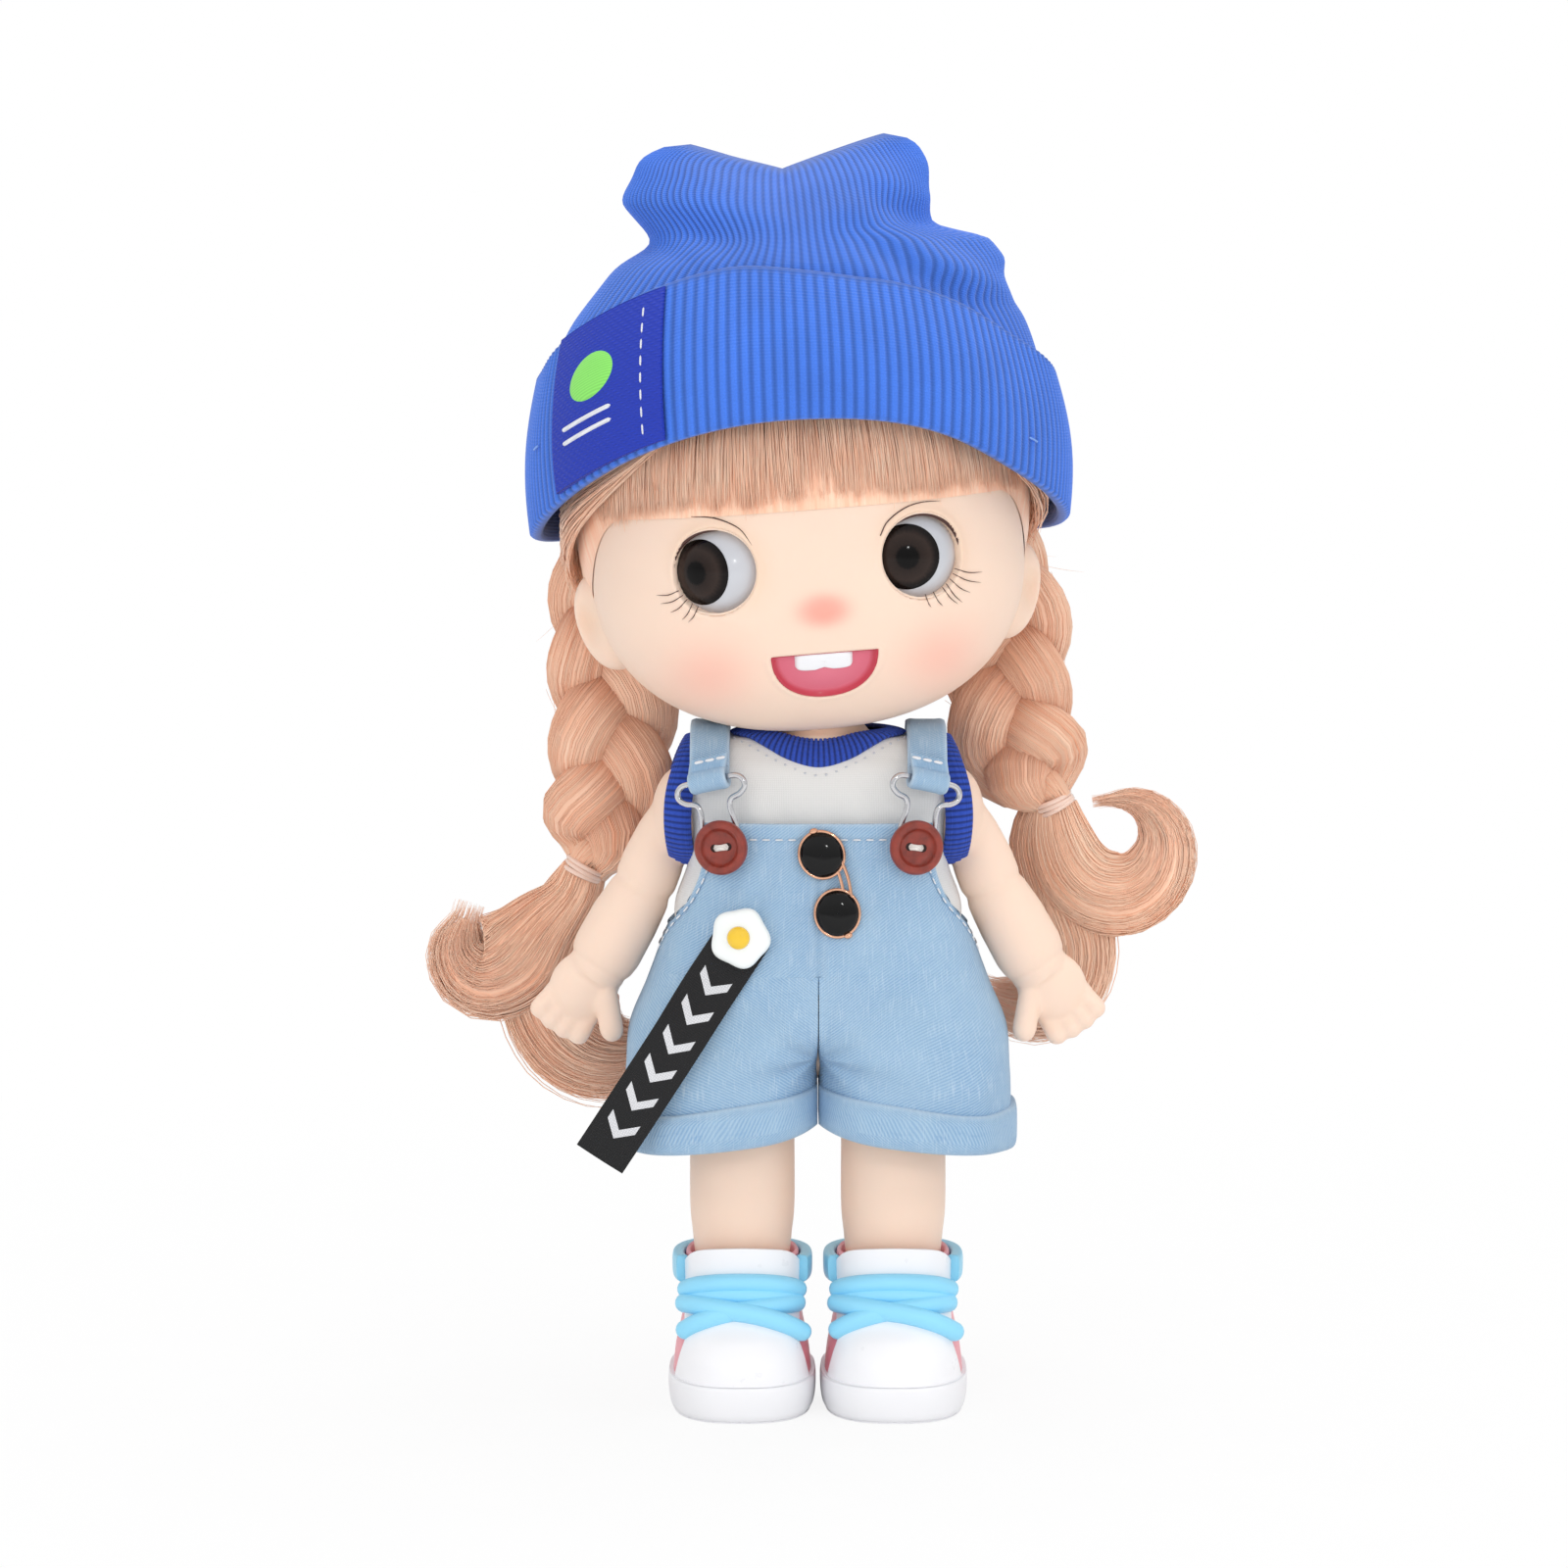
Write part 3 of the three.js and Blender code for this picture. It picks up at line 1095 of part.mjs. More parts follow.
// Laces: two level bars and a crossing pair, laid over the tongue and fused where they touch
const laceFront = -(ANKLE_RADIUS + 4.6 + LACE_RADIUS);
const laceTopZ = TONGUE_TOP_Z - 5.4;
function lace(fromZ, toZ) {
  const reach = LACE_HALF_SPAN;
  const points = [-1, -0.55, 0, 0.55, 1].map((t) => {
    const z = fromZ + ((toZ - fromZ) * (t + 1)) / 2;
    const slope = Math.max(laceTopZ - z, 0) * 0.34;
    const bend = 4.4 * t * t;
    return vec(LEG_X + reach * t, laceFront - slope + bend, z);
  });
  const curve = new THREE.CatmullRomCurve3(points, false, "centripetal");
  return sweep(curve, [
    [LACE_RADIUS, LACE_RADIUS * 0.9],
    [LACE_RADIUS, LACE_RADIUS * 0.9],
    [LACE_RADIUS, LACE_RADIUS * 0.9],
    [LACE_RADIUS, LACE_RADIUS * 0.9],
  ], 4, vec(0, 1, 0), 1);
}
const laces = joined(
  lace(laceTopZ, laceTopZ + 0.6),
  lace(laceTopZ - LACE_PITCH + 0.7, laceTopZ - LACE_PITCH),
  lace(laceTopZ - 1.7 * LACE_PITCH, laceTopZ - 2.4 * LACE_PITCH),
  lace(laceTopZ - 2.4 * LACE_PITCH, laceTopZ - 1.6 * LACE_PITCH),
).subtract(lastForm(FIT_GAP)).subtract(lastForm(COLLAR_PROUD + FIT_GAP).intersect(
  zone([-40, -60, SHOE_TOP_Z - COLLAR_DEPTH * 0.6], [40, 60, lastTop + 5]),
).subtract(tongueRoom));

function shoe(side, parent) {
  const mirrored = (body) => (side === "left" ? body : otherSide(body));
  piece(`${side}_sole`, mirrored(solid(sole)), CLOTH, parent);
  piece(`${side}_toe_cap`, mirrored(toeCap), CLOTH, parent);
  piece(`${side}_shoe_upper`, mirrored(upper), PINK, parent);
  piece(`${side}_tongue`, mirrored(tongue), CLOTH, parent);
  piece(`${side}_shoe_collar`, mirrored(shoeCollar), LACE, parent);
  piece(`${side}_laces`, mirrored(laces), LACE, parent);
}
shoe("left", leftLegGroup);
shoe("right", rightLegGroup);

// Head form in the head's own frame, one lower and one upper half with the same widest level
function headHalf(level, layer, exponent) {
  const reach = level < HEAD_LEVEL ? HEAD_BELOW : HEAD_ABOVE;
  const share = Math.min(Math.abs(level - HEAD_LEVEL) / (reach + layer), 1);
  return (1 - share ** exponent) ** (1 / exponent);
}
const headHalfWidth = (level, layer) => (HEAD_HALF_WIDTH + layer) * headHalf(level, layer, 2.3);
const headHalfDepth = (level, layer) => (HEAD_HALF_DEPTH + layer) * headHalf(level, layer, 2.5);
function headRings(layer, sides, rows) {
  const rings = [];
  for (let i = 0; i <= rows; i += 1) {
    const turn = (-0.5 + i / rows) * Math.PI * 0.965;
    const reach = turn < 0 ? HEAD_BELOW : HEAD_ABOVE;
    const level = HEAD_LEVEL + (reach + layer) * Math.sin(turn);
    rings.push(ring(sides, headHalfWidth(level, layer), headHalfDepth(level, layer), HEAD_SQUARE, vec(0, 0, level)));
  }
  return rings;
}
const headForm = (layer, sides = HEAD_SIDES, rows = 11) => solid(loft(headRings(layer, sides, rows)));
function faceAt(x, level, layer = 0) {
  const share = Math.min(Math.abs(x) / headHalfWidth(level, layer), 0.99);
  return -headHalfDepth(level, layer) * (1 - share ** HEAD_SQUARE) ** (1 / HEAD_SQUARE);
}

// Eyes: domes behind round openings, with irises let into their fronts
const eyeSink = Math.sqrt(EYE_BALL ** 2 - EYE_OPENING ** 2);
function eyeMiddle(side) {
  const place = seat((x, z) => faceAt(x, z), side * EYE_X, EYE_LEVEL, -eyeSink);
  return vec(0, 0, 0).setFromMatrixPosition(place);
}
function eyePieces(side) {
  const middle = eyeMiddle(side);
  const ahead = new THREE.Quaternion().setFromUnitVectors(vec(0, 0, 1), vec(side * 0.42, -1, 0).normalize());
  const irisEdge = Math.sqrt(EYE_BALL ** 2 - IRIS_RADIUS ** 2);
  const shift = vec(side * EYE_X - IRIS_SHIFT - middle.x, 0, EYE_LEVEL + IRIS_RISE - middle.z);
  const gaze = shift.setY(-Math.sqrt(irisEdge ** 2 - shift.lengthSq())).normalize();
  const look = new THREE.Quaternion().setFromUnitVectors(vec(0, 0, 1), gaze);
  const put = (geometry, turn) => geometry.applyQuaternion(turn).translate(middle.x, middle.y, middle.z);
  const dome = [[0, -1]];
  for (let i = 0; i <= 5; i += 1) {
    const t = (i / 5) * 90 * DEG;
    dome.push([EYE_BALL * Math.cos(t), EYE_BALL * Math.sin(t)]);
  }
  dome[1][0] = EYE_BALL;
  dome.splice(1, 0, [EYE_BALL, -1]);
  dome[dome.length - 1][0] = 0;
  const pocketFloor = irisEdge - IRIS_THICKNESS;
  const pocket = put(revolve([
    [0, pocketFloor],
    [IRIS_RADIUS + 0.12, pocketFloor],
    [IRIS_RADIUS + 0.12, EYE_BALL + 2],
    [0, EYE_BALL + 2],
  ], 16), look);
  const cap = [[0, pocketFloor + FIT_GAP], [IRIS_RADIUS, pocketFloor + FIT_GAP], [IRIS_RADIUS, irisEdge]];
  for (let i = 1; i <= 3; i += 1) {
    const r = IRIS_RADIUS * (1 - i / 3);
    cap.push([r, Math.sqrt(EYE_BALL ** 2 - r ** 2)]);
  }
  return {
    eye: solid(put(revolve(dome, 16), ahead)).subtract(solid(pocket)),
    iris: solid(put(revolve(cap, 16), look)),
    socket: solid(ball(EYE_BALL + 2 * FIT_GAP, middle, 14, 9)),
  };
}
const eyes = { left: eyePieces(1), right: eyePieces(-1) };

// Mouth: a half-moon recess with an inlay and a tooth piece that follow the face
function mouthPrism(shrink) {
  const half = MOUTH_HALF_WIDTH - shrink;
  const shape = new THREE.Shape();
  shape.moveTo(-half, -shrink);
  const steps = 9;
  for (let i = 1; i <= steps; i += 1) {
    const turn = Math.PI + (Math.PI * i) / steps;
    shape.lineTo(half * Math.cos(turn), -shrink + (MOUTH_HEIGHT - 2 * shrink) * Math.sin(turn));
  }
  const geometry = new THREE.ExtrudeGeometry(shape, { depth: 60, bevelEnabled: false, steps: 1 });
  return solid(geometry.rotateX(Math.PI / 2).translate(0, 0, MOUTH_TOP));
}
const layerBetween = (inner, outer) => headForm(outer).subtract(headForm(inner));
const mouthRecess = mouthPrism(0).intersect(layerBetween(-MOUTH_DEPTH, 4));
const mouthInlay = mouthPrism(FIT_GAP)
  .intersect(layerBetween(FIT_GAP - MOUTH_DEPTH, FIT_GAP + MOUTH_INLAY - MOUTH_DEPTH));
const toothBlock = solid(block(
  vec(-TEETH_HALF_WIDTH, -80, MOUTH_TOP - FIT_GAP - TEETH_HEIGHT),
  vec(TEETH_HALF_WIDTH, -5, MOUTH_TOP - FIT_GAP),
));
const toothNotch = solid(bar(
  vec(0, -80, MOUTH_TOP - FIT_GAP - TEETH_HEIGHT),
  vec(0, -5, MOUTH_TOP - FIT_GAP - TEETH_HEIGHT),
  TEETH_HEIGHT * 0.2,
  8,
));
const teeth = toothBlock.subtract(toothNotch).intersect(mouthPrism(FIT_GAP))
  .intersect(layerBetween(2 * FIT_GAP + MOUTH_INLAY - MOUTH_DEPTH, -0.2));

// Head shell with nose, ears, eye openings, mouth recess and neck opening
const noseY = faceAt(0, NOSE_LEVEL);
const nose = egg(
  vec(NOSE_HALF_WIDTH, NOSE_PROUD * 2, NOSE_HALF_HEIGHT),
  vec(0, noseY + NOSE_PROUD, NOSE_LEVEL),
  8,
  5,
);
function ear(side) {
  const x = headHalfWidth(EAR_LEVEL, 0);
  const lobe = solid(egg(
    vec(EAR_PROUD + 2.4, EAR_HALF_DEPTH, EAR_HALF_HEIGHT),
    vec(x - 2.4, EAR_SET_BACK, EAR_LEVEL),
    8,
    6,
  ));
  const hollow = solid(egg(
    vec(EAR_PROUD, EAR_HALF_DEPTH, EAR_HALF_HEIGHT * 0.62),
    vec(x + 0.6, EAR_SET_BACK - EAR_HALF_DEPTH - EAR_HOLLOW, EAR_LEVEL),
    8,
    5,
  ));
  const body = lobe.subtract(hollow);
  return side > 0 ? body : otherSide(body);
}
const ears = [ear(1), ear(-1)];
const neckBoss = solid(bar(vec(0, 0, -KNOB_RADIUS - 4), vec(0, 0, KNOB_RADIUS * 0.5),
  KNOB_RADIUS + 2 * FIT_GAP + NECK_SOCKET_WALL, 12));
const headCavity = headForm(-HEAD_WALL, 12, 6).subtract(neckBoss);
const headSkin = headForm(0).add(solid(nose)).add(ears[0]).add(ears[1]);
const shoulderClear = solid(geometryOf(
  solid(block(vec(-60, -60, NECK_Z - 40), vec(60, 60, SHOULDER_TOP_Z + DENIM_OUT + SWING_GAP))),
).applyMatrix4(toHead));
const headShell = cutBy(
  headSkin.subtract(headCavity),
  [
    eyes.left.socket,
    eyes.right.socket,
    mouthRecess,
    solid(ball(KNOB_RADIUS + 2 * FIT_GAP, vec(0, 0, 0), 12, 8)),
    solid(bar(vec(0, 0, KNOB_RADIUS * 0.3), vec(0, 0, KNOB_RADIUS * 1.4), KNOB_RADIUS + 2 * FIT_GAP, 12)),
    shoulderClear,
  ],
);
piece("head_shell", headShell, SKIN, headGroup, true);
piece("left_eye", eyes.left.eye, CLOTH, headGroup, true);
piece("left_iris", eyes.left.iris, DARK, headGroup, true);
piece("right_eye", eyes.right.eye, CLOTH, headGroup, true);
piece("right_iris", eyes.right.iris, DARK, headGroup, true);
piece("mouth_inlay", mouthInlay, paint(0xd7697d), headGroup, true);
piece("front_teeth", teeth, CLOTH, headGroup, true);

// Hat crown: level rings that close to a seam with two soft corners and a dip between them
const CROWN = [
  [4, CUFF_HALF_WIDTH - 4.2, CUFF_HALF_DEPTH - 4],
  [BRIM_SIDE, CUFF_HALF_WIDTH - 3.6, CUFF_HALF_DEPTH - 3.4],
  [55, CUFF_HALF_WIDTH - 3.8, CUFF_HALF_DEPTH - 3.8],
  [65, CUFF_HALF_WIDTH - 5.2, CUFF_HALF_DEPTH - 5.4],
  [73, HAT_EAR_X + 22, CUFF_HALF_DEPTH - 8],
  [82, HAT_EAR_X + 14.6, CUFF_HALF_DEPTH - 12],
  [90.5, HAT_EAR_X + 7.2, CUFF_HALF_DEPTH - 18.5],
  [HAT_EAR_LEVEL - 11, HAT_EAR_X + 8.2, CUFF_HALF_DEPTH * 0.5],
  [HAT_EAR_LEVEL - 6, HAT_EAR_X + 7.4, CUFF_HALF_DEPTH * 0.38],
  [HAT_EAR_LEVEL - 2.4, HAT_EAR_X + 4.6, CUFF_HALF_DEPTH * 0.24],
  [HAT_EAR_LEVEL, HAT_EAR_X, CUFF_HALF_DEPTH * 0.08],
];
const LOOSE = 84;
function crownForm(layer, rows = CROWN) {
  return solid(loft(rows.map(([level, a, b], i) => {
    const up = i === rows.length - 1 ? layer : 0;
    return ring(HAT_SIDES, a + layer, Math.max(b + layer, 0.4), HAT_SQUARE, vec(0, HAT_SET_BACK, level + up))
      .map((p) => {
        const loose = Math.max((level - LOOSE) / (HAT_EAR_LEVEL - LOOSE), 0);
        const dip = HAT_VALLEY * loose * Math.exp(-((p.x / 9) ** 2));
        return vec(p.x, p.y, p.z - dip);
      });
  })));
}

// Brim by the turn round the head: it rises to the brow, levels off behind the ears and drops at the nape
function brimAt(turn) {
  const s = Math.sin(turn);
  if (s < 0) return BRIM_SIDE - BRIM_RISE * s + 5 * s * s;
  const nape = Math.min(Math.max((s - 0.45) / 0.55, 0), 1);
  const levelled = BRIM_EASE * (1 - Math.exp((-BRIM_RISE * s) / BRIM_EASE));
  return BRIM_SIDE - levelled - BRIM_BACK * nape * nape * (3 - 2 * nape);
}
function cuffAt(turn, share, layer) {
  const s = Math.sin(turn);
  const narrowing = s < 0 ? 9.5 : 0.5;
  const lean = share * share;
  const bulge = CUFF_BULGE * Math.sin(Math.PI * share) + layer;
  const halfWidth = CUFF_HALF_WIDTH - 2 * lean + bulge;
  const halfDepth = CUFF_HALF_DEPTH - narrowing * Math.abs(s) * lean + bulge;
  return vec(
    halfWidth * power(Math.cos(turn), 2 / HAT_SQUARE),
    HAT_SET_BACK + halfDepth * power(s, 2 / HAT_SQUARE),
    brimAt(turn) + (CUFF_HEIGHT + (s < 0 ? 1.5 * s : 2 * s)) * share,
  );
}
function cuffShape(layer, low, high, rows) {
  const rings = [];
  for (let j = 0; j <= rows; j += 1) {
    const share = low + ((high - low) * j) / rows;
    const points = [];
    for (let i = 0; i < HAT_SIDES; i += 1) {
      points.push(cuffAt((2 * Math.PI * i) / HAT_SIDES, share, layer));
    }
    rings.push(points);
  }
  return solid(loft(rings));
}
const brimRing = (layer, share) => Array.from(
  { length: HAT_SIDES },
  (unused, i) => cuffAt((2 * Math.PI * i) / HAT_SIDES, share, layer),
);
const aboveBrim = solid(loft([brimRing(-30, 0.12), brimRing(20, 0.12), brimRing(20, 1)])).add(
  solid(block(vec(-90, -90, BRIM_SIDE + BRIM_RISE + 6), vec(90, 90, HAT_EAR_LEVEL + 20))),
);
const hatCuff = cuffShape(0, 0, 1, 4).subtract(cuffShape(-HAT_CUFF_CLOTH, -0.08, 1.08, 2))
  .subtract(crownForm(FIT_GAP));
const liningRows = CROWN.filter((row, i) => ![2, 4, 7, 10].includes(i));
const hatCrown = crownForm(0).subtract(crownForm(-HAT_CLOTH, liningRows)).intersect(aboveBrim);
piece("hat_crown", hatCrown, KNIT, headGroup, true);
piece("hat_cuff", hatCuff, KNIT, headGroup, true);
const labelAt = (u, v, layer) => cuffAt(
  (LABEL_FROM + (LABEL_TO - LABEL_FROM) * u) * DEG,
  LABEL_INSET / CUFF_HEIGHT + (1 - (2 * LABEL_INSET) / CUFF_HEIGHT) * v,
  layer,
);
piece("hat_label", slab(labelAt, FIT_GAP, FIT_GAP + LABEL_CLOTH, 4, 4), paint(0x1b2fa8), headGroup, true);

// Scalp hair fills the hat and shows at the nape; the fringe lies on the forehead
const hairline = (shift) => {
  const tilt = Math.atan(HAIRLINE_SLOPE);
  const half = solid(block(vec(-90, -90, -120), vec(90, 90, 0)));
  const geometry = geometryOf(half).rotateX(-tilt);
  return solid(geometry.translate(0, -8, HAIRLINE_LEVEL + shift));
};
const earRoom = [1, -1].map((side) => solid(egg(
  vec(EAR_PROUD + 2.4 + FIT_GAP, EAR_HALF_DEPTH + FIT_GAP, EAR_HALF_HEIGHT + FIT_GAP),
  vec(side * (headHalfWidth(EAR_LEVEL, 0) - 2.4), EAR_SET_BACK, EAR_LEVEL),
)));
const hairCrown = cutBy(
  headForm(SCALP_HAIR, 16, 9).subtract(headForm(FIT_GAP)).subtract(hairline(0)),
  earRoom,
);
piece("hair_crown", hairCrown, HAIR, headGroup, true);
function fringeAt(u, v, layer) {
  const spread = FRINGE_SPREAD * DEG;
  const turn = -Math.PI / 2 + spread * (2 * u - 1);
  const edge = Math.abs(2 * u - 1);
  const low = FRINGE_LEVEL + 1.4 * Math.cos(7 * u * Math.PI) - 3 * edge * edge;
  const high = FRINGE_TOP - 22 * edge * edge;
  const level = low + (high - low) * v;
  const thin = v === 0 ? 0.35 : 1;
  const away = FIT_GAP + (layer - FIT_GAP) * thin;
  return vec(
    headHalfWidth(level, away) * power(Math.cos(turn), 2 / HEAD_SQUARE),
    headHalfDepth(level, away) * power(Math.sin(turn), 2 / HEAD_SQUARE),
    level,
  );
}
const fringe = solid(slab(fringeAt, FIT_GAP + 0.1, FIT_GAP + FRINGE_HAIR, 14, 2))
  .intersect(hairline(-FIT_GAP * 1.5)).subtract(hatCrown).subtract(headForm(FIT_GAP));
piece("hair_fringe", fringe, HAIR, headGroup, true);

// Plaits: the skin round three strands that cross in turn along a hanging line, drawn in to the tie
function plait(route, turns, girth) {
  const curve = new THREE.CatmullRomCurve3(route, false, "centripetal");
  const steps = 14 * turns;
  const sides = 8;
  const rings = [];
  for (let i = 0; i <= steps; i += 1) {
    const t = i / steps;
    const middle = curve.getPointAt(t);
    const ahead = curve.getTangentAt(t);
    const side = vec(0, 0, 0).crossVectors(vec(0, 1, 0), ahead).normalize();
    const lift = vec(0, 0, 0).crossVectors(ahead, side).normalize();
    const drawn = girth(t);
    const radius = STRAND_RADIUS * (0.35 + 0.65 * drawn);
    const strands = [0, 1, 2].map((n) => {
      const phase = 2 * Math.PI * (turns * t + n / 3);
      return [drawn * PLAIT_SPREAD * Math.sin(phase), drawn * PLAIT_LIFT * Math.sin(2 * phase)];
    });
    const points = [];
    for (let j = 0; j < sides; j += 1) {
      const turn = (2 * Math.PI * j) / sides;
      const [c, d] = [Math.cos(turn), Math.sin(turn)];
      const reach = Math.max(...strands.map(([x, y]) => {
        const off = x * d - y * c;
        return x * c + y * d + Math.sqrt(Math.max(radius ** 2 - off ** 2, 0));
      }));
      points.push(middle.clone().addScaledVector(side, reach * c).addScaledVector(lift, reach * d));
    }
    rings.push(points);
  }
  return solid(loft(rings));
}
const drawIn = (t) => {
  const root = Math.min(t / 0.16, 1);
  const tip = Math.min((1 - t) / 0.3, 1);
  return (0.45 + 0.55 * Math.sin((root * Math.PI) / 2)) * (0.1 + 0.9 * Math.sin((tip * Math.PI) / 2));
};
const plaitBack = 20;
const rightRoute = [
  vec(-47.5, plaitBack - 2, 158),
  vec(-44, plaitBack, 145),
  vec(-40.3, plaitBack, 130),
  vec(-39.3, plaitBack, 117),
  vec(-42, plaitBack, 105),
  vec(-44.5, plaitBack, 98.6),
];
const leftRoute = [
  vec(42.5, plaitBack, 163.5),
  vec(40.5, plaitBack, 150),
  vec(38.4, plaitBack, 136),
  vec(40, plaitBack, 123),
  vec(43.4, plaitBack, 115),
  vec(45.4, plaitBack, 111.4),
];
const hatRoom = solid(geometryOf(cuffShape(FIT_GAP, -0.01, 1, 4)).applyMatrix4(headGroup.matrixWorld))
  .add(solid(geometryOf(crownForm(FIT_GAP).intersect(aboveBrim)).applyMatrix4(headGroup.matrixWorld)));
const headRoom = solid(geometryOf(
  headForm(SCALP_HAIR + FIT_GAP, 16, 9),
).applyMatrix4(headGroup.matrixWorld));
const earClear = earRoom.map((body) => solid(geometryOf(body).applyMatrix4(headGroup.matrixWorld)));
const rootTrim = (body) => cutBy(body, [hatRoom, headRoom, ...earClear]);
piece("right_braid", rootTrim(plait(rightRoute, 1.5, drawIn)), HAIR, headGroup);
piece("left_braid", rootTrim(plait(leftRoute, 1.5, drawIn)), HAIR, headGroup);

// Ties: a ring round the drawn-in end of each plait
const plaitEnd = STRAND_RADIUS * (0.35 + 0.65 * 0.1) + PLAIT_SPREAD * 0.1;
function tieAt(route, name) {
  const end = route[route.length - 1];
  const way = end.clone().sub(route[route.length - 2]).normalize();
  const turn = new THREE.Quaternion().setFromUnitVectors(vec(0, 0, 1), way);
  const radius = Math.max(TIE_RADIUS, plaitEnd + 2 * FIT_GAP + TIE_CORD);
  const geometry = new THREE.TorusGeometry(radius, TIE_CORD, 5, 10).applyQuaternion(turn)
    .translate(end.x, end.y, end.z);
  piece(name, solid(geometry), CLOTH, headGroup);
  return { end, way, radius };
}
const rightTie = tieAt(rightRoute, "right_hair_tie");
const leftTie = tieAt(leftRoute, "left_hair_tie");

// Tails: a stub through the tie that opens into curled locks
const flatLock = vec(0, 1, 0);
function lock(points, widths) {
  const curve = new THREE.CatmullRomCurve3(points.map(([x, y, z]) => vec(x, y, z)), false, "centripetal");
  return solid(sweep(curve, widths, 7, flatLock));
}
function tailStart(tie, reach) {
  const p = tie.end.clone().addScaledVector(tie.way, reach);
  return [p.x, p.y, p.z];
}
const stub = (tie) => tie.radius - TIE_CORD - FIT_GAP;
const halfTail = TAIL_THICKNESS / 2;
const rightTail = lock([
  tailStart(rightTie, FIT_GAP),
  tailStart(rightTie, 4),
  [-52, plaitBack, 88],
  [-58.5, plaitBack, 79],
  [-66, plaitBack, 77.5],
  [-69, plaitBack, 84.5],
  [-68, plaitBack, 92],
], [
  [stub(rightTie), stub(rightTie)],
  [7, halfTail],
  [9.4, halfTail + 1],
  [8.6, halfTail + 1],
  [5, halfTail],
  [1.4, 1],
]).add(lock([
  tailStart(rightTie, FIT_GAP + 1),
  tailStart(rightTie, 5),
  [-50.5, plaitBack + 3, 84],
  [-51, plaitBack + 4, 72],
  [-45, plaitBack + 4, 63],
  [-37, plaitBack + 4, 61],
  [-32, plaitBack + 4, 67],
], [
  [stub(rightTie) - 0.3, stub(rightTie) - 0.3],
  [6.6, halfTail],
  [8.6, halfTail + 1],
  [8.6, halfTail + 1],
  [6.6, halfTail],
  [1.8, 1.2],
]));
const leftTail = lock([
  tailStart(leftTie, FIT_GAP),
  tailStart(leftTie, 4),
  [52, plaitBack, 99.5],
  [58.5, plaitBack, 94.5],
  [65.5, plaitBack, 98.5],
  [66.4, plaitBack, 107.5],
  [60.5, plaitBack, 112.5],
  [54.5, plaitBack, 111.5],
], [
  [stub(leftTie), stub(leftTie)],
  [5.4, halfTail],
  [6.6, halfTail],
  [6.6, halfTail],
  [6.2, halfTail],
  [4, halfTail],
  [1.2, 1],
]).add(lock([
  tailStart(leftTie, FIT_GAP + 1),
  tailStart(leftTie, 5),
  [51, plaitBack + 3, 93],
  [53.5, plaitBack + 4, 82],
  [48, plaitBack + 4, 73],
  [39.5, plaitBack + 4, 70.5],
  [34, plaitBack + 4, 75],
], [
  [stub(leftTie) - 0.3, stub(leftTie) - 0.3],
  [6.4, halfTail],
  [8.8, halfTail + 1],
  [8.8, halfTail + 1],
  [6.2, halfTail],
  [1.8, 1.2],
]));
piece("right_tail", rightTail, HAIR, headGroup);
piece("left_tail", leftTail, HAIR, headGroup);

export default doll;
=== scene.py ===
"""Looks of a jointed play doll: vinyl skin, rooted hair, knitted hat, dungarees and laced shoes."""

import math

import bmesh
import bpy
import numpy as np
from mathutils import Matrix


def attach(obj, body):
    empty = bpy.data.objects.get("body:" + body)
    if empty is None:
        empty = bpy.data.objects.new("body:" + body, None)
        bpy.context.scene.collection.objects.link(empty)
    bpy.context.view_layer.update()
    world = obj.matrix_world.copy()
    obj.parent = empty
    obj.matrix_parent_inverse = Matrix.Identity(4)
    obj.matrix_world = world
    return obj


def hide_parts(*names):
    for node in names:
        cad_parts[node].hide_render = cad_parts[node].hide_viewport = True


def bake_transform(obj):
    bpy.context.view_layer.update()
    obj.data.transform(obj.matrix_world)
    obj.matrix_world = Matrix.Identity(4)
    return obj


bl_info = {
    "name": "Play doll looks",
    "version": (1, 0, 0),
    "blender": (4, 5, 0),
    "location": "View3D > Sidebar > Doll",
    "description": "Builds the skin, hair, clothes and shoes of a jointed play doll on its CAD frame",
    "category": "Add Mesh",
}

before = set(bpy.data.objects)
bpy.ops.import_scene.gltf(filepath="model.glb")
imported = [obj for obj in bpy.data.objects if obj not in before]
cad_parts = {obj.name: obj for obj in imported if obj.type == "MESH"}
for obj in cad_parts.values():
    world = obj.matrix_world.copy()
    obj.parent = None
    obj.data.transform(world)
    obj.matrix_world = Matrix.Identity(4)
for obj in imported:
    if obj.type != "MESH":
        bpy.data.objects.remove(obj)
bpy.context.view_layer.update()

# Lengths below are millimetres in the doll's frame: it faces -Y, +Z is up and its left side is at +X.
MM = 0.001
SIDES = ("left", "right")

# Head frame: the neck knob is its origin, and it is turned and tilted a little
NECK = np.array([0.0, 0.0, 131.0])
YAW = math.radians(4)
ROLL = math.radians(-4.3)
HEAD_TURN = np.array([
    [math.cos(YAW), -math.sin(YAW), 0],
    [math.sin(YAW), math.cos(YAW), 0],
    [0, 0, 1],
]) @ np.array([
    [math.cos(ROLL), 0, math.sin(ROLL)],
    [0, 1, 0],
    [-math.sin(ROLL), 0, math.cos(ROLL)],
])
EYE_X = {"right": -19.4, "left": 18.7}
EYE_LEVEL = 30
EYE_OPENING = 7.9
EYE_BALL = 10
IRIS_RADIUS = 5.9
MOUTH_MIDDLE = (-0.4, 13.6)
MOUTH_HALF_WIDTH = 9.9
MOUTH_HEIGHT = 8.3

# Head: its widest level, its reach below and above that level, its half sizes and squareness
HEAD_WIDEST = 29
HEAD_BELOW = 32
HEAD_ABOVE = 53
HEAD_HALF_WIDTH = 40.5
HEAD_HALF_DEPTH = 37.5
HEAD_SQUARE = 2.35

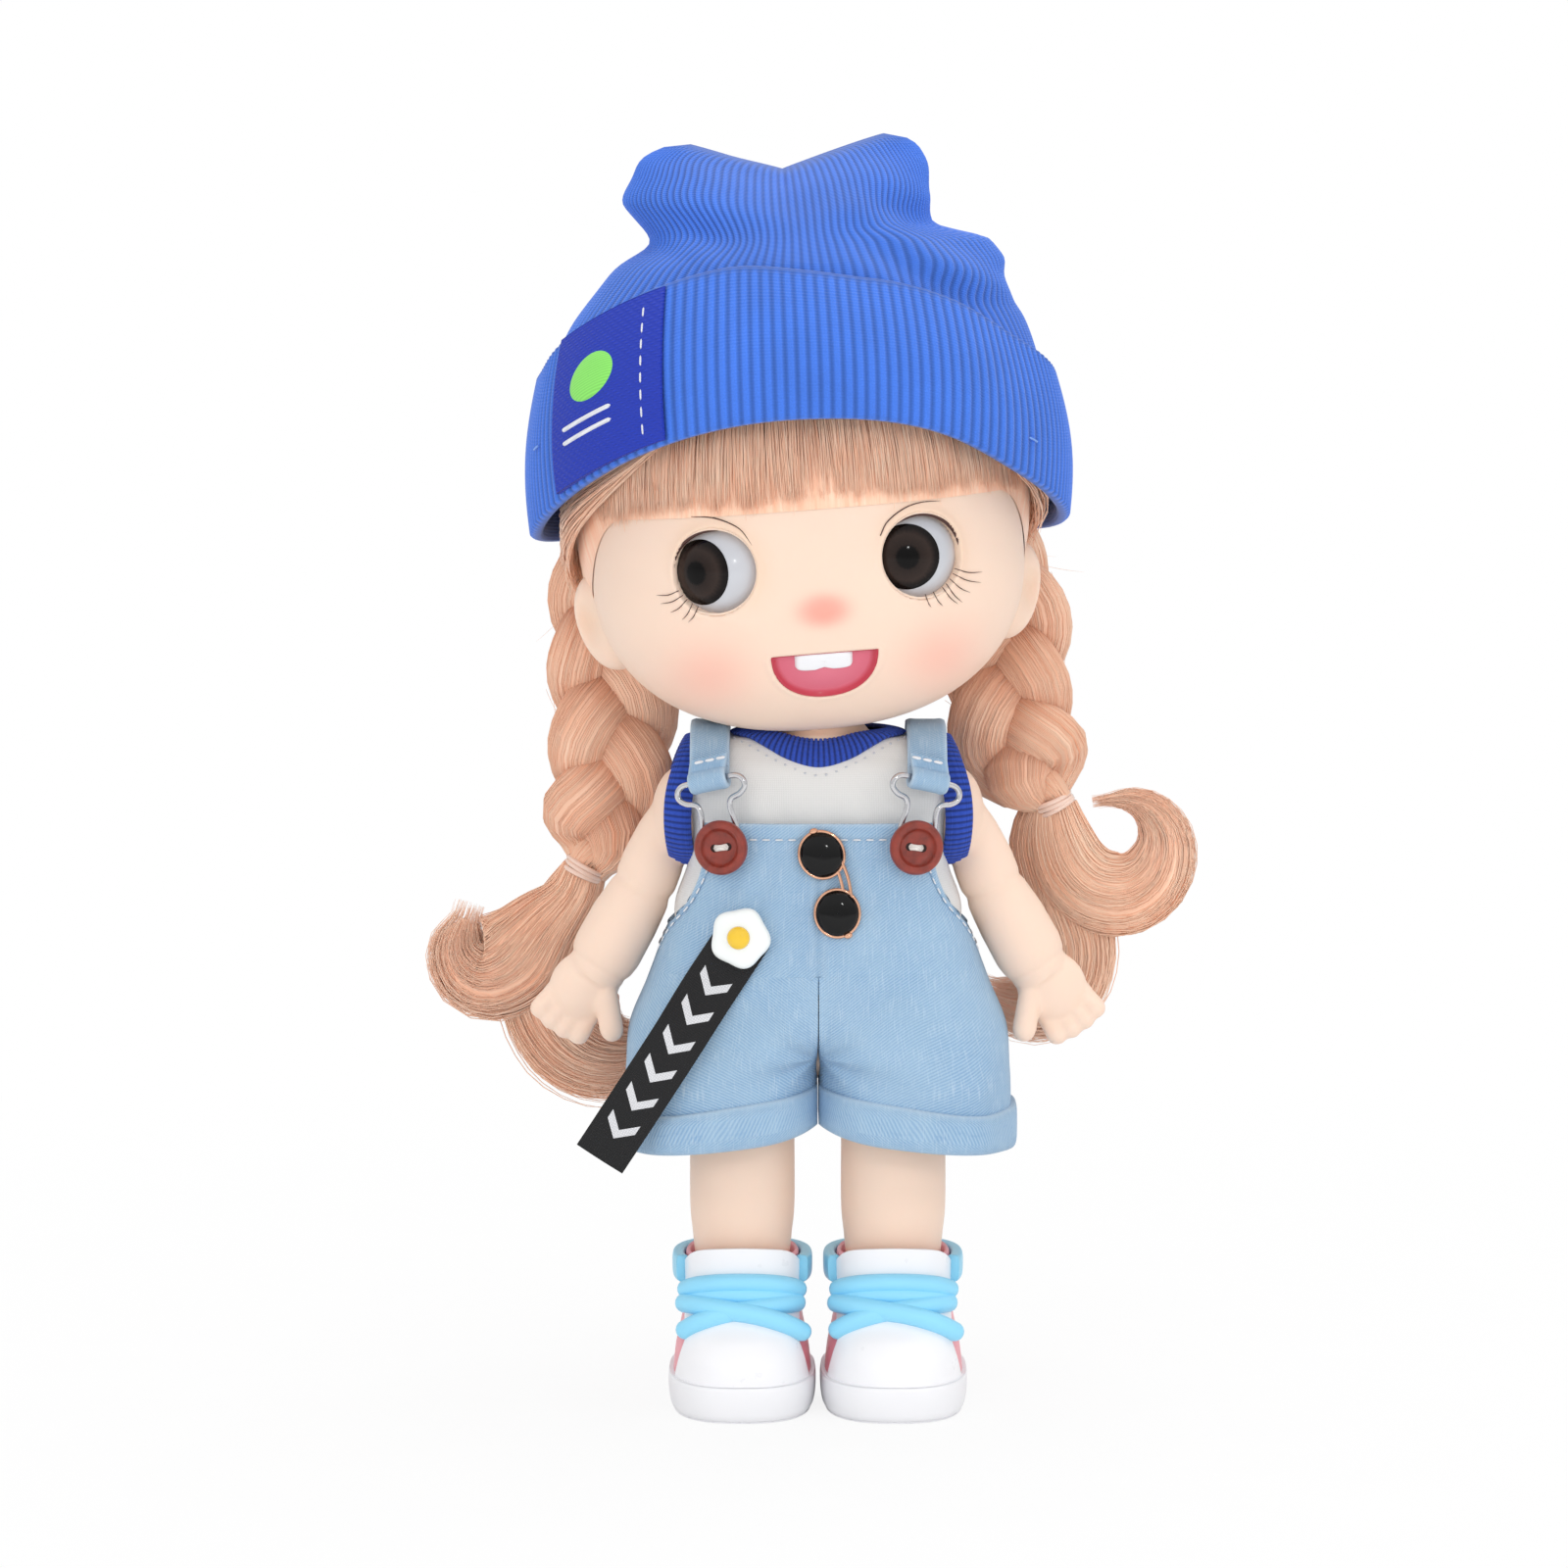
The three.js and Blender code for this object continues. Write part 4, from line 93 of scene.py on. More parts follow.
# Torso: height, half width, half depth, squareness
TORSO = np.array([
    [76, 24.4, 16, 2.6],
    [83, 24.4, 16, 2.6],
    [90.5, 23.3, 16, 2.8],
    [98, 22.2, 15.15, 3],
    [108.8, 23.4, 14.3, 3.4],
    [119.6, 24.6, 13.3, 3.8],
    [123.44, 23.99, 11.3, 3.6],
    [125.37, 21.4, 9.44, 3.2],
    [125.8, 15.25, 8.0, 2.8],
])

# Dungarees: height, half width, half depth, squareness of the outer face
DENIM = np.array([
    [49, 36, 19.98, 2.6],
    [57, 36, 20.19, 2.6],
    [64, 36, 20.6, 2.6],
    [72, 35.6, 20.6, 2.6],
    [80, 32.4, 20.6, 2.6],
    [86, 30.2, 20.4, 2.68],
    [92, 28.2, 19.8, 2.84],
    [98, 26, 18.95, 3],
    [108.8, 27.2, 18.1, 3.4],
    [119.6, 28.4, 17.1, 3.8],
])
WAIST_Z = 83
BIB_TOP = 111.7
BACK_TOP = 107
BIB_HALF_WIDTH = 21.6
BIB_FROM = 84.5
HEM_Z = 57
CROTCH_Z = 64

# Heights given with the shorts' legs, their cuffs and the ribbon for passing from the torso to a leg; put()
# does not use them
SHORTS_BEND = (82, 60)

# Places of the buttons, the sunglasses and the egg on the dungarees: width and height
BUTTON_AT = (17.3, 107.4)
GLASSES_AT = (2, 100.6)
EGG_AT = (-14, 90.6)

RIBBON_WIDTH = 10
RIBBON_LENGTH = 50
RIBBON_LEAN = math.radians(33)
SHOULDER = np.array([26.6, 0, 114.5])

# Hat: squareness and backward shift of its rings, then level, half width and half depth of the crown
HAT_SQUARE = 2.2
HAT_BACK = 0.8
CROWN = np.array([
    [10, 46.1, 42],
    [35, 46.7, 42.6],
    [55, 46.5, 42.2],
    [65, 45.1, 40.6],
    [73, 42, 38],
    [82, 34.6, 34],
    [90.5, 27.8, 27.5],
    [96.6, 28.2, 23],
    [101.6, 27.4, 17.5],
    [105.2, 24.9, 11.5],
    [107.2, 22.6, 7.8],
    [108.2, 20.2, 4.4],
    [108.6, 17.5, 1.6],
])

# Leg: height, half width, half depth, forward
LEG_X = 14.3
LEG = np.array([
    [76, 9.0, 9.0, 0],
    [71, 10.3, 10.3, 0],
    [58, 10.3, 10.3, 0],
    [54, 9.9, 9.9, 0],
    [38, 9.9, 9.9, 0],
    [31.5, 9.35, 9.1, 0],
    [25, 8.8, 8.8, 0],
    [19, 8.8, 9.6, 0.8],
    [15.3, 8.6, 11, 2.8],
    [10, 8, 11, 4],
])

# Shoe: sole, squareness of the last, collar and laces, then height, half width, toe and heel of the last
SOLE_HALF_WIDTH = 13.9
SOLE_HALF_LENGTH = 20.8
SOLE_MIDDLE = -4.75
SOLE_SQUARE = 2.6
LAST_SQUARE = 2.4
COLLAR_Z = 25.9
LACE_RADIUS = 1.85
LAST = np.array([
    [5.0, 13.3, 24.4, 14.8],
    [7.6, 13.2, 24.5, 14.8],
    [11.3, 12.8, 23.9, 14.7],
    [14.5, 12.1, 21.6, 14.2],
    [17.5, 11.5, 17.8, 13.8],
    [21, 11.3, 14.2, 13.4],
    [24.5, 11.5, 12.6, 13],
    [31, 11.6, 12, 12.8],
])

# Lamps: name, place in metres, size, power, and whether gloss shows them
LAMPS = [
    ("key_lamp", (-0.55, -1.25, 0.34), 1.0, 3.7, False),
    ("fill_lamp", (0.85, -1.0, 0.25), 0.9, 2.85, False),
    ("top_lamp", (0.15, 0.1, 1.1), 0.8, 2.8, True),
    ("glint_lamp", (0.22, -0.95, 0.46), 0.05, 0.4, True),
]
LAMP_AIM = np.array([0, 0, 0.12])

# Camera: lens in millimetres, tilt down, and the point one metre ahead of it
CAMERA_LENS = 122
CAMERA_TILT = math.radians(6)
CAMERA_AIM = (-0.0064, 0, 0.1172)


# Number helpers


def soft(t):
    """Smooth step from 0 to 1."""
    t = np.clip(t, 0.0, 1.0)
    return t * t * (3 - 2 * t)


def bent(value, power):
    """Power of a number that keeps its sign."""
    return np.sign(value) * np.abs(value) ** power


def bell(value, width):
    """Gauss bell of the value."""
    return np.exp(-((value / width) ** 2))


def unit(vectors):
    """Vectors of length 1."""
    return vectors / np.maximum(np.linalg.norm(vectors, axis=-1, keepdims=True), 1e-9)


def shares(count):
    """Equal steps from 0 to 1."""
    return np.linspace(0, 1, count)


def turns(count):
    """Equal turns round a full circle."""
    return np.linspace(0, 2 * math.pi, count, endpoint=False)


def joined(*axes):
    """Points of a grid from its coordinates, which may lack rows or columns."""
    return np.stack(np.broadcast_arrays(*axes), -1)


def oval(turn, wide, deep, square, z, middle=(0.0, 0.0)):
    """Super-ellipse about a middle: the turn's cosine and sine to the power of 2 over the squareness."""
    x = middle[0] + wide * bent(np.cos(turn), 2 / square)
    return joined(x, middle[1] + deep * bent(np.sin(turn), 2 / square), z)


def spline(table, count, closed=False):
    """Catmull-Rom curve through the rows of a table, sampled evenly in the row number."""
    rows = np.asarray(table, float)
    if closed:
        rows = np.concatenate([rows[-1:], rows, rows[:2]])
        steps = np.arange(count) * (len(rows) - 3) / count
    else:
        rows = np.concatenate([[2 * rows[0] - rows[1]], rows, [2 * rows[-1] - rows[-2]]])
        steps = np.linspace(0, len(rows) - 3 - 1e-9, count)
    at = steps.astype(int)
    t = (steps - at)[:, None]
    a, b, c, d = rows[at], rows[at + 1], rows[at + 2], rows[at + 3]
    return 0.5 * (2 * b + (c - a) * t + (2 * a - 5 * b + 4 * c - d) * t**2 + (3 * b - a - 3 * c + d) * t**3)


def evenly(path, count):
    """The same path with points at equal distances along it."""
    steps = np.linalg.norm(np.diff(path, axis=0), axis=1)
    length = np.concatenate([[0], np.cumsum(steps)])
    at = np.linspace(0, length[-1], count)
    return np.stack([np.interp(at, length, path[:, k]) for k in range(path.shape[1])], -1)


def even_turns(count, wide, deep, square):
    """Turns at equal distances round a super-ellipse."""
    fine = np.linspace(0, 2 * math.pi, 4001)
    outline = np.stack([wide * bent(np.cos(fine), 2 / square), deep * bent(np.sin(fine), 2 / square)], -1)
    run = np.concatenate([[0], np.cumsum(np.linalg.norm(np.diff(outline, axis=0), axis=1))])
    return np.interp(np.linspace(0, run[-1], count, endpoint=False), run, fine)


def framed(values):
    """Values of a grid with its first column and last row once more."""
    values = np.concatenate([values, values[:, :1]], 1)
    return np.concatenate([values, values[-1:]])


def from_table(table, z, column):
    """Column of a table at a height, by straight interpolation in a splined copy of it."""
    fine = spline(table, 400)
    return np.interp(z, fine[:, 0], fine[:, column])


def worn(points):
    """Points of the head's frame moved to the doll's frame."""
    return points @ HEAD_TURN.T + NECK


# Mesh helpers: a part is a tuple of points, faces, a UV for each face corner, and a tone for each point


def surface(points, wrap=(False, False), uv=None, tone=0.0):
    """Faces of a grid of points. Rows go up and columns anticlockwise seen from above for faces outwards.
    The UV is one value for each column and row, or for each point, with one more at a closed end."""
    rows, columns = points.shape[:2]
    across, up = uv if uv else (np.arange(columns + 1.0), np.arange(rows + 1.0))
    across = across if across.ndim > 1 else np.broadcast_to(across, (rows + 1, columns + 1))
    up = up if up.ndim > 1 else np.broadcast_to(up[:, None], (rows + 1, columns + 1))
    i = np.arange(rows - (not wrap[0]))[:, None]
    j = np.arange(columns - (not wrap[1]))[None, :]
    corners = [(i, j), (i, j + 1), (i + 1, j + 1), (i + 1, j)]
    faces = np.stack([(a % rows) * columns + b % columns for a, b in corners], -1)
    where = np.stack([np.stack([across[a, b], up[a, b]], -1) for a, b in corners], -2)
    tones = np.broadcast_to(tone, (rows, columns)).reshape(-1)
    return points.reshape(-1, 3), faces.reshape(-1, 4), where.reshape(-1, 4, 2), tones


def ringed(points, uv=None, tone=0.0):
    """Faces of a grid whose rows are closed rings."""
    return surface(points, (False, True), uv, tone)


def tubes(paths, radius, sides=3, shade=None, flat=1.0, over=(0.31, 0.93, 0.2), tone=0.0):
    """Round tube about each of many paths: a ring of points square to the path at each of its points.
    The UV holds the tube's own shade, or the share round it, and the share of its length.
    The tone is one number, or one for each step along the paths."""
    paths = np.asarray(paths, float)
    count, steps = paths.shape[:2]
    along = unit(np.gradient(paths, axis=1))
    side = unit(np.cross(along, np.array(over)))
    up = np.cross(along, side)
    turn = np.arange(sides) * 2 * math.pi / sides
    reach = np.broadcast_to(radius, (count, steps))[..., None, None]
    ring = np.cos(turn)[:, None] * side[:, :, None, :] + flat * np.sin(turn)[:, None] * up[:, :, None, :]
    points = paths[:, :, None, :] + reach * ring
    i = np.arange(count)[:, None, None]
    j = np.arange(steps - 1)[None, :, None]
    k = np.arange(sides)[None, None, :]
    corners = [(j, k), (j, k + 1), (j + 1, k + 1), (j + 1, k)]
    faces = np.stack([(i * steps + a) * sides + b % sides for a, b in corners], -1)
    own = None if shade is None else np.asarray(shade, float)[:, None, None]
    where = np.stack([
        np.stack(np.broadcast_arrays(b / sides if own is None else own, a / (steps - 1), i + j + k)[:2], -1)
        for a, b in corners
    ], -2)
    tones = np.broadcast_to(np.asarray(tone, float)[..., None], (count, steps, sides))
    return points.reshape(-1, 3), faces.reshape(-1, 4), where.reshape(-1, 4, 2), tones.reshape(-1)


def round_ends(steps, share=0.12):
    """Radius shares of a tube whose two ends are rounded off."""
    t = shares(steps)
    near = np.clip(np.minimum(t, 1 - t) / share, 0, 1)
    return np.sqrt(np.maximum(1 - (1 - near) ** 2, 1e-4))


def lathe(profile, sides=64, wave=None):
    """Profile of radius and height turned about Z, from its foot on the axis to its top on the axis."""
    profile = np.asarray(profile, float)
    turn = np.arange(sides) * 2 * math.pi / sides
    reach = profile[:, 0][:, None] * (np.ones(sides) if wave is None else wave(turn))[None, :]
    points = joined(reach * np.cos(turn), reach * np.sin(turn), profile[:, 1][:, None])
    run = np.linspace(0, 1, len(profile) + 1)
    return ringed(points, (np.arange(sides + 1) / sides, run))


def ellipsoid(middle, half, axes=np.eye(3), rows=24, sides=36):
    """Egg about a middle with three half sizes along three axes."""
    up = np.linspace(-math.pi / 2, math.pi / 2, rows)[:, None]
    turn = np.arange(sides)[None, :] * 2 * math.pi / sides
    ball = joined(np.cos(up) * np.cos(turn), np.cos(up) * np.sin(turn), np.sin(up))
    return ringed(np.asarray(middle) + (ball * np.asarray(half)) @ np.asarray(axes))


def moved(part, change):
    """A part with its points changed by a function."""
    return (change(part[0]),) + part[1:]


def mirrored(part):
    """A part on the doll's other side, with its faces turned to look out again."""
    points, faces, where, tone = part
    return points * np.array([-1, 1, 1]), faces[:, ::-1], where[:, ::-1], tone


def on_side(part, side):
    """A part drawn on the left side, or its mirror on the right."""
    return part if side == "left" else mirrored(part)


def stitches(path, length, gap, radius):
    """Running stitches: short rounded threads at equal spaces along a path."""
    path = np.asarray(path, float)
    steps = np.linalg.norm(np.diff(path, axis=0), axis=1)
    run = np.concatenate([[0], np.cumsum(steps)])
    count = max(int(run[-1] / (length + gap)), 1)
    t = shares(7)
    at = (np.arange(count) * (length + gap) + gap / 2)[:, None] + length * t[None, :]
    paths = np.stack([np.interp(at, run, path[:, k]) for k in range(3)], -1)
    return tubes(paths, radius * round_ends(7, 0.25)[None, :], 5)


def put(name, parts, finish, body, nodes=(), merge=True, bend=None):
    """Puts parts into one mesh object that rides on a body and stands for CAD nodes.
    With a bend the mesh takes in its place and rides on no body; neither the body nor the bend's heights are
    used then."""
    parts = parts if isinstance(parts, list) else [parts]
    shift = np.cumsum([0] + [len(p[0]) for p in parts])
    points = np.concatenate([p[0] for p in parts]) * MM
    faces = np.concatenate([p[1] + s for p, s in zip(parts, shift)])
    where = np.concatenate([p[2] for p in parts])
    tone = np.concatenate([p[3] for p in parts])
    mesh = bpy.data.meshes.new(name)
    mesh.vertices.add(len(points))
    mesh.vertices.foreach_set("co", points.astype(np.float32).ravel())
    mesh.loops.add(faces.size)
    mesh.loops.foreach_set("vertex_index", faces.astype(np.int32).ravel())
    mesh.polygons.add(len(faces))
    mesh.polygons.foreach_set("loop_start", np.arange(0, faces.size, 4, dtype=np.int32))
    mesh.polygons.foreach_set("use_smooth", np.ones(len(faces), dtype=bool))
    layer = mesh.uv_layers.new(name="UVMap")
    layer.data.foreach_set("uv", where.astype(np.float32).ravel())
    tones = mesh.attributes.new("tone", "FLOAT", "POINT")
    tones.data.foreach_set("value", tone.astype(np.float32))
    mesh.update(calc_edges=True)
    if merge:
        work = bmesh.new()
        work.from_mesh(mesh)
        bmesh.ops.remove_doubles(work, verts=work.verts, dist=1e-6)
        work.to_mesh(mesh)
        work.free()
    mesh.materials.append(finish)
    piece = bpy.data.objects.new(name, mesh)
    bpy.context.scene.collection.objects.link(piece)
    if bend:
        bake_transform(piece)
    else:
        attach(piece, body)
    if nodes:
        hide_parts(*nodes)
    return piece


def put_worn(name, parts, finish, nodes=(), merge=True):
    """Puts parts drawn in the head's frame into one piece of the head."""
    parts = parts if isinstance(parts, list) else [parts]
    return put(name, [moved(p, worn) for p in parts], finish, "head", nodes, merge)


def put_side(side, name, parts, finish, body, node=None, bend=None):
    """Puts parts drawn on the left side, or their mirror, into one piece of that side."""
    parts = parts if isinstance(parts, list) else [parts]
    nodes = [f"{side}_{node}"] if node else ()
    return put(f"{side}_{name}", [on_side(p, side) for p in parts], finish, body, nodes, True, bend)


def modifier(piece, kind, **settings):
    """Adds a live modifier with its settings."""
    added = piece.modifiers.new(kind.title(), kind)
    for key, value in settings.items():
        setattr(added, key, value)
    return added


# Material helpers


def linear(red, green, blue):
    """Screen colour, 0 to 255, as a linear colour."""
    c = np.array([red, green, blue]) / 255
    c = np.where(c <= 0.04045, c / 12.92, ((c + 0.055) / 1.055) ** 2.4)
    return tuple(float(v) for v in c)


class Finish:
    """A procedural material: a Principled shader and the nodes that feed it."""

    def __init__(self, name, **sockets):
        self.material = bpy.data.materials.new(name)
        self.material.use_nodes = True
        self.tree = self.material.node_tree
        self.shader = next(n for n in self.tree.nodes if n.type == "BSDF_PRINCIPLED")
        for key, value in sockets.items():
            self.shader.inputs[key.replace("_", " ").title().replace("Ior", "IOR")].default_value = value

    def node(self, kind, settings=(), **inputs):
        """Adds a node, sets its settings and its inputs, or links them."""
        made = self.tree.nodes.new("ShaderNode" + kind)
        for key, value in dict(settings).items():
            setattr(made, key, value)
        for key, value in inputs.items():
            socket = made.inputs[int(key[1:])] if key[0] == "i" and key[1:].isdigit() else made.inputs[key]
            self.feed(socket, value)
        return made

    def feed(self, socket, value):
        """Links an output to a socket, or sets the socket's own number."""
        if isinstance(value, bpy.types.NodeSocket):
            self.tree.links.new(value, socket)
        elif isinstance(value, (tuple, list)) and len(value) == 3 and socket.type == "RGBA":
            socket.default_value = (*value, 1)
        else:
            socket.default_value = value

    def place(self, scale=(1, 1, 1), of="Object", turn=(0, 0, 0)):
        """Object or UV coordinates, scaled."""
        source = self.node("TexCoord").outputs[of]
        return self.node("Mapping", Vector=source, Scale=scale, Rotation=turn).outputs[0]

    def noise(self, vector, scale, detail=3.0, rough=0.55):
        """Noise between 0 and 1."""
        return self.node("TexNoise", Vector=vector, Scale=scale, Detail=detail, Roughness=rough).outputs[0]

    def wave(self, vector, scale, way="X", bend=0.0, detail=1.0):
        """Sine bands between 0 and 1."""
        return self.node(
            "TexWave", {"bands_direction": way}, Vector=vector, Scale=scale, Distortion=bend, Detail=detail
        ).outputs[1]

    def maths(self, work, first, second=0.0):
        """One sum."""
        return self.node("Math", {"operation": work}, i0=first, i1=second).outputs[0]

    def ramp(self, share, *stops):
        """Colours, or plain greys, at places of a ramp."""
        made = self.node("ValToRGB", Fac=share)
        elements = made.color_ramp.elements
        while len(elements) < len(stops):
            elements.new(0.5)
        for element, (at, colour) in zip(elements, stops):
            element.position = at
            element.color = (*colour, 1) if isinstance(colour, tuple) else (colour, colour, colour, 1)
        return made.outputs[0]

    def mix(self, share, first, second, way="MIX"):
        """Two colours mixed."""
        made = self.tree.nodes.new("ShaderNodeMix")
        made.data_type = "RGBA"
        made.blend_type = way
        self.feed(made.inputs["Factor"], share)
        self.feed(made.inputs[6], first)
        self.feed(made.inputs[7], second)
        return made.outputs[2]

    def tone(self):
        """The mesh's own tone."""
        return self.node("Attribute", {"attribute_name": "tone"}).outputs["Fac"]

    def colour(self, value):
        """Colour of the surface."""
        self.feed(self.shader.inputs["Base Color"], value)
        return self

    def rough(self, value):
        """Roughness of the surface."""
        self.feed(self.shader.inputs["Roughness"], value)
        return self

    def bump(self, height, depth, strength=1.0):
        """Fine relief, depth in metres."""
        made = self.node("Bump", Height=height, Distance=depth, Strength=strength)
        earlier = self.shader.inputs["Normal"].links
        if earlier:
            self.tree.links.new(earlier[0].from_socket, made.inputs["Normal"])
        self.tree.links.new(made.outputs[0], self.shader.inputs["Normal"])
        return self


def looks():
    """The sizes and colours that a user may change."""
    return bpy.context.scene.doll_looks


def shade(name, share=1.0):
    """One of the colours that a user may change, darkened to a share of it."""
    return tuple(c * share for c in getattr(looks(), name))


def skin_finish():
    """Soft satin vinyl: pale skin, flushed where the mesh's tone is above 0, and darkened to a tan where it
    is below: painted shade round the eye sockets and in the ears' hollows.
    """
    f = Finish("vinyl_skin", roughness=0.5, subsurface_weight=0.1, subsurface_scale=0.0015, ior=1.4)
    f.shader.inputs["Subsurface Radius"].default_value = (1.0, 0.5, 0.35)
    spot = f.noise(f.place(), 130.0, 3.0)
    skin = shade("skin")
    base = f.mix(spot, tuple(c * 0.97 for c in skin), skin)
    tone = f.tone()
    base = f.mix(f.maths("MAXIMUM", tone, 0.0), base, shade("flush"))
    # Painted shade: a tan, darker copy of the skin where the tone is below 0.
    painted_shade = tuple(c * k for c, k in zip(skin, (0.9, 0.8, 0.66)))
    f.colour(f.mix(f.maths("MAXIMUM", f.maths("MULTIPLY", tone, -1.0), 0.0), base, painted_shade))
    grain = f.noise(f.place(), 1500.0, 2.0)
    f.rough(f.ramp(grain, (0.2, 0.44), (0.8, 0.56)))
    return f.bump(grain, 0.00002, 0.5).material


def hair_finish():
    """Silky hair fibre: streaks along the fibres from the UV, and a soft sheen."""
    f = Finish("doll_hair", roughness=0.34, ior=1.5, sheen_weight=0.2, sheen_roughness=0.4)
    streak = f.noise(f.place((90, 1.6, 1), "UV"), 1.0, 3.0, 0.6)
    patch = f.noise(f.place(), 90.0, 2.0)
    share = f.maths("ADD", f.maths("MULTIPLY", streak, 0.8), f.maths("MULTIPLY", patch, 0.25))
    dark, light = shade("hair_dark"), shade("hair_light")
    middle = tuple(0.45 * a + 0.55 * b for a, b in zip(dark, light))
    base = f.ramp(share, (0.22, dark), (0.44, middle), (0.66, light))
    # The tone mixes towards a deeper, redder copy of the dark hair: painted shade in the plaits.
    f.colour(f.mix(f.tone(), base, tuple(c * k for c, k in zip(dark, (0.55, 0.42, 0.36)))))
    f.rough(f.ramp(streak, (0.3, 0.28), (0.7, 0.42)))
    return f.bump(streak, 0.00012, 0.6).material


def knit_finish(name, light, dark, stitch=0.62, fuzz=0.08):
    """Rib knit: the mesh's tone paints shade into the valleys, rows of small stitches cross each rib."""
    f = Finish(name, roughness=0.85, sheen_weight=fuzz, sheen_roughness=0.5)
    uv = f.place((1, 1, 1), "UV")
    rows = f.wave(uv, 0.314 / stitch, "Y", 0.6)
    lint = f.noise(uv, 4.0, 4.0, 0.7)
    # Painted shade: the tone mixes towards the dark colour, a darkened copy of the knit, in the rib valleys.
    base = f.ramp(f.tone(), (0.05, dark), (0.7, light))
    cloud = f.ramp(f.noise(f.place(), 60.0, 3.0), (0.3, 0.88), (0.7, 1.0))
    thread = f.ramp(lint, (0.3, 0.78), (0.7, 1.0))
    f.colour(f.mix(1.0, f.mix(1.0, base, cloud, "MULTIPLY"), thread, "MULTIPLY"))
    f.bump(rows, 0.00012, 0.6)
    return f.bump(lint, 0.00008, 0.5).material


def shirt_finish():
    """White jersey: fine upright ribs and cross rows of loops."""
    f = Finish("white_jersey", roughness=0.85, sheen_weight=0.2)
    uv = f.place((1, 1, 1), "UV")
    ribs = f.wave(uv, 0.314 / 0.5, "X", 0.4)
    rows = f.wave(uv, 0.314 / 0.4, "Y", 0.8)
    white = shade("shirt")
    low = tuple(c * 0.93 for c in white)
    f.colour(f.mix(f.maths("MULTIPLY", ribs, rows), low, white))
    f.bump(ribs, 0.00005, 0.5)
    return f.bump(rows, 0.00003, 0.5).material


def denim_finish():
    """Washed denim: slanted twill lines, pale and dark slub threads, paler worn edges by the mesh's tone."""
    f = Finish("washed_denim", roughness=0.9, sheen_weight=0.06, sheen_roughness=0.5)
    twill = f.wave(f.place((1, 1, 1), "UV", (0, 0, math.radians(58))), 0.314 / 0.5, "X", 0.5, 2.0)
    warp = f.noise(f.place((3.2, 0.2, 1), "UV"), 1.0, 4.0, 0.65)
    weft = f.noise(f.place((0.25, 2.6, 1), "UV"), 1.0, 4.0, 0.65)
    wash = f.noise(f.place((0.09, 0.06, 1), "UV"), 1.0, 3.0)
    light, dark = shade("denim_light"), shade("denim_dark")
    pale = tuple(0.3 + 0.7 * c for c in light)
    base = f.mix(f.ramp(twill, (0.15, 0.25), (0.85, 0.75)), dark, light)
    base = f.mix(f.ramp(warp, (0.52, (0, 0, 0)), (0.78, 0.75)), base, pale)
    base = f.mix(f.ramp(weft, (0.54, (0, 0, 0)), (0.8, 0.6)), base, dark)
    base = f.mix(f.ramp(wash, (0.4, (0, 0, 0)), (0.8, 0.5)), base, light)
    f.colour(f.mix(f.maths("MULTIPLY", f.tone(), 0.7), base, pale))
    f.bump(twill, 0.0001, 0.6)
    f.bump(weft, 0.00008, 0.4)
    return f.bump(warp, 0.00008, 0.5).material


def thread_finish(name, colour):
    """Twisted sewing thread."""
    f = Finish(name, roughness=0.7, sheen_weight=0.2)
    twist = f.wave(f.place((1, 1, 1), "Object", (0.4, 0.7, 0.3)), 900.0, "DIAGONAL")
    f.colour(f.mix(twist, tuple(c * 0.82 for c in colour), colour))
    return f.bump(twist, 0.00004, 0.5).material


def metal_finish(name, colour, rough):
    """Polished wire with faint drawing lines."""
    f = Finish(name, metallic=1.0)
    mark = f.noise(f.place((1, 1, 0.2)), 1800.0, 3.0)
    f.colour(f.mix(mark, colour, tuple(min(c * 1.12, 1) for c in colour)))
    return f.rough(f.ramp(mark, (0.3, rough * 0.7), (0.8, rough * 1.4))).material


def moulded_finish(name, colour, rough=0.35, mottle=0.94, coat=0.0, grain=0.00002, gloss=0.5):
    """Moulded vinyl or enamel: faint mottling, a fine skin of grain and a soft gloss."""
    f = Finish(name, coat_weight=coat, coat_roughness=0.08, specular_ior_level=gloss)
    spot = f.noise(f.place(), 160.0, 4.0)
    f.colour(f.mix(spot, tuple(c * mottle for c in colour), colour))
    f.rough(f.ramp(spot, (0.2, rough * 0.85), (0.8, rough * 1.15)))
    return f.bump(f.noise(f.place(), 1400.0, 2.0), grain, 0.4).material


# Stage


def light_surround(scene):
    """Even pale light from all round, a little darker from below, that the camera sees as white."""
    world = bpy.data.worlds.new("studio")
    scene.world = world
    world.use_nodes = True
    nodes, links = world.node_tree.nodes, world.node_tree.links
    back = nodes["Background"]
    back.inputs["Strength"].default_value = 0.9
    sky = nodes.new("ShaderNodeTexCoord")
    split = nodes.new("ShaderNodeSeparateXYZ")
    ramp = nodes.new("ShaderNodeValToRGB")
    ramp.color_ramp.elements[0].position = 0.0
    ramp.color_ramp.elements[0].color = (0.72, 0.72, 0.72, 1)
    ramp.color_ramp.elements[1].position = 0.55
    ramp.color_ramp.elements[1].color = (1, 1, 1, 1)
    links.new(sky.outputs["Generated"], split.inputs[0])
    links.new(split.outputs[2], ramp.inputs[0])
    links.new(ramp.outputs[0], back.inputs["Color"])
    seen = nodes.new("ShaderNodeBackground")
    seen.inputs["Strength"].default_value = 1.0
    seen.inputs["Color"].default_value = (1, 1, 1, 1)
    path = nodes.new("ShaderNodeLightPath")
    either = nodes.new("ShaderNodeMath")
    either.operation = "MAXIMUM"
    links.new(path.outputs["Is Camera Ray"], either.inputs[0])
    links.new(path.outputs["Is Transmission Ray"], either.inputs[1])
    blend = nodes.new("ShaderNodeMixShader")
    links.new(either.outputs[0], blend.inputs[0])
    links.new(back.outputs[0], blend.inputs[1])
    links.new(seen.outputs[0], blend.inputs[2])
    links.new(blend.outputs[0], nodes["World Output"].inputs["Surface"])


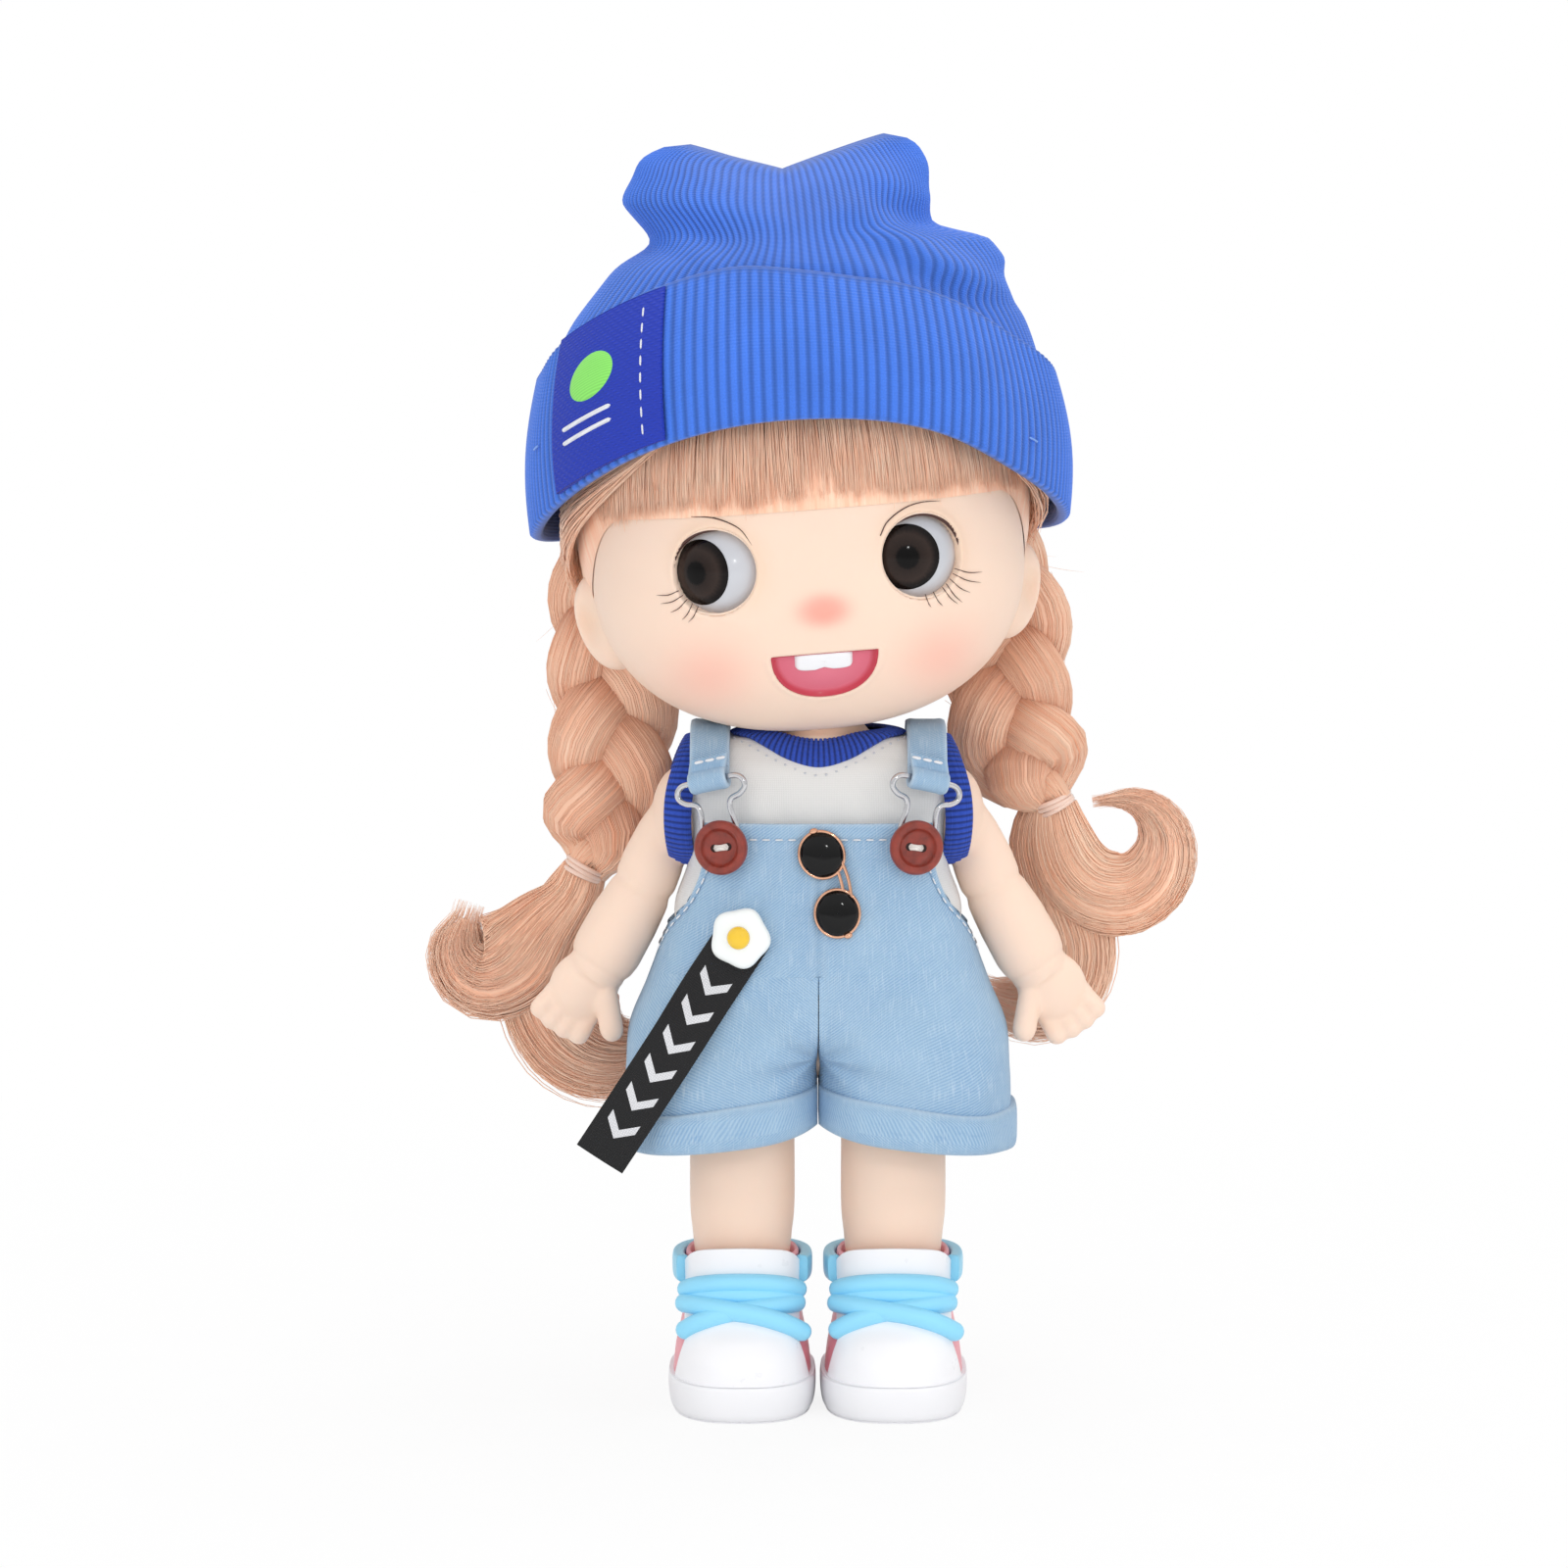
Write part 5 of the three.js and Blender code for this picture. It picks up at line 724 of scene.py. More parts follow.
def lay_floor(scene):
    """White paper that keeps the doll's soft shadow and runs out into the white surround."""
    f = Finish("floor_paper", roughness=0.9)
    f.colour(f.ramp(f.noise(f.place(), 40.0), (0.3, 0.86), (0.7, 0.89)))
    glow = f.node("Emission")
    glow.inputs["Color"].default_value = (1, 1, 1, 1)
    glow.inputs["Strength"].default_value = 1.0
    ray = f.node("LightPath")
    far = f.node("VectorMath", {"operation": "LENGTH"}, i0=f.place()).outputs["Value"]
    clear = f.ramp(far, (0.1, 0.86), (0.4, (1, 1, 1)))
    share = f.maths("MULTIPLY", ray.outputs["Is Camera Ray"], clear)
    both = f.node("MixShader", i0=share, i1=f.shader.outputs[0], i2=glow.outputs[0])
    output = next(n for n in f.tree.nodes if n.type == "OUTPUT_MATERIAL")
    f.tree.links.new(both.outputs[0], output.inputs["Surface"])
    mesh = bpy.data.meshes.new("floor")
    mesh.from_pydata([(-6, -6, 0), (6, -6, 0), (6, 6, 0), (-6, 6, 0)], [], [(0, 1, 2, 3)])
    mesh.materials.append(f.material)
    floor = bpy.data.objects.new("floor", mesh)
    scene.collection.objects.link(floor)


def hang_lamps(scene):
    """Square soft lamps, each turned to face the doll's middle."""
    for name, place, size, power, shown in LAMPS:
        lamp = bpy.data.lights.new(name, "AREA")
        lamp.size = size
        lamp.energy = power
        held = bpy.data.objects.new(name, lamp)
        scene.collection.objects.link(held)
        held.location = place
        held.visible_glossy = shown
        aim = LAMP_AIM - np.array(place)
        flat = math.hypot(aim[0], aim[1])
        held.rotation_euler = (math.atan2(flat, -aim[2]), 0, math.atan2(-aim[0], aim[1]))


def set_camera(scene):
    """A long lens one metre away that looks down a little."""
    camera = bpy.data.cameras.new("camera")
    camera.lens = CAMERA_LENS
    camera.sensor_width = 36
    eye = bpy.data.objects.new("camera", camera)
    scene.collection.objects.link(eye)
    x, y, z = CAMERA_AIM
    eye.location = (x, y - math.cos(CAMERA_TILT), z + math.sin(CAMERA_TILT))
    eye.rotation_euler = (math.pi / 2 - CAMERA_TILT, 0, 0)
    scene.camera = eye


def make_stage():
    """A white floor in an even white surround, soft lamps, a small glint and the camera."""
    scene = bpy.context.scene
    scene.view_settings.view_transform = "Standard"
    light_surround(scene)
    lay_floor(scene)
    hang_lamps(scene)
    set_camera(scene)


# Head


def head_half(level):
    """Half width and half depth of the head at a level: super-ellipses below and above the widest level."""
    reach = np.where(level < HEAD_WIDEST, HEAD_BELOW, HEAD_ABOVE)
    share = np.clip(np.abs(level - HEAD_WIDEST) / reach, 0, 1)
    return HEAD_HALF_WIDTH * (1 - share**2.3) ** (1 / 2.3), HEAD_HALF_DEPTH * (1 - share**2.5) ** (1 / 2.5)


def head_at(turn, level, layer=0.0):
    """Point of the head at a turn (270 degrees is the front) and a level, moved out by a layer."""
    wide, deep = head_half(level)
    return oval(turn, wide + layer, deep + layer, HEAD_SQUARE, level)


def face_y(x, level):
    """Depth of the face at a width and level."""
    wide, deep = head_half(level)
    share = np.clip(np.abs(x) / np.maximum(wide, 1e-6), 0, 0.995)
    return -deep * (1 - share**HEAD_SQUARE) ** (1 / HEAD_SQUARE)


def on_face(x, level, layer=0.0):
    """Point of the face and its outward direction, moved out along that direction by a layer."""
    x, level, layer = np.broadcast_arrays(*(np.asarray(v, float) for v in (x, level, layer)))
    y = face_y(x, level)
    step = 0.05
    slope_x = (face_y(x + step, level) - y) / step
    slope_z = (face_y(x, level + step) - y) / step
    out = unit(np.stack([slope_x, -np.ones_like(y), slope_z], -1))
    return np.stack([x, y, level], -1) + out * layer[..., None], out


def mouth_outline(count=120):
    """Half moon: a straight top edge with rounded corners over half of a super-ellipse."""
    turn = turns(count)
    x = MOUTH_HALF_WIDTH * bent(np.cos(turn), 0.9)
    z = np.where(np.sin(turn) < 0, MOUTH_HEIGHT * bent(np.sin(turn), 0.92), 0.25 * np.sin(turn))
    return x, z


def mouth_share(x, level):
    """Distance from the mouth's heart over the edge's distance that way: 1 on the edge, less inside it."""
    edge_x, edge_z = mouth_outline(720)
    heart = -0.4 * MOUTH_HEIGHT
    way = np.arctan2(edge_z - heart, edge_x)
    order = np.argsort(way)
    reach = np.hypot(edge_x, edge_z - heart)
    dx, dz = x - MOUTH_MIDDLE[0], level - MOUTH_MIDDLE[1] - heart
    return np.hypot(dx, dz) / np.interp(np.arctan2(dz, dx), way[order], reach[order], period=2 * math.pi)


def ear():
    """The left ear: an egg, narrower below, with a hollow in its front, leant outwards."""
    up = np.linspace(-math.pi / 2, math.pi / 2, 40)[:, None]
    around = turns(60)[None, :]
    a = np.cos(up) * np.cos(around)
    b = np.cos(up) * np.sin(around)
    c = np.broadcast_to(np.sin(up), a.shape)
    shell = np.stack([a * 6.6, b * 5.0, c * 9.6 - 1.2 * np.maximum(-c, 0) * a], -1)
    hollow = 2.4 * np.exp(-((b + 0.55) / 0.4) ** 2 - ((c - 0.1) / 0.42) ** 2) * soft(a * 2)
    shell[..., 0] -= 0.7 * hollow
    shell[..., 1] += hollow
    lean = math.radians(-16)
    tilted = shell.copy()
    tilted[..., 0] = shell[..., 0] * math.cos(lean) - shell[..., 2] * math.sin(lean)
    tilted[..., 2] = shell[..., 0] * math.sin(lean) + shell[..., 2] * math.cos(lean)
    # Painted shade in the ear's hollow, given as tone below 0.
    tone = -0.12 * np.clip(hollow, 0, 3)
    return ringed(tilted + np.array([37.3, 2.6, 20.2]), tone=tone)


def make_head():
    """Head: super-ellipse rings over levels, pushed out for the nose and in for the eyes and mouth."""
    below = HEAD_WIDEST - HEAD_BELOW * np.cos(np.linspace(0.03, math.pi / 2, 104))
    face = np.linspace(HEAD_WIDEST, 44, 42)[1:]
    top = 44 + 38 * np.sin(np.linspace(0, math.pi / 2 - 0.02, 24))[1:]
    level = np.concatenate([below, face, top])[:, None]
    ease = np.linspace(-math.pi, math.pi, 400, endpoint=False)[None, :]
    turn = -math.pi / 2 + ease - 0.62 * np.sin(ease)
    points = head_at(turn, level)
    base = points.copy()
    x, y, z = base[..., 0], base[..., 1], base[..., 2]
    front = soft((-y - 8) / 6)
    bump = ((x + 0.2) / 4.7) ** 2 + ((z - 21.7) / 2.9) ** 2
    points[..., 1] -= front * 1.7 * np.exp(-bump)
    painted_shade = 0 * x
    for eye_x in EYE_X.values():
        middle, out = on_face(eye_x, EYE_LEVEL)
        away = base - middle
        near = np.linalg.norm(away - (away @ out)[..., None] * out, axis=-1)
        dip = 4.8 * soft((EYE_OPENING - near) / 0.5) - 0.2 * bell(near - EYE_OPENING - 0.5, 0.7)
        points -= (front * dip)[..., None] * out
        # Painted shade round the eye socket, stronger above the eye and towards the doll's left, given as
        # tone below 0.
        lid = soft(0.6 + 0.5 * (z - EYE_LEVEL) / 8 + 0.35 * (x - eye_x) / 8)
        painted_shade = painted_shade + lid * bell(np.maximum(near - EYE_OPENING, 0), 2.6)
    share = mouth_share(x, z)
    _, out = on_face(MOUTH_MIDDLE[0], MOUTH_MIDDLE[1] - 3)
    points -= (front * (2.2 * soft((0.99 - share) / 0.06) - 0.2 * bell(share - 1.06, 0.06)))[..., None] * out
    blush = sum(np.exp(-(((x - s * 21.3) / 7.6) ** 2) - ((z - 11) / 6.4) ** 2) for s in (-1, 1))
    tone = np.clip(front * (0.34 * blush + 0.7 * np.exp(-(bump**1.6))), 0, 1) - 0.36 * front * painted_shade
    skull = ringed(points, tone=tone)
    ears = [on_side(ear(), side) for side in ("right", "left")]
    put_worn("head_skin", [skull] + ears, skin_finish(), ["head_shell"])


def eye_frame(eye_x):
    """Middle of an eye ball, the way it looks out, and the way across its opening."""
    middle, out = on_face(eye_x, EYE_LEVEL)
    across = unit(np.array([1.0, 0, 0]) - out * out[0])
    return middle - out * (EYE_BALL - 0.9), out, across


def dome(middle, radius, way, reach, rows, sides=72):
    """Cap of a ball about a direction, out to an angle."""
    across = unit(np.cross(np.array([0.0, 0, 1]), way))
    up = np.cross(way, across)
    angle = np.linspace(reach, 1e-3, rows)[:, None]
    turn = turns(sides)[None, :]
    ring = np.cos(turn)[..., None] * across + np.sin(turn)[..., None] * up
    points = middle + radius * (np.cos(angle)[..., None] * way + np.sin(angle)[..., None] * ring)
    return ringed(points, (np.arange(sides + 1) / sides, np.linspace(1, 0, rows + 1)))


def make_eyes():
    """Eyes: balls behind the openings, irises as caps on them, lid rims and lashes laid on the face."""
    white = moulded_finish("eye_white", linear(200, 202, 208), 0.2, 0.97, 0.2)
    f = Finish("eye_iris", roughness=0.08, specular_ior_level=0.16)
    split = f.node("SeparateXYZ", Vector=f.place((1, 1, 1), "UV"))
    rays = f.noise(f.place((60, 2.5, 1), "UV"), 1.0, 3.0)
    shade = f.maths("ADD", split.outputs[1], f.maths("MULTIPLY", f.maths("SUBTRACT", rays, 0.5), 0.16))
    f.colour(f.ramp(
        shade, (0.0, linear(6, 5, 5)), (0.33, linear(9, 7, 7)), (0.4, linear(40, 31, 28)),
        (0.7, linear(52, 41, 37)), (0.86, linear(24, 18, 17)), (1.0, linear(8, 6, 6)),
    ))
    iris = f.material
    rims, lines = [], []
    for name, eye_x in EYE_X.items():
        middle, out, across = eye_frame(eye_x)
        ball = dome(middle, EYE_BALL, out, math.pi - 1e-3, 60)
        put_worn(f"{name}_eye_ball", ball, white, [f"{name}_eye"])
        gaze = unit(out * 9.3 - across * 3.2)
        disc = dome(middle, EYE_BALL + 0.12, gaze, math.asin(IRIS_RADIUS / EYE_BALL), 24)
        edge = dome(middle, EYE_BALL - 0.1, gaze, math.asin(IRIS_RADIUS / EYE_BALL), 2)
        put_worn(f"{name}_eye_iris", [disc, edge], iris, [f"{name}_iris"])
        turn = np.linspace(0, 2 * math.pi, 97)
        reach = EYE_OPENING - 0.1
        ring, _ = on_face(eye_x + reach * np.cos(turn), EYE_LEVEL + reach * np.sin(turn), -0.32)
        rims.append(tubes(ring[None], 0.26, 6))
        low, high = (-20, 125) if name == "left" else (80, 205)
        upper = np.radians(np.linspace(low, high, 60))
        reach = EYE_OPENING - 0.4
        arc, _ = on_face(eye_x + reach * np.cos(upper), EYE_LEVEL + reach * np.sin(upper), -0.5)
        lines.append(tubes(arc[None], 0.4 * round_ends(60, 0.45)[None], 6))
    strokes = [
        ([(-22.5, 40.2), (-19.2, 39.9), (-16.2, 38.8), (-13.9, 37.2), (-12.2, 34.4)], 0.12),
        ([(11.0, 34.3), (12.5, 36.7), (15.6, 38.75), (18.9, 39.6), (22.8, 39.5)], 0.12),
    ]
    roots = [(-26.4, 26.6), (-25.7, 25.6), (-24.9, 24.8), (-23.9, 23.9), (-22.8, 23.3)]
    tips = [(-29.2, 26.4), (-28.6, 24.9), (-27.1, 23.3), (-25.2, 22.0), (-24.2, 21.5)]
    roots += [(25.0, 26.7), (24.6, 25.7), (23.9, 24.7), (23.0, 23.9), (22.2, 23.2)]
    tips += [(29.3, 25.9), (28.9, 24.1), (26.8, 22.6), (25.2, 21.1), (24.4, 20.9)]
    roots += [(20.2, 22.5), (18.5, 22.2)]
    tips += [(21.6, 20.9), (19.5, 20.9)]
    for root, tip in zip(np.array(roots), np.array(tips)):
        middle = np.array([EYE_X["right" if root[0] < 0 else "left"], EYE_LEVEL])
        root = middle + 0.9 * (root - middle)
        tip = middle + 1.05 * (tip - middle)
        strokes.append(([root, (root + tip) / 2 - [0, 0.4], tip], 0.09))
    for way, radius in strokes:
        curve = spline(way, 24)
        path, _ = on_face(curve[:, 0], curve[:, 1], 0.16)
        taper = radius * np.sin(np.linspace(0.9, math.pi - 0.05, 24)) ** 0.6
        lines.append(tubes(path[None], taper[None], 5))
    put_worn("lid_rims", rims, skin_finish())
    put_worn("lid_lines", lines, moulded_finish("lash_paint", linear(72, 40, 34), 0.5))


def make_mouth():
    """Mouth: the half moon shrunk towards its heart in rows, each at its own depth, and two teeth."""
    f = Finish("mouth_vinyl", roughness=0.3, coat_weight=0.3, coat_roughness=0.12)
    split = f.node("SeparateXYZ", Vector=f.place((1, 1, 1), "UV"))
    spot = f.noise(f.place(), 240.0)
    share = f.maths("ADD", split.outputs[1], f.maths("MULTIPLY", f.maths("SUBTRACT", spot, 0.5), 0.02))
    f.colour(f.ramp(
        share, (0.0, linear(226, 116, 136)), (0.84, linear(214, 98, 120)),
        (0.925, linear(196, 46, 70)), (1.0, linear(178, 24, 52)),
    ))
    share = np.array([1.05, 1.0, 0.975, 0.955, 0.935, 0.91, 0.86, 0.8, 0.6, 0.4, 0.2, 0.01])
    depth = np.array([-0.5, -0.15, 0.04, 0.0, -0.3, -0.75, -1.0, -1.05, -0.95, -0.85, -0.8, -0.8])
    x, z = mouth_outline(160)
    heart = -0.4 * MOUTH_HEIGHT
    wide = MOUTH_MIDDLE[0] + share[:, None] * x[None, :]
    high = MOUTH_MIDDLE[1] + heart + share[:, None] * (z - heart)[None, :]
    points, _ = on_face(wide, high, np.broadcast_to(depth[:, None], wide.shape))
    floor = ringed(points, (np.arange(161) / 160, np.append(share, 0)))
    put_worn("mouth_moon", floor, f.material, ["mouth_inlay"])

    turn = turns(120)[None, :]
    row = np.linspace(1, 0.01, 16)[:, None]
    x = 5.4 * row * bent(np.cos(turn), 2 / 6)
    z = 1.75 * row * bent(np.sin(turn), 2 / 6)
    notch = 0.4 * bell(x, 0.4) * soft(-z / 1.9)
    swell = 1.25 * (1 - row**7) ** 0.5 - 1.1 - 0.14 * bell(x, 0.2)
    points, _ = on_face(MOUTH_MIDDLE[0] - 0.2 + x, MOUTH_MIDDLE[1] - 1.45 + z + notch, swell)
    enamel = moulded_finish("tooth_enamel", linear(240, 240, 243), 0.25, 0.97, 0.3)
    teeth = ringed(points)
    put_worn("tooth_pair", teeth, enamel, ["front_teeth"])


# Hat


def rib(count, each):
    """Profile of a count of knit ribs, each so many points wide: 0 in a valley, 1 on a ridge."""
    return 1 - np.abs(np.cos(math.pi * np.arange(count * each) / each))[None, :] ** 2.2


def brim_at(turn):
    """Level of the hat's lower edge: high over the brow, level at the sides and low at the nape."""
    s = np.sin(turn)
    behind = np.maximum(s, 0)
    ahead = np.minimum(s, 0)
    nape = 11 * soft((behind - 0.45) / 0.55)
    dip = 1.6 * bell(np.cos(turn) - 0.75, 0.25) * soft(-2.5 * ahead)
    return 35 - 12 * ahead + 10 * ahead**2 - 3 * (1 - np.exp(-12 * behind / 3)) - nape - dip


def tipped(points):
    """The hat sits a little askew: its points turned about the middle of the brow."""
    c, s = math.cos(looks().hat_tip), math.sin(looks().hat_tip)
    x, z = points[..., 0], points[..., 2] - 50
    return np.stack([x * c + z * s, points[..., 1], 50 + z * c - x * s], -1)


def cuff_at(turn, share, layer):
    """Cuff of the hat: a super-ellipse over a brim that dips at the sides and rises at the front."""
    sine = np.sin(turn)
    brim = brim_at(turn)
    front = sine < 0
    bulge = np.sin(math.pi * np.clip(share, 0, 1)) + layer
    wide = 50.3 - 2 * share**2 + bulge
    deep = 46 - np.where(front, 9.5, 0.5) * np.abs(sine) * share**2 + bulge
    fold = 29 - 3 * soft((np.cos(turn) * 50 + 16) / 26) * soft(1 - 2 * sine)
    high = brim + (fold + np.where(front, 1.5, 2.0) * sine) * share
    return tipped(oval(turn, wide, deep, HAT_SQUARE, high, (0, HAT_BACK)))


def crown():
    """Crown of the hat: a ribbed loft through the table's rings with two soft corners, a dip and folds."""
    ribs = int(looks().hat_ribs * 0.76)
    turn = even_turns(ribs * 7, 46.6, 42.4, HAT_SQUARE)[None, :]
    low = brim_at(turn) + 13
    rise = np.append(shares(64), [1.0, 1.0, 1.0])[:, None]
    close = np.append(np.ones(64), [0.7, 0.35, 0.01])[:, None]
    level = low + (CROWN[-1, 0] - low) * rise
    wide = from_table(CROWN, level, 1)
    deep = from_table(CROWN, level, 2) * close
    right = soft(-np.cos(turn) * 1.6)
    left = soft(np.cos(turn) * 1.6)
    corner = 2.6 * bell(level - 98, 4.2) + 2.8 * bell(level - 105.5, 3.4)
    wide = wide + right * (corner - 3.2 * bell(level - 88.5, 3.2))
    wide = wide + left * 6.6 * soft((level - 75) / 10) * soft((91.5 - level) / 4)
    wide = wide - left * (2.2 * bell(level - 95, 4) + 1.4 * bell(level - 101, 5))
    x = wide * bent(np.cos(turn), 2 / HAT_SQUARE)
    y = HAT_BACK + deep * bent(np.sin(turn), 2 / HAT_SQUARE)
    loose = np.clip((level - 84) / 24, 0, 1)
    z = level - 0.042 * np.maximum(level - 84, 0) - 0.7 * right * loose
    z = z - 6.1 * loose * (1 - np.clip(np.abs(x + 1.8) / 19, 0, 1)) ** 1.1 + 0 * turn
    profile = rib(ribs, 7)
    fade = soft((108.8 - level) / 3)
    fold = 0.9 * np.sin((x * 0.55 + z * 0.95) * 0.62) * soft((x - 4) / 14) * bell(z - 86, 13)
    fold = fold + 1.3 * bell((z - 90) + 0.55 * (x + 24), 2.6) * soft(-(x + 14) / 10)
    fold = fold - 1.0 * bell((z - 94) - 0.5 * np.abs(x), 4.5) * bell(x, 16)
    sag = 0.5 * np.sin(3 * turn + 0.12 * level) * soft((level - 60) / 20)
    out = unit(joined(np.cos(turn), np.sin(turn) * 1.1, 0.55 * loose))
    shift = fade * (0.4 * profile - 0.3) + fade * (fold + sag)
    points = np.stack([x, y, z], -1) + out * shift[..., None]
    # Tone: painted shade in the rib valleys; it also drops over the top where the ribs fade out, which
    # darkens the top.
    tone = profile * (0.25 + 0.75 * fade)
    run = (np.linspace(0, 290, ribs * 7 + 1), np.linspace(30, 112, 68))
    return ringed(points, run, tone)


def turned_up_cuff():
    """Cuff of the hat, a closed ribbed band: up the outside, over the fold, and down the inside."""
    ribs = looks().hat_ribs
    turn = even_turns(ribs * 6, 50, 45, HAT_SQUARE)[None, :]
    profile = rib(ribs, 6)
    fold = [1.012, 1.016, 1.012, 1.0]
    brim = [0, -0.014, -0.02, -0.014]
    share = np.concatenate([shares(26), fold, np.linspace(0.9, 0.06, 6), brim])
    bend = np.array([-0.5, -1.1, -1.7, -2.2])
    layer = np.concatenate([np.zeros(26), bend, np.full(6, -2.4), bend[::-1]])
    share, layer = share[:, None], layer[:, None]
    shown = soft((layer + 1.4) / 1.0)
    ease = 0.35 * np.sin(5 * turn + 1) * soft(share) + 0.25 * np.sin(11 * turn) * soft(share)
    points = cuff_at(turn, share, layer + shown * (0.4 * profile - 0.15) + ease)
    up = np.concatenate([share[:, 0] * 29, [0]])
    # Tone: painted shade in the rib valleys and over the inside of the cuff, and a painted shadow line along
    # the top of the fold.
    tone = shown * profile * (1 - 0.75 * soft((share - 0.965) / 0.03))
    return surface(points, (True, True), (np.linspace(0, 305, ribs * 6 + 1), up), tone)


def make_hat():
    """Hat: the crown, the turned-up cuff and the tacks that hold the cuff up."""
    # The dark colour is the knit darkened for the painted shade in the rib valleys.
    light, dark = shade("knit"), shade("knit", 0.6)
    knit = knit_finish("hat_knit", light, dark, fuzz=0.2)
    put_worn("knit_crown", moved(crown(), tipped), knit, ["hat_crown"])
    put_worn("knit_cuff", turned_up_cuff(), knit, ["hat_cuff"])
    tacks = []
    for angle, high in ((197, 0.42), (321, 0.25)):
        t = np.radians(angle + np.linspace(-1.7, 1.7, 9))
        path = cuff_at(t, high + 0 * t, 0.4 + 0.1 * np.sin(np.linspace(0, math.pi, 9)))
        tacks.append(tubes(path[None], 0.2 * round_ends(9)[None], 6))
    put_worn("cuff_tacks", tacks, thread_finish("tack_thread", linear(120, 165, 240)))


def make_label():
    """Label: a slab on the cuff between two turns with running stitches, a dot and two bars."""
    f = Finish("label_weave", roughness=0.65, sheen_weight=0.04)
    uv = f.place((1, 1, 1), "UV")
    weave = f.maths("MULTIPLY", f.wave(uv, 0.314 / 0.75, "DIAGONAL"), f.wave(uv, 0.314 / 0.7, "Y"))
    lint = f.noise(uv, 2.5, 3.0)
    light, dark = shade("label"), shade("label", 0.6)
    f.colour(f.mix(f.maths("MULTIPLY", weave, lint), dark, light))
    f.bump(weave, 0.00022, 0.9)
    low, high = math.radians(208.5), math.radians(240.5)

    def label_at(u, v, layer):
        """Point of the label at shares of its width and height."""
        return cuff_at(low + (high - low) * u, 0.01 + 0.985 * v, layer)

    u = shares(60)
    section_u = np.concatenate([u, [1.004, 1.004], u[::-1], [-0.004, -0.004]])[None, :]
    section_l = np.concatenate([np.full(60, 1.45), [1.2, 0.6], np.full(60, 0.4), [0.6, 1.2]])[None, :]
    v = shares(70)[:, None]
    points = label_at(section_u, v + 0 * section_u, section_l + 0.06 * np.sin(v * 9))
    wall = ringed(points, (np.append(section_u[0], 0) * 25, np.linspace(0, 30, 71)))
    ends = []
    for row, turned in ((points[0], True), (points[-1], False)):
        strip = np.stack([row[:60], row[62:122][::-1]])
        ends.append(surface(strip if turned else strip[::-1]))
    slab = [wall] + ends
    put_worn("woven_label", slab, f.material, ["hat_label"])

    white = thread_finish("label_thread", linear(236, 238, 244))
    path = label_at(np.full(120, 0.86), np.linspace(0.06, 0.94, 120), 1.5)
    sewn = [stitches(path, 2.0, 1.1, 0.2)]
    for at in (0.36, 0.27):
        path = label_at(np.linspace(0.14, 0.62, 30), np.full(30, at), 1.5)
        sewn.append(tubes(path[None], 0.42 * round_ends(30, 0.06)[None], 8))
    put_worn("label_stitching", sewn, white)

    green = thread_finish("label_green", linear(140, 232, 104))
    ring = turns(72)[None, :]
    row = np.linspace(1, 0.01, 10)[:, None]
    dome_lift = 1.4 + 0.4 * (1 - row**6)
    points = label_at(0.42 + 0.21 * row * np.cos(ring), 0.62 + 0.15 * row * np.sin(ring), dome_lift)
    put_worn("label_dot", ringed(points[:, ::-1]), green)


# Hair


def fibres(paths, radius, shade, sides=3):
    """Thin hair fibres that run out to a point at their tips."""
    steps = paths.shape[1]
    taper = radius * np.minimum(1, 0.25 + 3.2 * (1 - shares(steps)))
    return tubes(paths, np.broadcast_to(taper, paths.shape[:2]), sides, shade)


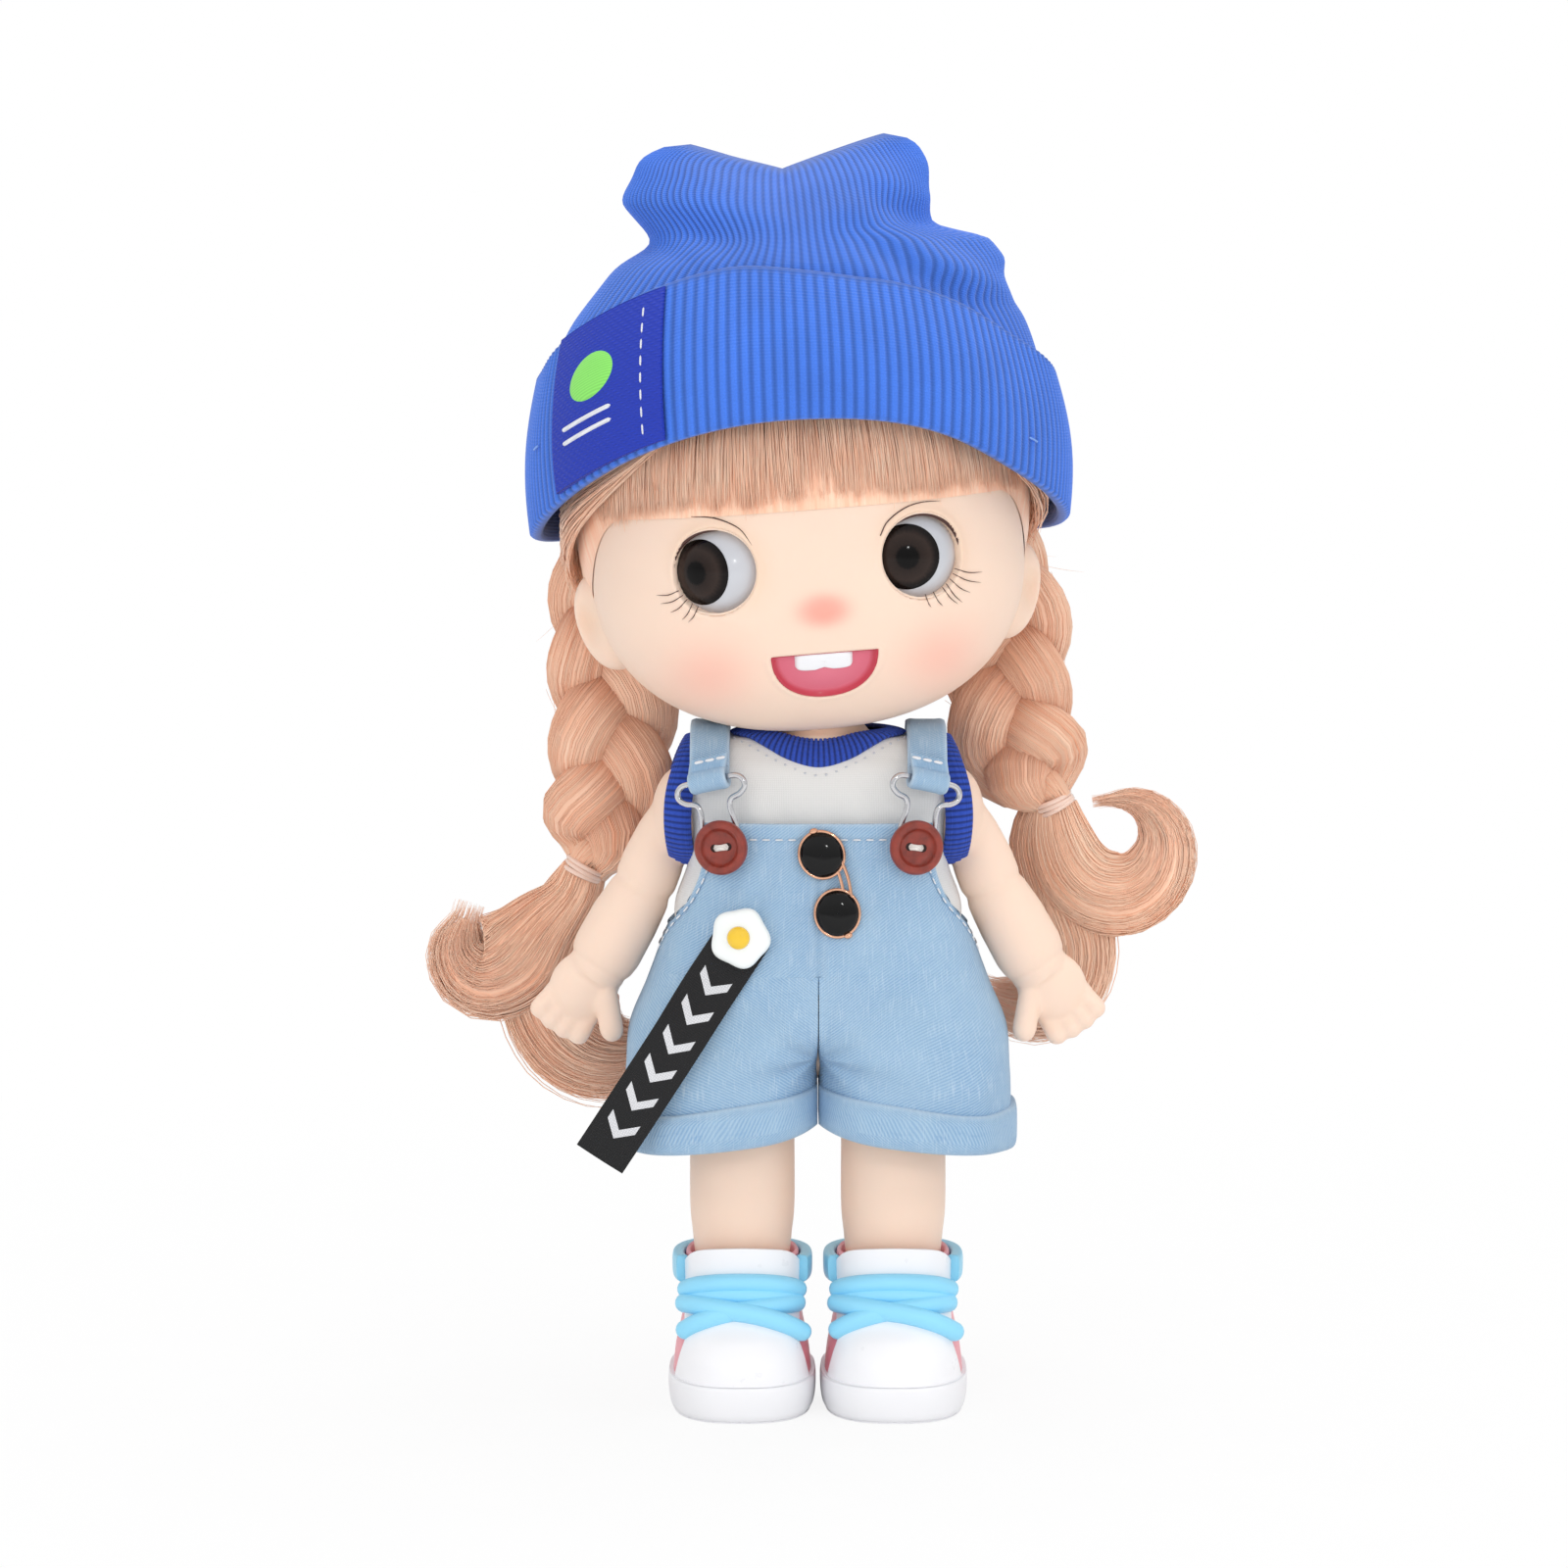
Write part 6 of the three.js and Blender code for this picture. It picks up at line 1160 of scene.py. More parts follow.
def make_scalp_hair():
    """Scalp hair and fringe: fibres laid on the head from under the hat, down the brow and to the plaits."""
    finish = hair_finish()
    rng = np.random.default_rng(5)
    turn = turns(150)[None, :]
    share = shares(40)[:, None]
    edge = 40 - 24 * soft((np.sin(turn) + 0.55) / 0.9)
    level = edge + (80 - edge) * share
    round_uv = (np.linspace(0, 3, 151), shares(41))
    full = 2.4 * soft((np.abs(np.cos(turn)) - 0.72) / 0.2) * soft(share * 2.2)
    cap = head_at(turn, level, full + 0.9 * soft(share * 8) + 0.2)
    parts = [ringed(cap, round_uv)]
    steps = 10
    t = shares(steps)[None, :]
    for side in (-1, 1):
        count = 950
        start = rng.uniform(-58, 92, count)[:, None]
        from_turn = np.radians(start)
        from_level = brim_at(from_turn) + 6
        to_turn = np.radians(rng.normal(24, 7, count))[:, None]
        to_level = rng.normal(30 if side < 0 else 32, 3.2, count)[:, None]
        ease = soft(t) * 0.45 + t * 0.55
        way = from_turn + (to_turn - from_turn) * ease
        bow = 1.2 * np.sin(math.pi * t) * np.sign(50 - start)
        height = from_level + (to_level - from_level) * t - bow
        lift = 1.8 + 3.2 * np.sin(math.pi * t) * rng.uniform(0.2, 1, count)[:, None] + 2.0 * t**2
        paths = head_at(way, height, lift)
        paths[..., 0] *= side
        parts.append(fibres(paths, 0.13, rng.uniform(0, 1, count)))
    put_worn("scalp_hair", parts, finish, ["hair_crown"], merge=False)

    count, steps = looks().fringe_fibres, 7
    t = shares(steps)[None, :]
    spread = np.radians(rng.uniform(-78, 78, count))[:, None]
    clump = 0.012 * np.sin(spread * 40 + rng.normal(0, 0.4, (count, 1)))
    tip = 42.3 - 2.2 * np.abs(spread / np.radians(76)) ** 2 + rng.normal(0, 0.85, (count, 1))
    tip = tip + 0.5 * np.sin(9 * spread + 1) + 0.55 * np.sin(34 * spread)
    height = 67 + (tip - 67) * t
    way = -math.pi / 2 + spread + (clump + rng.normal(0, 0.014, (count, 1))) * t
    layer = 0.5 + rng.uniform(0, 1.6, (count, 1)) * (1 - 0.45 * t) + 0.5 * np.sin(math.pi * t)
    paths = head_at(way, height, layer)
    brow = fibres(paths, 0.1, rng.uniform(0, 1, count))
    turn = np.radians(np.linspace(-78, 78, 160))[None, :] - math.pi / 2
    row = shares(20)[:, None]
    low = 43.4 - 2.2 * np.abs((turn + math.pi / 2) / np.radians(76)) ** 2
    points = head_at(turn, low + (67 - low) * row, 0.2 + 0.5 * soft(row * 6))
    under = surface(points, uv=(np.linspace(0, 2.5, 161), shares(21)))
    put_worn("brow_fringe", [under, brow], finish, ["hair_fringe"], merge=False)


# Plaits: points of the middle line of each, from under the hat to its tie
ROUTES = {
    "right": [
        (-34.5, 18, 169), (-41.0, 20.5, 160.5), (-42.2, 22, 150), (-39.6, 21, 138), (-39.2, 20, 125),
        (-39.4, 20, 114), (-42, 20, 105), (-44.8, 20, 98.6),
    ],
    "left": [
        (29.0, 19, 169), (34.4, 21.5, 161.5), (37.4, 23, 150), (36.0, 22, 136), (38.2, 21, 123),
        (43.0, 20, 115.6), (45.4, 20, 111.4),
    ],
}

# Tails: points of the middle line of each lock, from the tie to its curled tip, and its half widths
TAILS = {
    "right": [
        ([
            (-44.8, 20, 98.6), (-47, 20, 93.5), (-52, 20, 88), (-58.5, 20, 81), (-65, 20, 79),
            (-68.8, 20, 83.5), (-67.6, 20, 89),
        ], [3.6, 4.6, 6.7, 8.8, 8.8, 6.8, 4.2]),
        ([
            (-44.8, 20, 98.6), (-48.5, 22, 91), (-50.6, 23, 82), (-50, 24, 71.5), (-44.5, 24, 64),
            (-37, 24, 62), (-31, 24, 65),
        ], [3.4, 5.2, 8.0, 9.4, 9.6, 8.6, 6.0]),
    ],
    "left": [
        ([
            (45.4, 20, 111.4), (46.4, 20, 105), (48.6, 20, 99), (53, 20, 94.8), (59.5, 20, 93.8),
            (65, 20, 97.4), (67, 20, 104.3), (64.4, 20, 109.8), (60, 20, 112.2), (56, 20, 112),
        ], [3.6, 5.4, 6.4, 6.8, 7.0, 6.4, 5.4, 4.2, 2.8, 1.6]),
        ([
            (45.0, 21, 112), (43.6, 22, 104), (46.5, 23, 94), (49.6, 24, 83), (46.5, 24, 74.5),
            (39.5, 24, 71.5), (33, 24, 74),
        ], [4.2, 5.8, 6.4, 7.0, 7.4, 7.0, 5.0]),
    ],
}

# The body and heights given with the plaits and tails for their lower part to pass from the head to it;
# put() does not use them
HAIR_BEND = ("torso", 150, 105)


def route_frame(route, steps):
    """Points of a route at equal spaces with its side and face directions."""
    path = evenly(spline(route, 200), steps)
    along = unit(np.gradient(path, axis=0))
    side = unit(np.cross(along, np.array([0.0, 1, 0])))
    return path, along, side, np.cross(side, along)


# Plaits: swing and lift of a strand, its half width, flatness and fibres, the stray hairs and the tie
PLAIT_SWING = 6.2
PLAIT_LIFT = -3.4
STRAND_HALF_WIDTH = 6.6
STRAND_FLAT = 0.82
STRAND_FIBRES = 220
STRAY_HAIRS = 26
FIBRE_RADIUS = 0.11
TIE_RADIUS = 3.6


def plait_strand(route, draw, phase, rng):
    """Strand of a plait: a core that swings aside by sin(phase) and lifts by sin(2 phase), under fibres that
    wind round it. Its tone paints shade on it where it dives under the next strand, and a little all along."""
    path, _, side, face = route
    t = shares(len(path))
    swing = draw * PLAIT_SWING * np.sin(phase)
    lift = draw * PLAIT_LIFT * np.sin(2 * phase)
    core = path + side * swing[:, None] + face * lift[:, None]
    plump = draw * STRAND_HALF_WIDTH
    # Painted shade: strongest where the strands cross, a little along all the strand, none where it thins at
    # root and tie.
    under_shade = (0.14 + 0.6 * bell(np.sin(phase), 0.45)) * soft((draw - 0.5) / 0.3)
    girth = plump * 0.98 * round_ends(len(path), 0.03)
    each = (STRAND_FIBRES, 1)
    around = turns(STRAND_FIBRES)[:, None] + rng.normal(0, 0.05, each)
    around = around + 0.9 * t + 0.05 * np.sin(9 * t + rng.uniform(0, 6, each))
    out = 0.968 + rng.uniform(0, 0.03, each)
    out = out + 0.008 * np.sin(14 * t + rng.uniform(0, 6, each))
    forward = unit(np.gradient(core, axis=0))
    flank = unit(np.cross(forward, np.array([0.31, 0.93, 0.2])))
    front = np.cross(forward, flank)
    reach = out * plump
    paths = core + (reach * np.cos(around))[..., None] * flank
    paths = paths + (reach * STRAND_FLAT * np.sin(around))[..., None] * front
    return [
        tubes(core[None], girth[None], 36, None, STRAND_FLAT, tone=under_shade),
        tubes(paths, FIBRE_RADIUS, 3, rng.uniform(0, 1, STRAND_FIBRES), tone=under_shade),
    ]


def stray_hairs(route, rng):
    """Hairs that leave a plait at a slant and curl aside with the square of their length."""
    path, along, side, face = route
    each = (STRAY_HAIRS, 1)
    at = rng.integers(4, len(path) - 12, STRAY_HAIRS)
    t = shares(8)[:, None]
    root = path[at] + 6 * rng.normal(0, 1, each) * side[at]
    root = root + face[at] * rng.uniform(-6, 6, each)
    way = along[at] + side[at] * rng.normal(0, 0.5, each)
    way = unit(way + face[at] * rng.normal(0, 0.5, each))
    curl = side[at] * rng.normal(0, 3, each)
    loose = root[:, None] + way[:, None] * 11 * t + curl[:, None] * t**2
    return fibres(loose, 0.045, rng.uniform(0.5, 1, STRAY_HAIRS))


def tie_loops(route):
    """Elastic tie: three tilted rings round the end of a plait."""
    path, along, side, face = (values[-1] for values in route)
    turn = np.linspace(0, 2 * math.pi, 49)[:, None]
    ring = TIE_RADIUS * (np.cos(turn) * side + np.sin(turn) * face)
    loops = []
    for shift in (-0.8, 0.1, 0.9):
        tilt = 0.5 * math.sin(7 * shift) * np.cos(turn)
        loop = path + ring + along * (shift + tilt)
        loops.append(tubes(loop[None], 0.5, 8, over=tuple(along)))
    return loops


def make_plaits():
    """Plaits: three strands a third of a phase apart, drawn in at root and tie, with stray hairs."""
    finish = hair_finish()
    band = moulded_finish("clear_elastic", linear(244, 214, 198), 0.2, 0.95, 0.5)
    for name, seed, twists in (("right", 21, 1.6), ("left", 22, 1.44)):
        rng = np.random.default_rng(seed)
        route = route_frame(ROUTES[name], 36)
        t = shares(36)
        draw = 0.35 + 0.25 * soft(t / 0.14) + 0.4 * soft((t - 0.1) / 0.42)
        draw = np.minimum(draw, 0.36 + 0.64 * soft((1 - t) / 0.15))
        parts = []
        for strand in range(3):
            parts += plait_strand(route, draw, 2 * math.pi * (twists * t + strand / 3), rng)
        parts.append(stray_hairs(route, rng))
        put(f"{name}_plait", parts, finish, "head", [f"{name}_braid"], False, HAIR_BEND)
        tie = tie_loops(route)
        put(f"{name}_tie_loops", tie, band, "head", [f"{name}_hair_tie"], True, HAIR_BEND)


def make_tails():
    """Tails: each lock is a core under fibres along a curled route, spread over an oval that frays."""
    finish = hair_finish()
    for name, seed in (("right", 31), ("left", 32)):
        rng = np.random.default_rng(seed)
        parts = []
        for route, widths in TAILS[name]:
            steps = 22
            path, along, side, face = route_frame(route, steps)
            t = shares(steps)
            wide = np.interp(t, np.linspace(0, 1, len(widths)), widths) * 1.14
            shrink = np.sqrt(np.maximum(1 - t**5, 0.02))
            parts.append(tubes(path[None], (wide * 0.95 * shrink)[None], 36, None, 0.64, over=(0, 1, 0)))
            spread = wide * np.sqrt(1 - 0.75 * t**5)
            count = 560
            angle = rng.uniform(0, 2 * math.pi, (count, 1))
            spin = angle + 0.4 * t[None, :] * rng.normal(1, 0.4, (count, 1))
            fray = 1 + 0.16 * rng.normal(0, 1, (count, 1)) * t[None, :] ** 3
            reach = np.where(rng.uniform(0, 1, (count, 1)) < 0.85, 0.955, 1.03) * fray
            stop = np.clip(rng.normal(0.97, 0.07, (count, 1)), 0.7, 1.08)
            place = np.clip(t[None, :] * stop, 0, 1) * (steps - 1)
            low = np.minimum(place.astype(int), steps - 2)
            part = (place - low)[..., None]
            over = np.maximum(t[None, :] * stop - 1, 0)[..., None] * 40

            def at(values):
                """Values of the route at the fibres' places along it."""
                return values[low] * (1 - part) + values[low + 1] * part

            size = at(spread[:, None])[..., 0] * reach
            deep = 0.64 * size
            wave = 0.15 * np.sin(8 * t[None, :] + rng.uniform(0, 6, (count, 1)))
            paths = at(path) + ((size * np.cos(spin) + wave)[..., None]) * at(side)
            paths = paths + (deep * np.sin(spin))[..., None] * at(face) + over * at(along)
            parts.append(fibres(paths, FIBRE_RADIUS, rng.uniform(0, 1, count)))
        put(f"{name}_curled_tail", parts, finish, "head", [f"{name}_tail"], False, HAIR_BEND)


# Body


def torso_rings(layer, count, low=None):
    """Rings of the torso moved out by a layer, splined up the body."""
    run = np.gradient(TORSO[:, 1])
    rise = np.gradient(TORSO[:, 0])
    slant = np.hypot(run, rise)
    grown = TORSO.copy()
    grown[:, 0] += layer * np.maximum(-run / slant, 0)
    grown[:, 1] += layer * rise / slant
    grown[:, 2] += layer * rise / slant
    rows = spline(grown, count)
    if low is not None:
        rows = rows[rows[:, 0] >= low]
    z, wide, deep, square = (rows[:, k][:, None] for k in range(4))
    return oval(turns(160)[None, :], wide, deep, square, z), rows


def torso_top(x, y, layer):
    """Height of the torso's upper face, moved out by a layer, over points of the ground plan."""
    rows = torso_rings(layer, 300)[1]
    x, y = np.abs(x)[..., None], np.abs(y)[..., None]
    inside = (x / rows[:, 1]) ** rows[:, 3] + (y / rows[:, 2]) ** rows[:, 3]
    last = len(rows) - 1 - np.argmax((inside <= 1)[..., ::-1], -1)
    last = np.where((inside <= 1).any(-1), last, 0)
    after = np.minimum(last + 1, len(rows) - 1)
    here = np.take_along_axis(inside, last[..., None], -1)[..., 0]
    there = np.take_along_axis(inside, after[..., None], -1)[..., 0]
    share = np.clip((1 - here) / np.maximum(there - here, 1e-6), 0, 1)
    return rows[last, 0] + (rows[after, 0] - rows[last, 0]) * share


def torso_parts():
    """Torso: its rings closed below, a neck knob turned about Z, and the bar between the hip openings."""
    points = torso_rings(0.0, 60)[0]
    turn = turns(160)
    neck = np.array([
        [126.6, 11.5], [127.4, 9.6], [128.6, 8.6], [130, 8.4], [133, 8.2], [137, 6], [139, 0.05],
    ])
    stem = joined(neck[:, 1:] * np.cos(turn), neck[:, 1:] * np.sin(turn), neck[:, :1])
    start = points[:1] * np.array([0.02, 0.02, 1])
    body = ringed(np.concatenate([start, points, stem]))
    around = np.linspace(2 * math.pi, 0, 32, endpoint=False)
    ends = np.array([[-7.2, 0.05], [-7.2, 8.6], [7.2, 8.6], [7.2, 0.05]])
    bar = joined(ends[:, :1], ends[:, 1:] * np.cos(around), 70 + ends[:, 1:] * np.sin(around))
    return [body, ringed(bar[:, ::-1])]


def down(tilt):
    """Direction that leans outwards from straight down by a tilt in degrees."""
    return np.array([math.sin(math.radians(tilt)), 0, -math.cos(math.radians(tilt))])


def finger(line, size, way, over, radius):
    """Finger: a tube along a line of points with a round tip beyond its end."""
    tip = np.concatenate([line, line[-1:] + way * np.linspace(0.3, over, 10)[:, None]])
    cap = np.sqrt(np.maximum(1 - np.linspace(0.15, 1, 10) ** 2, 1e-3)) * radius
    return tubes(tip[None], np.concatenate([size, cap])[None], 20, over=(0, 1, 0))


def arm_parts():
    """The left arm: a tube dented at elbow and wrist, a shoulder and a palm as eggs, and five fingers."""
    elbow = SHOULDER + 17.6 * down(21)
    wrist = elbow + 17.4 * down(29)
    hand = down(35)
    across = np.array([hand[2], 0, -hand[0]])
    route = [SHOULDER, (SHOULDER + elbow) / 2, elbow, (elbow + wrist) / 2, wrist, wrist + 3 * hand]
    path = spline(route, 90)
    t = shares(90)
    radius = np.interp(t, shares(8), [3.2, 4.9, 5.8, 5.9, 6.5, 6.6, 5.5, 4.9])
    radius = radius * (1 - 0.09 * bell(t - 0.405, 0.018) - 0.1 * bell(t - 0.8, 0.014))
    limb = tubes(path[None], (radius * round_ends(90, 0.03))[None], 40, over=(0, 1, 0))
    axes = np.stack([across, np.array([0.0, 1, 0]), -hand])
    ball = ellipsoid(SHOULDER + np.array([-1.1, 0, -3.0]), (5.8, 9.6, 9.2))
    palm = ellipsoid(wrist + 5 * hand, (6.5, 4.1, 7.0), axes)
    parts = [limb, ball, palm]
    for n in range(4):
        offset = (n - 1.5) * 2.513
        start = wrist + 7.5 * hand + offset * across
        reach = 6.3 - 0.55 * abs(n - 1.5)
        stop = start + reach * hand + 0.16 * offset * across + np.array([0, -0.8, 0])
        line = shares(24)[:, None]
        bones = start + (stop - start) * line + np.array([0, 0.5, 0]) * np.sin(math.pi * line)
        size = 2.05 * (1 - 0.06 * bell(line[:, 0] - 0.55, 0.08))
        parts.append(finger(bones, size, hand, 2.0, 2.05))
    base = wrist + 3.5 * hand + 3.9 * across + np.array([0, -2.0, 0])
    end = base + 7 * down(-11) + np.array([0, -1.6, 0])
    thumb = base + (end - base) * shares(20)[:, None]
    parts.append(finger(thumb, np.full(20, 2.3), down(-11), 2.2, 2.2))
    return parts


def leg_part():
    """The left leg: rounded rings of the table with a faint knee, closed at the foot and at the hip."""
    rows = spline(LEG, 90)
    turn = turns(96)[None, :]
    z, wide, deep, ahead = (rows[:, k][:, None] for k in range(4))
    dent = 1 - 0.035 * bell(z - 41.5, 1.6) * soft(-np.sin(turn))
    points = oval(turn, wide * dent, deep * dent, 2.1, z, (LEG_X, -ahead))[::-1]
    hip, foot = points[-1].mean(0), points[0].mean(0)
    rim = points[-1:] - hip
    close = [hip + rim * 0.6 + [0, 0, 4], hip + rim * 0.01 + [0, 0, 5]]
    return ringed(np.concatenate([foot + (points[:1] - foot) * 0.01, points, *close]))


def make_body():
    """Skin of the torso, arms and legs. Each arm is fused from its parts and smoothed."""
    finish = skin_finish()
    put("torso_skin", torso_parts(), finish, "torso", ["torso"])
    parts = arm_parts()
    for side in SIDES:
        arm = put_side(side, "arm_skin", parts, finish, f"{side}_arm", "arm")
        modifier(arm, "REMESH", mode="VOXEL", voxel_size=0.00042, use_smooth_shade=True)
        modifier(arm, "SMOOTH", factor=0.5, iterations=9)
    leg = leg_part()
    for side in SIDES:
        put_side(side, "leg_skin", leg, finish, f"{side}_leg", "leg")


# Shirt


def cloth_uv(points):
    """Cloth coordinates: the way round the doll and the height."""
    return framed(26 * np.arctan2(points[..., 0], -points[..., 1])), framed(points[..., 2])


def neck_band():
    """Neck band: a flat closed section that runs in from the shirt's cut edge, carried round the neck."""
    ribs = 84
    turn = even_turns(ribs * 7, 15, 11, 2)[None, :]
    loop = turns(28)[:, None]
    across = 0.5 - 0.5 * np.cos(loop)
    across = soft(across) * 0.4 + across * 0.6
    profile = rib(ribs, 7)
    flat_x = (16.2 - 3.8 * across) * np.cos(turn)
    flat_y = -1.0 + (12.7 - 3.0 * across) * np.sin(turn)
    base = np.stack([flat_x, flat_y, torso_top(flat_x, flat_y, 1.0) + 0.2 + 0.9 * across**2], -1)
    out = unit(joined(np.cos(turn), 1.3 * np.sin(turn), 0.9))
    ridge = np.where(np.sin(loop) > 0, 0.3, 0.0) * profile
    lift = 0.55 * bent(np.sin(loop), 0.6) + ridge + 0.3 * np.sin(math.pi * across)
    points = base + out * lift[..., None]
    # Tone: painted shade in the rib valleys and on the half of the band that lies against the shirt.
    tone = (profile * soft(np.sin(loop) * 3 + 1))[::-1]
    run = (np.linspace(0, 90, ribs * 7 + 1), np.linspace(0, 10, 29))
    return surface(points[::-1], (True, True), run, tone)


def armhole_band():
    """The left armhole's band: a flat closed section carried round the shoulder's axis."""
    ribs = 64
    loop = turns(28)[:, None]
    lean = math.radians(5)
    axis = np.array([math.cos(lean), 0, math.sin(lean)])
    upward = np.array([-math.sin(lean), 0, math.cos(lean)])
    turn = turns(ribs * 7)[None, :]
    profile = rib(ribs, 7)
    wide = 2.6 * bent(np.cos(loop), 0.5) - 0.2
    reach = 11.7 + 0.65 * bent(np.sin(loop), 0.6) + 0.2 * profile * np.where(np.sin(loop) > -0.2, 1, 0)
    reach = reach - 0.2 * np.maximum(wide, 0)
    spoke = np.cos(turn)[..., None] * upward + np.sin(turn)[..., None] * np.array([0, -1.0, 0])
    drawn = 2.6 * np.maximum(np.cos(turn), 0) ** 2 + 1.8 * np.maximum(-np.cos(turn), 0) ** 2
    points = np.array([26.3, 0, 114.8]) + spoke * reach[..., None] + axis * (wide - drawn)[..., None]
    # Tone: painted shade in the rib valleys and on the band's inner half.
    tone = profile * soft(np.sin(loop) * 2 + 1)
    return surface(points, (True, True), (np.linspace(0, 80, ribs * 7 + 1), np.linspace(0, 13, 29)), tone)


def make_shirt():
    """Shirt: the torso's rings moved out and cut to the neck band, with ribbed neck and armhole bands."""
    points = torso_rings(1.0, 90, 79)[0]
    x, y, z = points[..., 0], points[..., 1], points[..., 2]
    under_shade = 0.25 * np.sin(x * 0.7 + z * 0.25) * bell(z - 112, 9) * soft(-y / 8)
    billow = 3.5 * np.sign(x) * soft((np.abs(x) - 16.5) / 5) * bell(z - 95, 6.5)
    points = points + np.stack([billow, -under_shade, 0 * x], -1)
    inside = np.sqrt((points[..., 0] / 14.2) ** 2 + ((points[..., 1] + 1) / 10.7) ** 2)
    cut = (inside < 1)[..., None]
    held = points / np.maximum(inside, 0.05)[..., None]
    held[..., 2] = torso_top(held[..., 0], held[..., 1], 1.0)
    points = np.where(cut, held, points)
    part = ringed(points, cloth_uv(points))
    shirt = put("jersey_shirt", part, shirt_finish(), "torso", ["shirt"])
    modifier(shirt, "SOLIDIFY", thickness=looks().jersey_thickness, offset=-1)

    # The dark colour is the rib colour darkened for the painted shade in the rib valleys.
    light, dark = shade("rib"), shade("rib", 0.4)
    band = knit_finish("rib_band", light, dark, 0.5)
    put("rib_collar", neck_band(), band, "torso", ["shirt_collar"])

    seam = np.linspace(math.radians(200), math.radians(340), 200)
    path = np.stack([18.4 * np.cos(seam), -1 + 13.25 * np.sin(seam), 0 * seam], -1)
    path[:, 2] = torso_top(path[:, 0], path[:, 1], 1.1) + 0.05
    dots = stitches(path, 0.5, 1.5, 0.2)
    put("collar_seam", dots, thread_finish("seam_thread", linear(206, 210, 218)), "torso")

    sleeve = armhole_band()
    for side in SIDES:
        put_side(side, "armhole_band", sleeve, band, "torso", "armhole_rib")


# Dungarees


def denim_front(x, z, layer=0.0):
    """Depth of the dungarees' front at a width and height: a super-ellipse of the table's row."""
    wide = from_table(DENIM, z, 1) + layer
    deep = from_table(DENIM, z, 2) + layer
    square = from_table(DENIM, z, 3)
    return -deep * (1 - np.clip(np.abs(x) / wide, 0, 0.98) ** square) ** (1 / square)


def seat_at(x, z):
    """A place on the dungarees' front: its point and three axes, the last one outwards."""
    x, z = float(x), float(z)
    y = denim_front(x, z)
    out = unit(np.array([(denim_front(x + 0.1, z) - y) / 0.1, -1.0, (denim_front(x, z + 0.1) - y) / 0.1]))
    across = unit(np.array([1.0, 0, 0]) - out * out[0])
    return np.array([x, y, z]), np.stack([across, np.cross(out, across), out])


def seated(part, place, lean=0.0):
    """A part drawn flat, turned by a lean and set on a place."""
    middle, axes = place
    c, s = math.cos(lean), math.sin(lean)
    turn = np.array([[c, s, 0], [-s, c, 0], [0, 0, 1]])
    return moved(part, lambda p: middle + (p @ turn) @ axes)


def panel_spread(z, top):
    """Angle from the middle to a panel's edge: the side seam below, the bib's width above, eased between."""
    full = from_table(DENIM, z, 1)
    square = from_table(DENIM, z, 3)
    rise = np.clip((z - BIB_FROM) / (top - BIB_FROM), 0, 1)
    bib = np.arcsin(np.clip((BIB_HALF_WIDTH / full) ** (square / 2), 0, 0.98))
    return 1.5708 + (bib - 1.5708) * soft(rise * 1.35)


def panel_at(u, z, top, facing, layer=0.0):
    """Point of the front or back panel at a share of its width and a height."""
    square = from_table(DENIM, z, 3)
    turn = panel_spread(z, top) * (2 * u - 1)
    return joined(
        (from_table(DENIM, z, 1) + layer) * bent(np.sin(turn), 2 / square),
        facing * (from_table(DENIM, z, 2) + layer) * bent(np.cos(turn), 2 / square),
        z,
    )


def short_at(turn, z, layer, wall=None):
    """Point of a short leg at a turn (0 at the outer side) and a height. Above the crotch it follows the
    seat's outline, below it is a ring of its own. Its inner side is drawn up, and a wall share closes it."""
    wide = from_table(DENIM, z, 1) + layer
    deep = from_table(DENIM, z, 2) + layer
    own = soft((74 - z) / 15)
    inner = 0.1 - 0.4 * layer * own
    share = (1 + bent(np.cos(turn), 0.86)) / 2
    wave = 0.45 * soft((72 - z) / 15) * np.cos(6 * turn)
    x = inner + (wide + wave * share - inner) * share
    seat = (1 - np.clip(x / wide, 0, 1) ** 2.6) ** (1 / 2.6)
    ring = np.abs(np.sin(turn)) ** (2 / 2.9)
    y = np.sign(np.sin(turn)) * (deep + 0.7 * wave) * (seat + (ring - seat) * own)
    if wall is not None:
        y = np.where(wall >= 0, y * (1 - 2 * np.clip(wall, 0, 1)), y)
    high = z + 4.6 * (1 - share) ** 1.5 * soft((72 - z) / 15)
    return joined(x, y, high)


def short_leg():
    """The left short leg: rings from hem to waist with an inner wall, and folds that fan from the crotch."""
    end = math.pi - 1e-3
    turn = np.concatenate([np.linspace(-end, end, 150), np.full(11, end)])[None, :]
    wall = np.concatenate([np.full(150, -1.0), shares(13)[1:-1]])[None, :]
    z = np.linspace(HEM_Z - 1.5, WAIST_Z + 0.3, 70)[:, None]
    points = short_at(turn, z, 0.02, wall)
    x, y = points[..., 0], points[..., 1]
    ray = np.arctan2(z - CROTCH_Z - 1, x + 1.0)
    fold = 0.9 * np.sin(ray * 7 + 0.6) * np.exp(-np.hypot(x, z - CROTCH_Z) / 12)
    fold = fold + 0.5 * np.sin(x * 0.35 + z * 0.16) * bell(z - 72, 9)
    points[..., 1] += np.sign(y) * fold * soft((WAIST_Z - 1 - z) / 6) * soft((x - 0.3) / 2) * (wall < 0)
    tone = 0.1 * np.exp(-x / 9) * bell(z - 70, 14)
    return ringed(points, cloth_uv(points), tone)


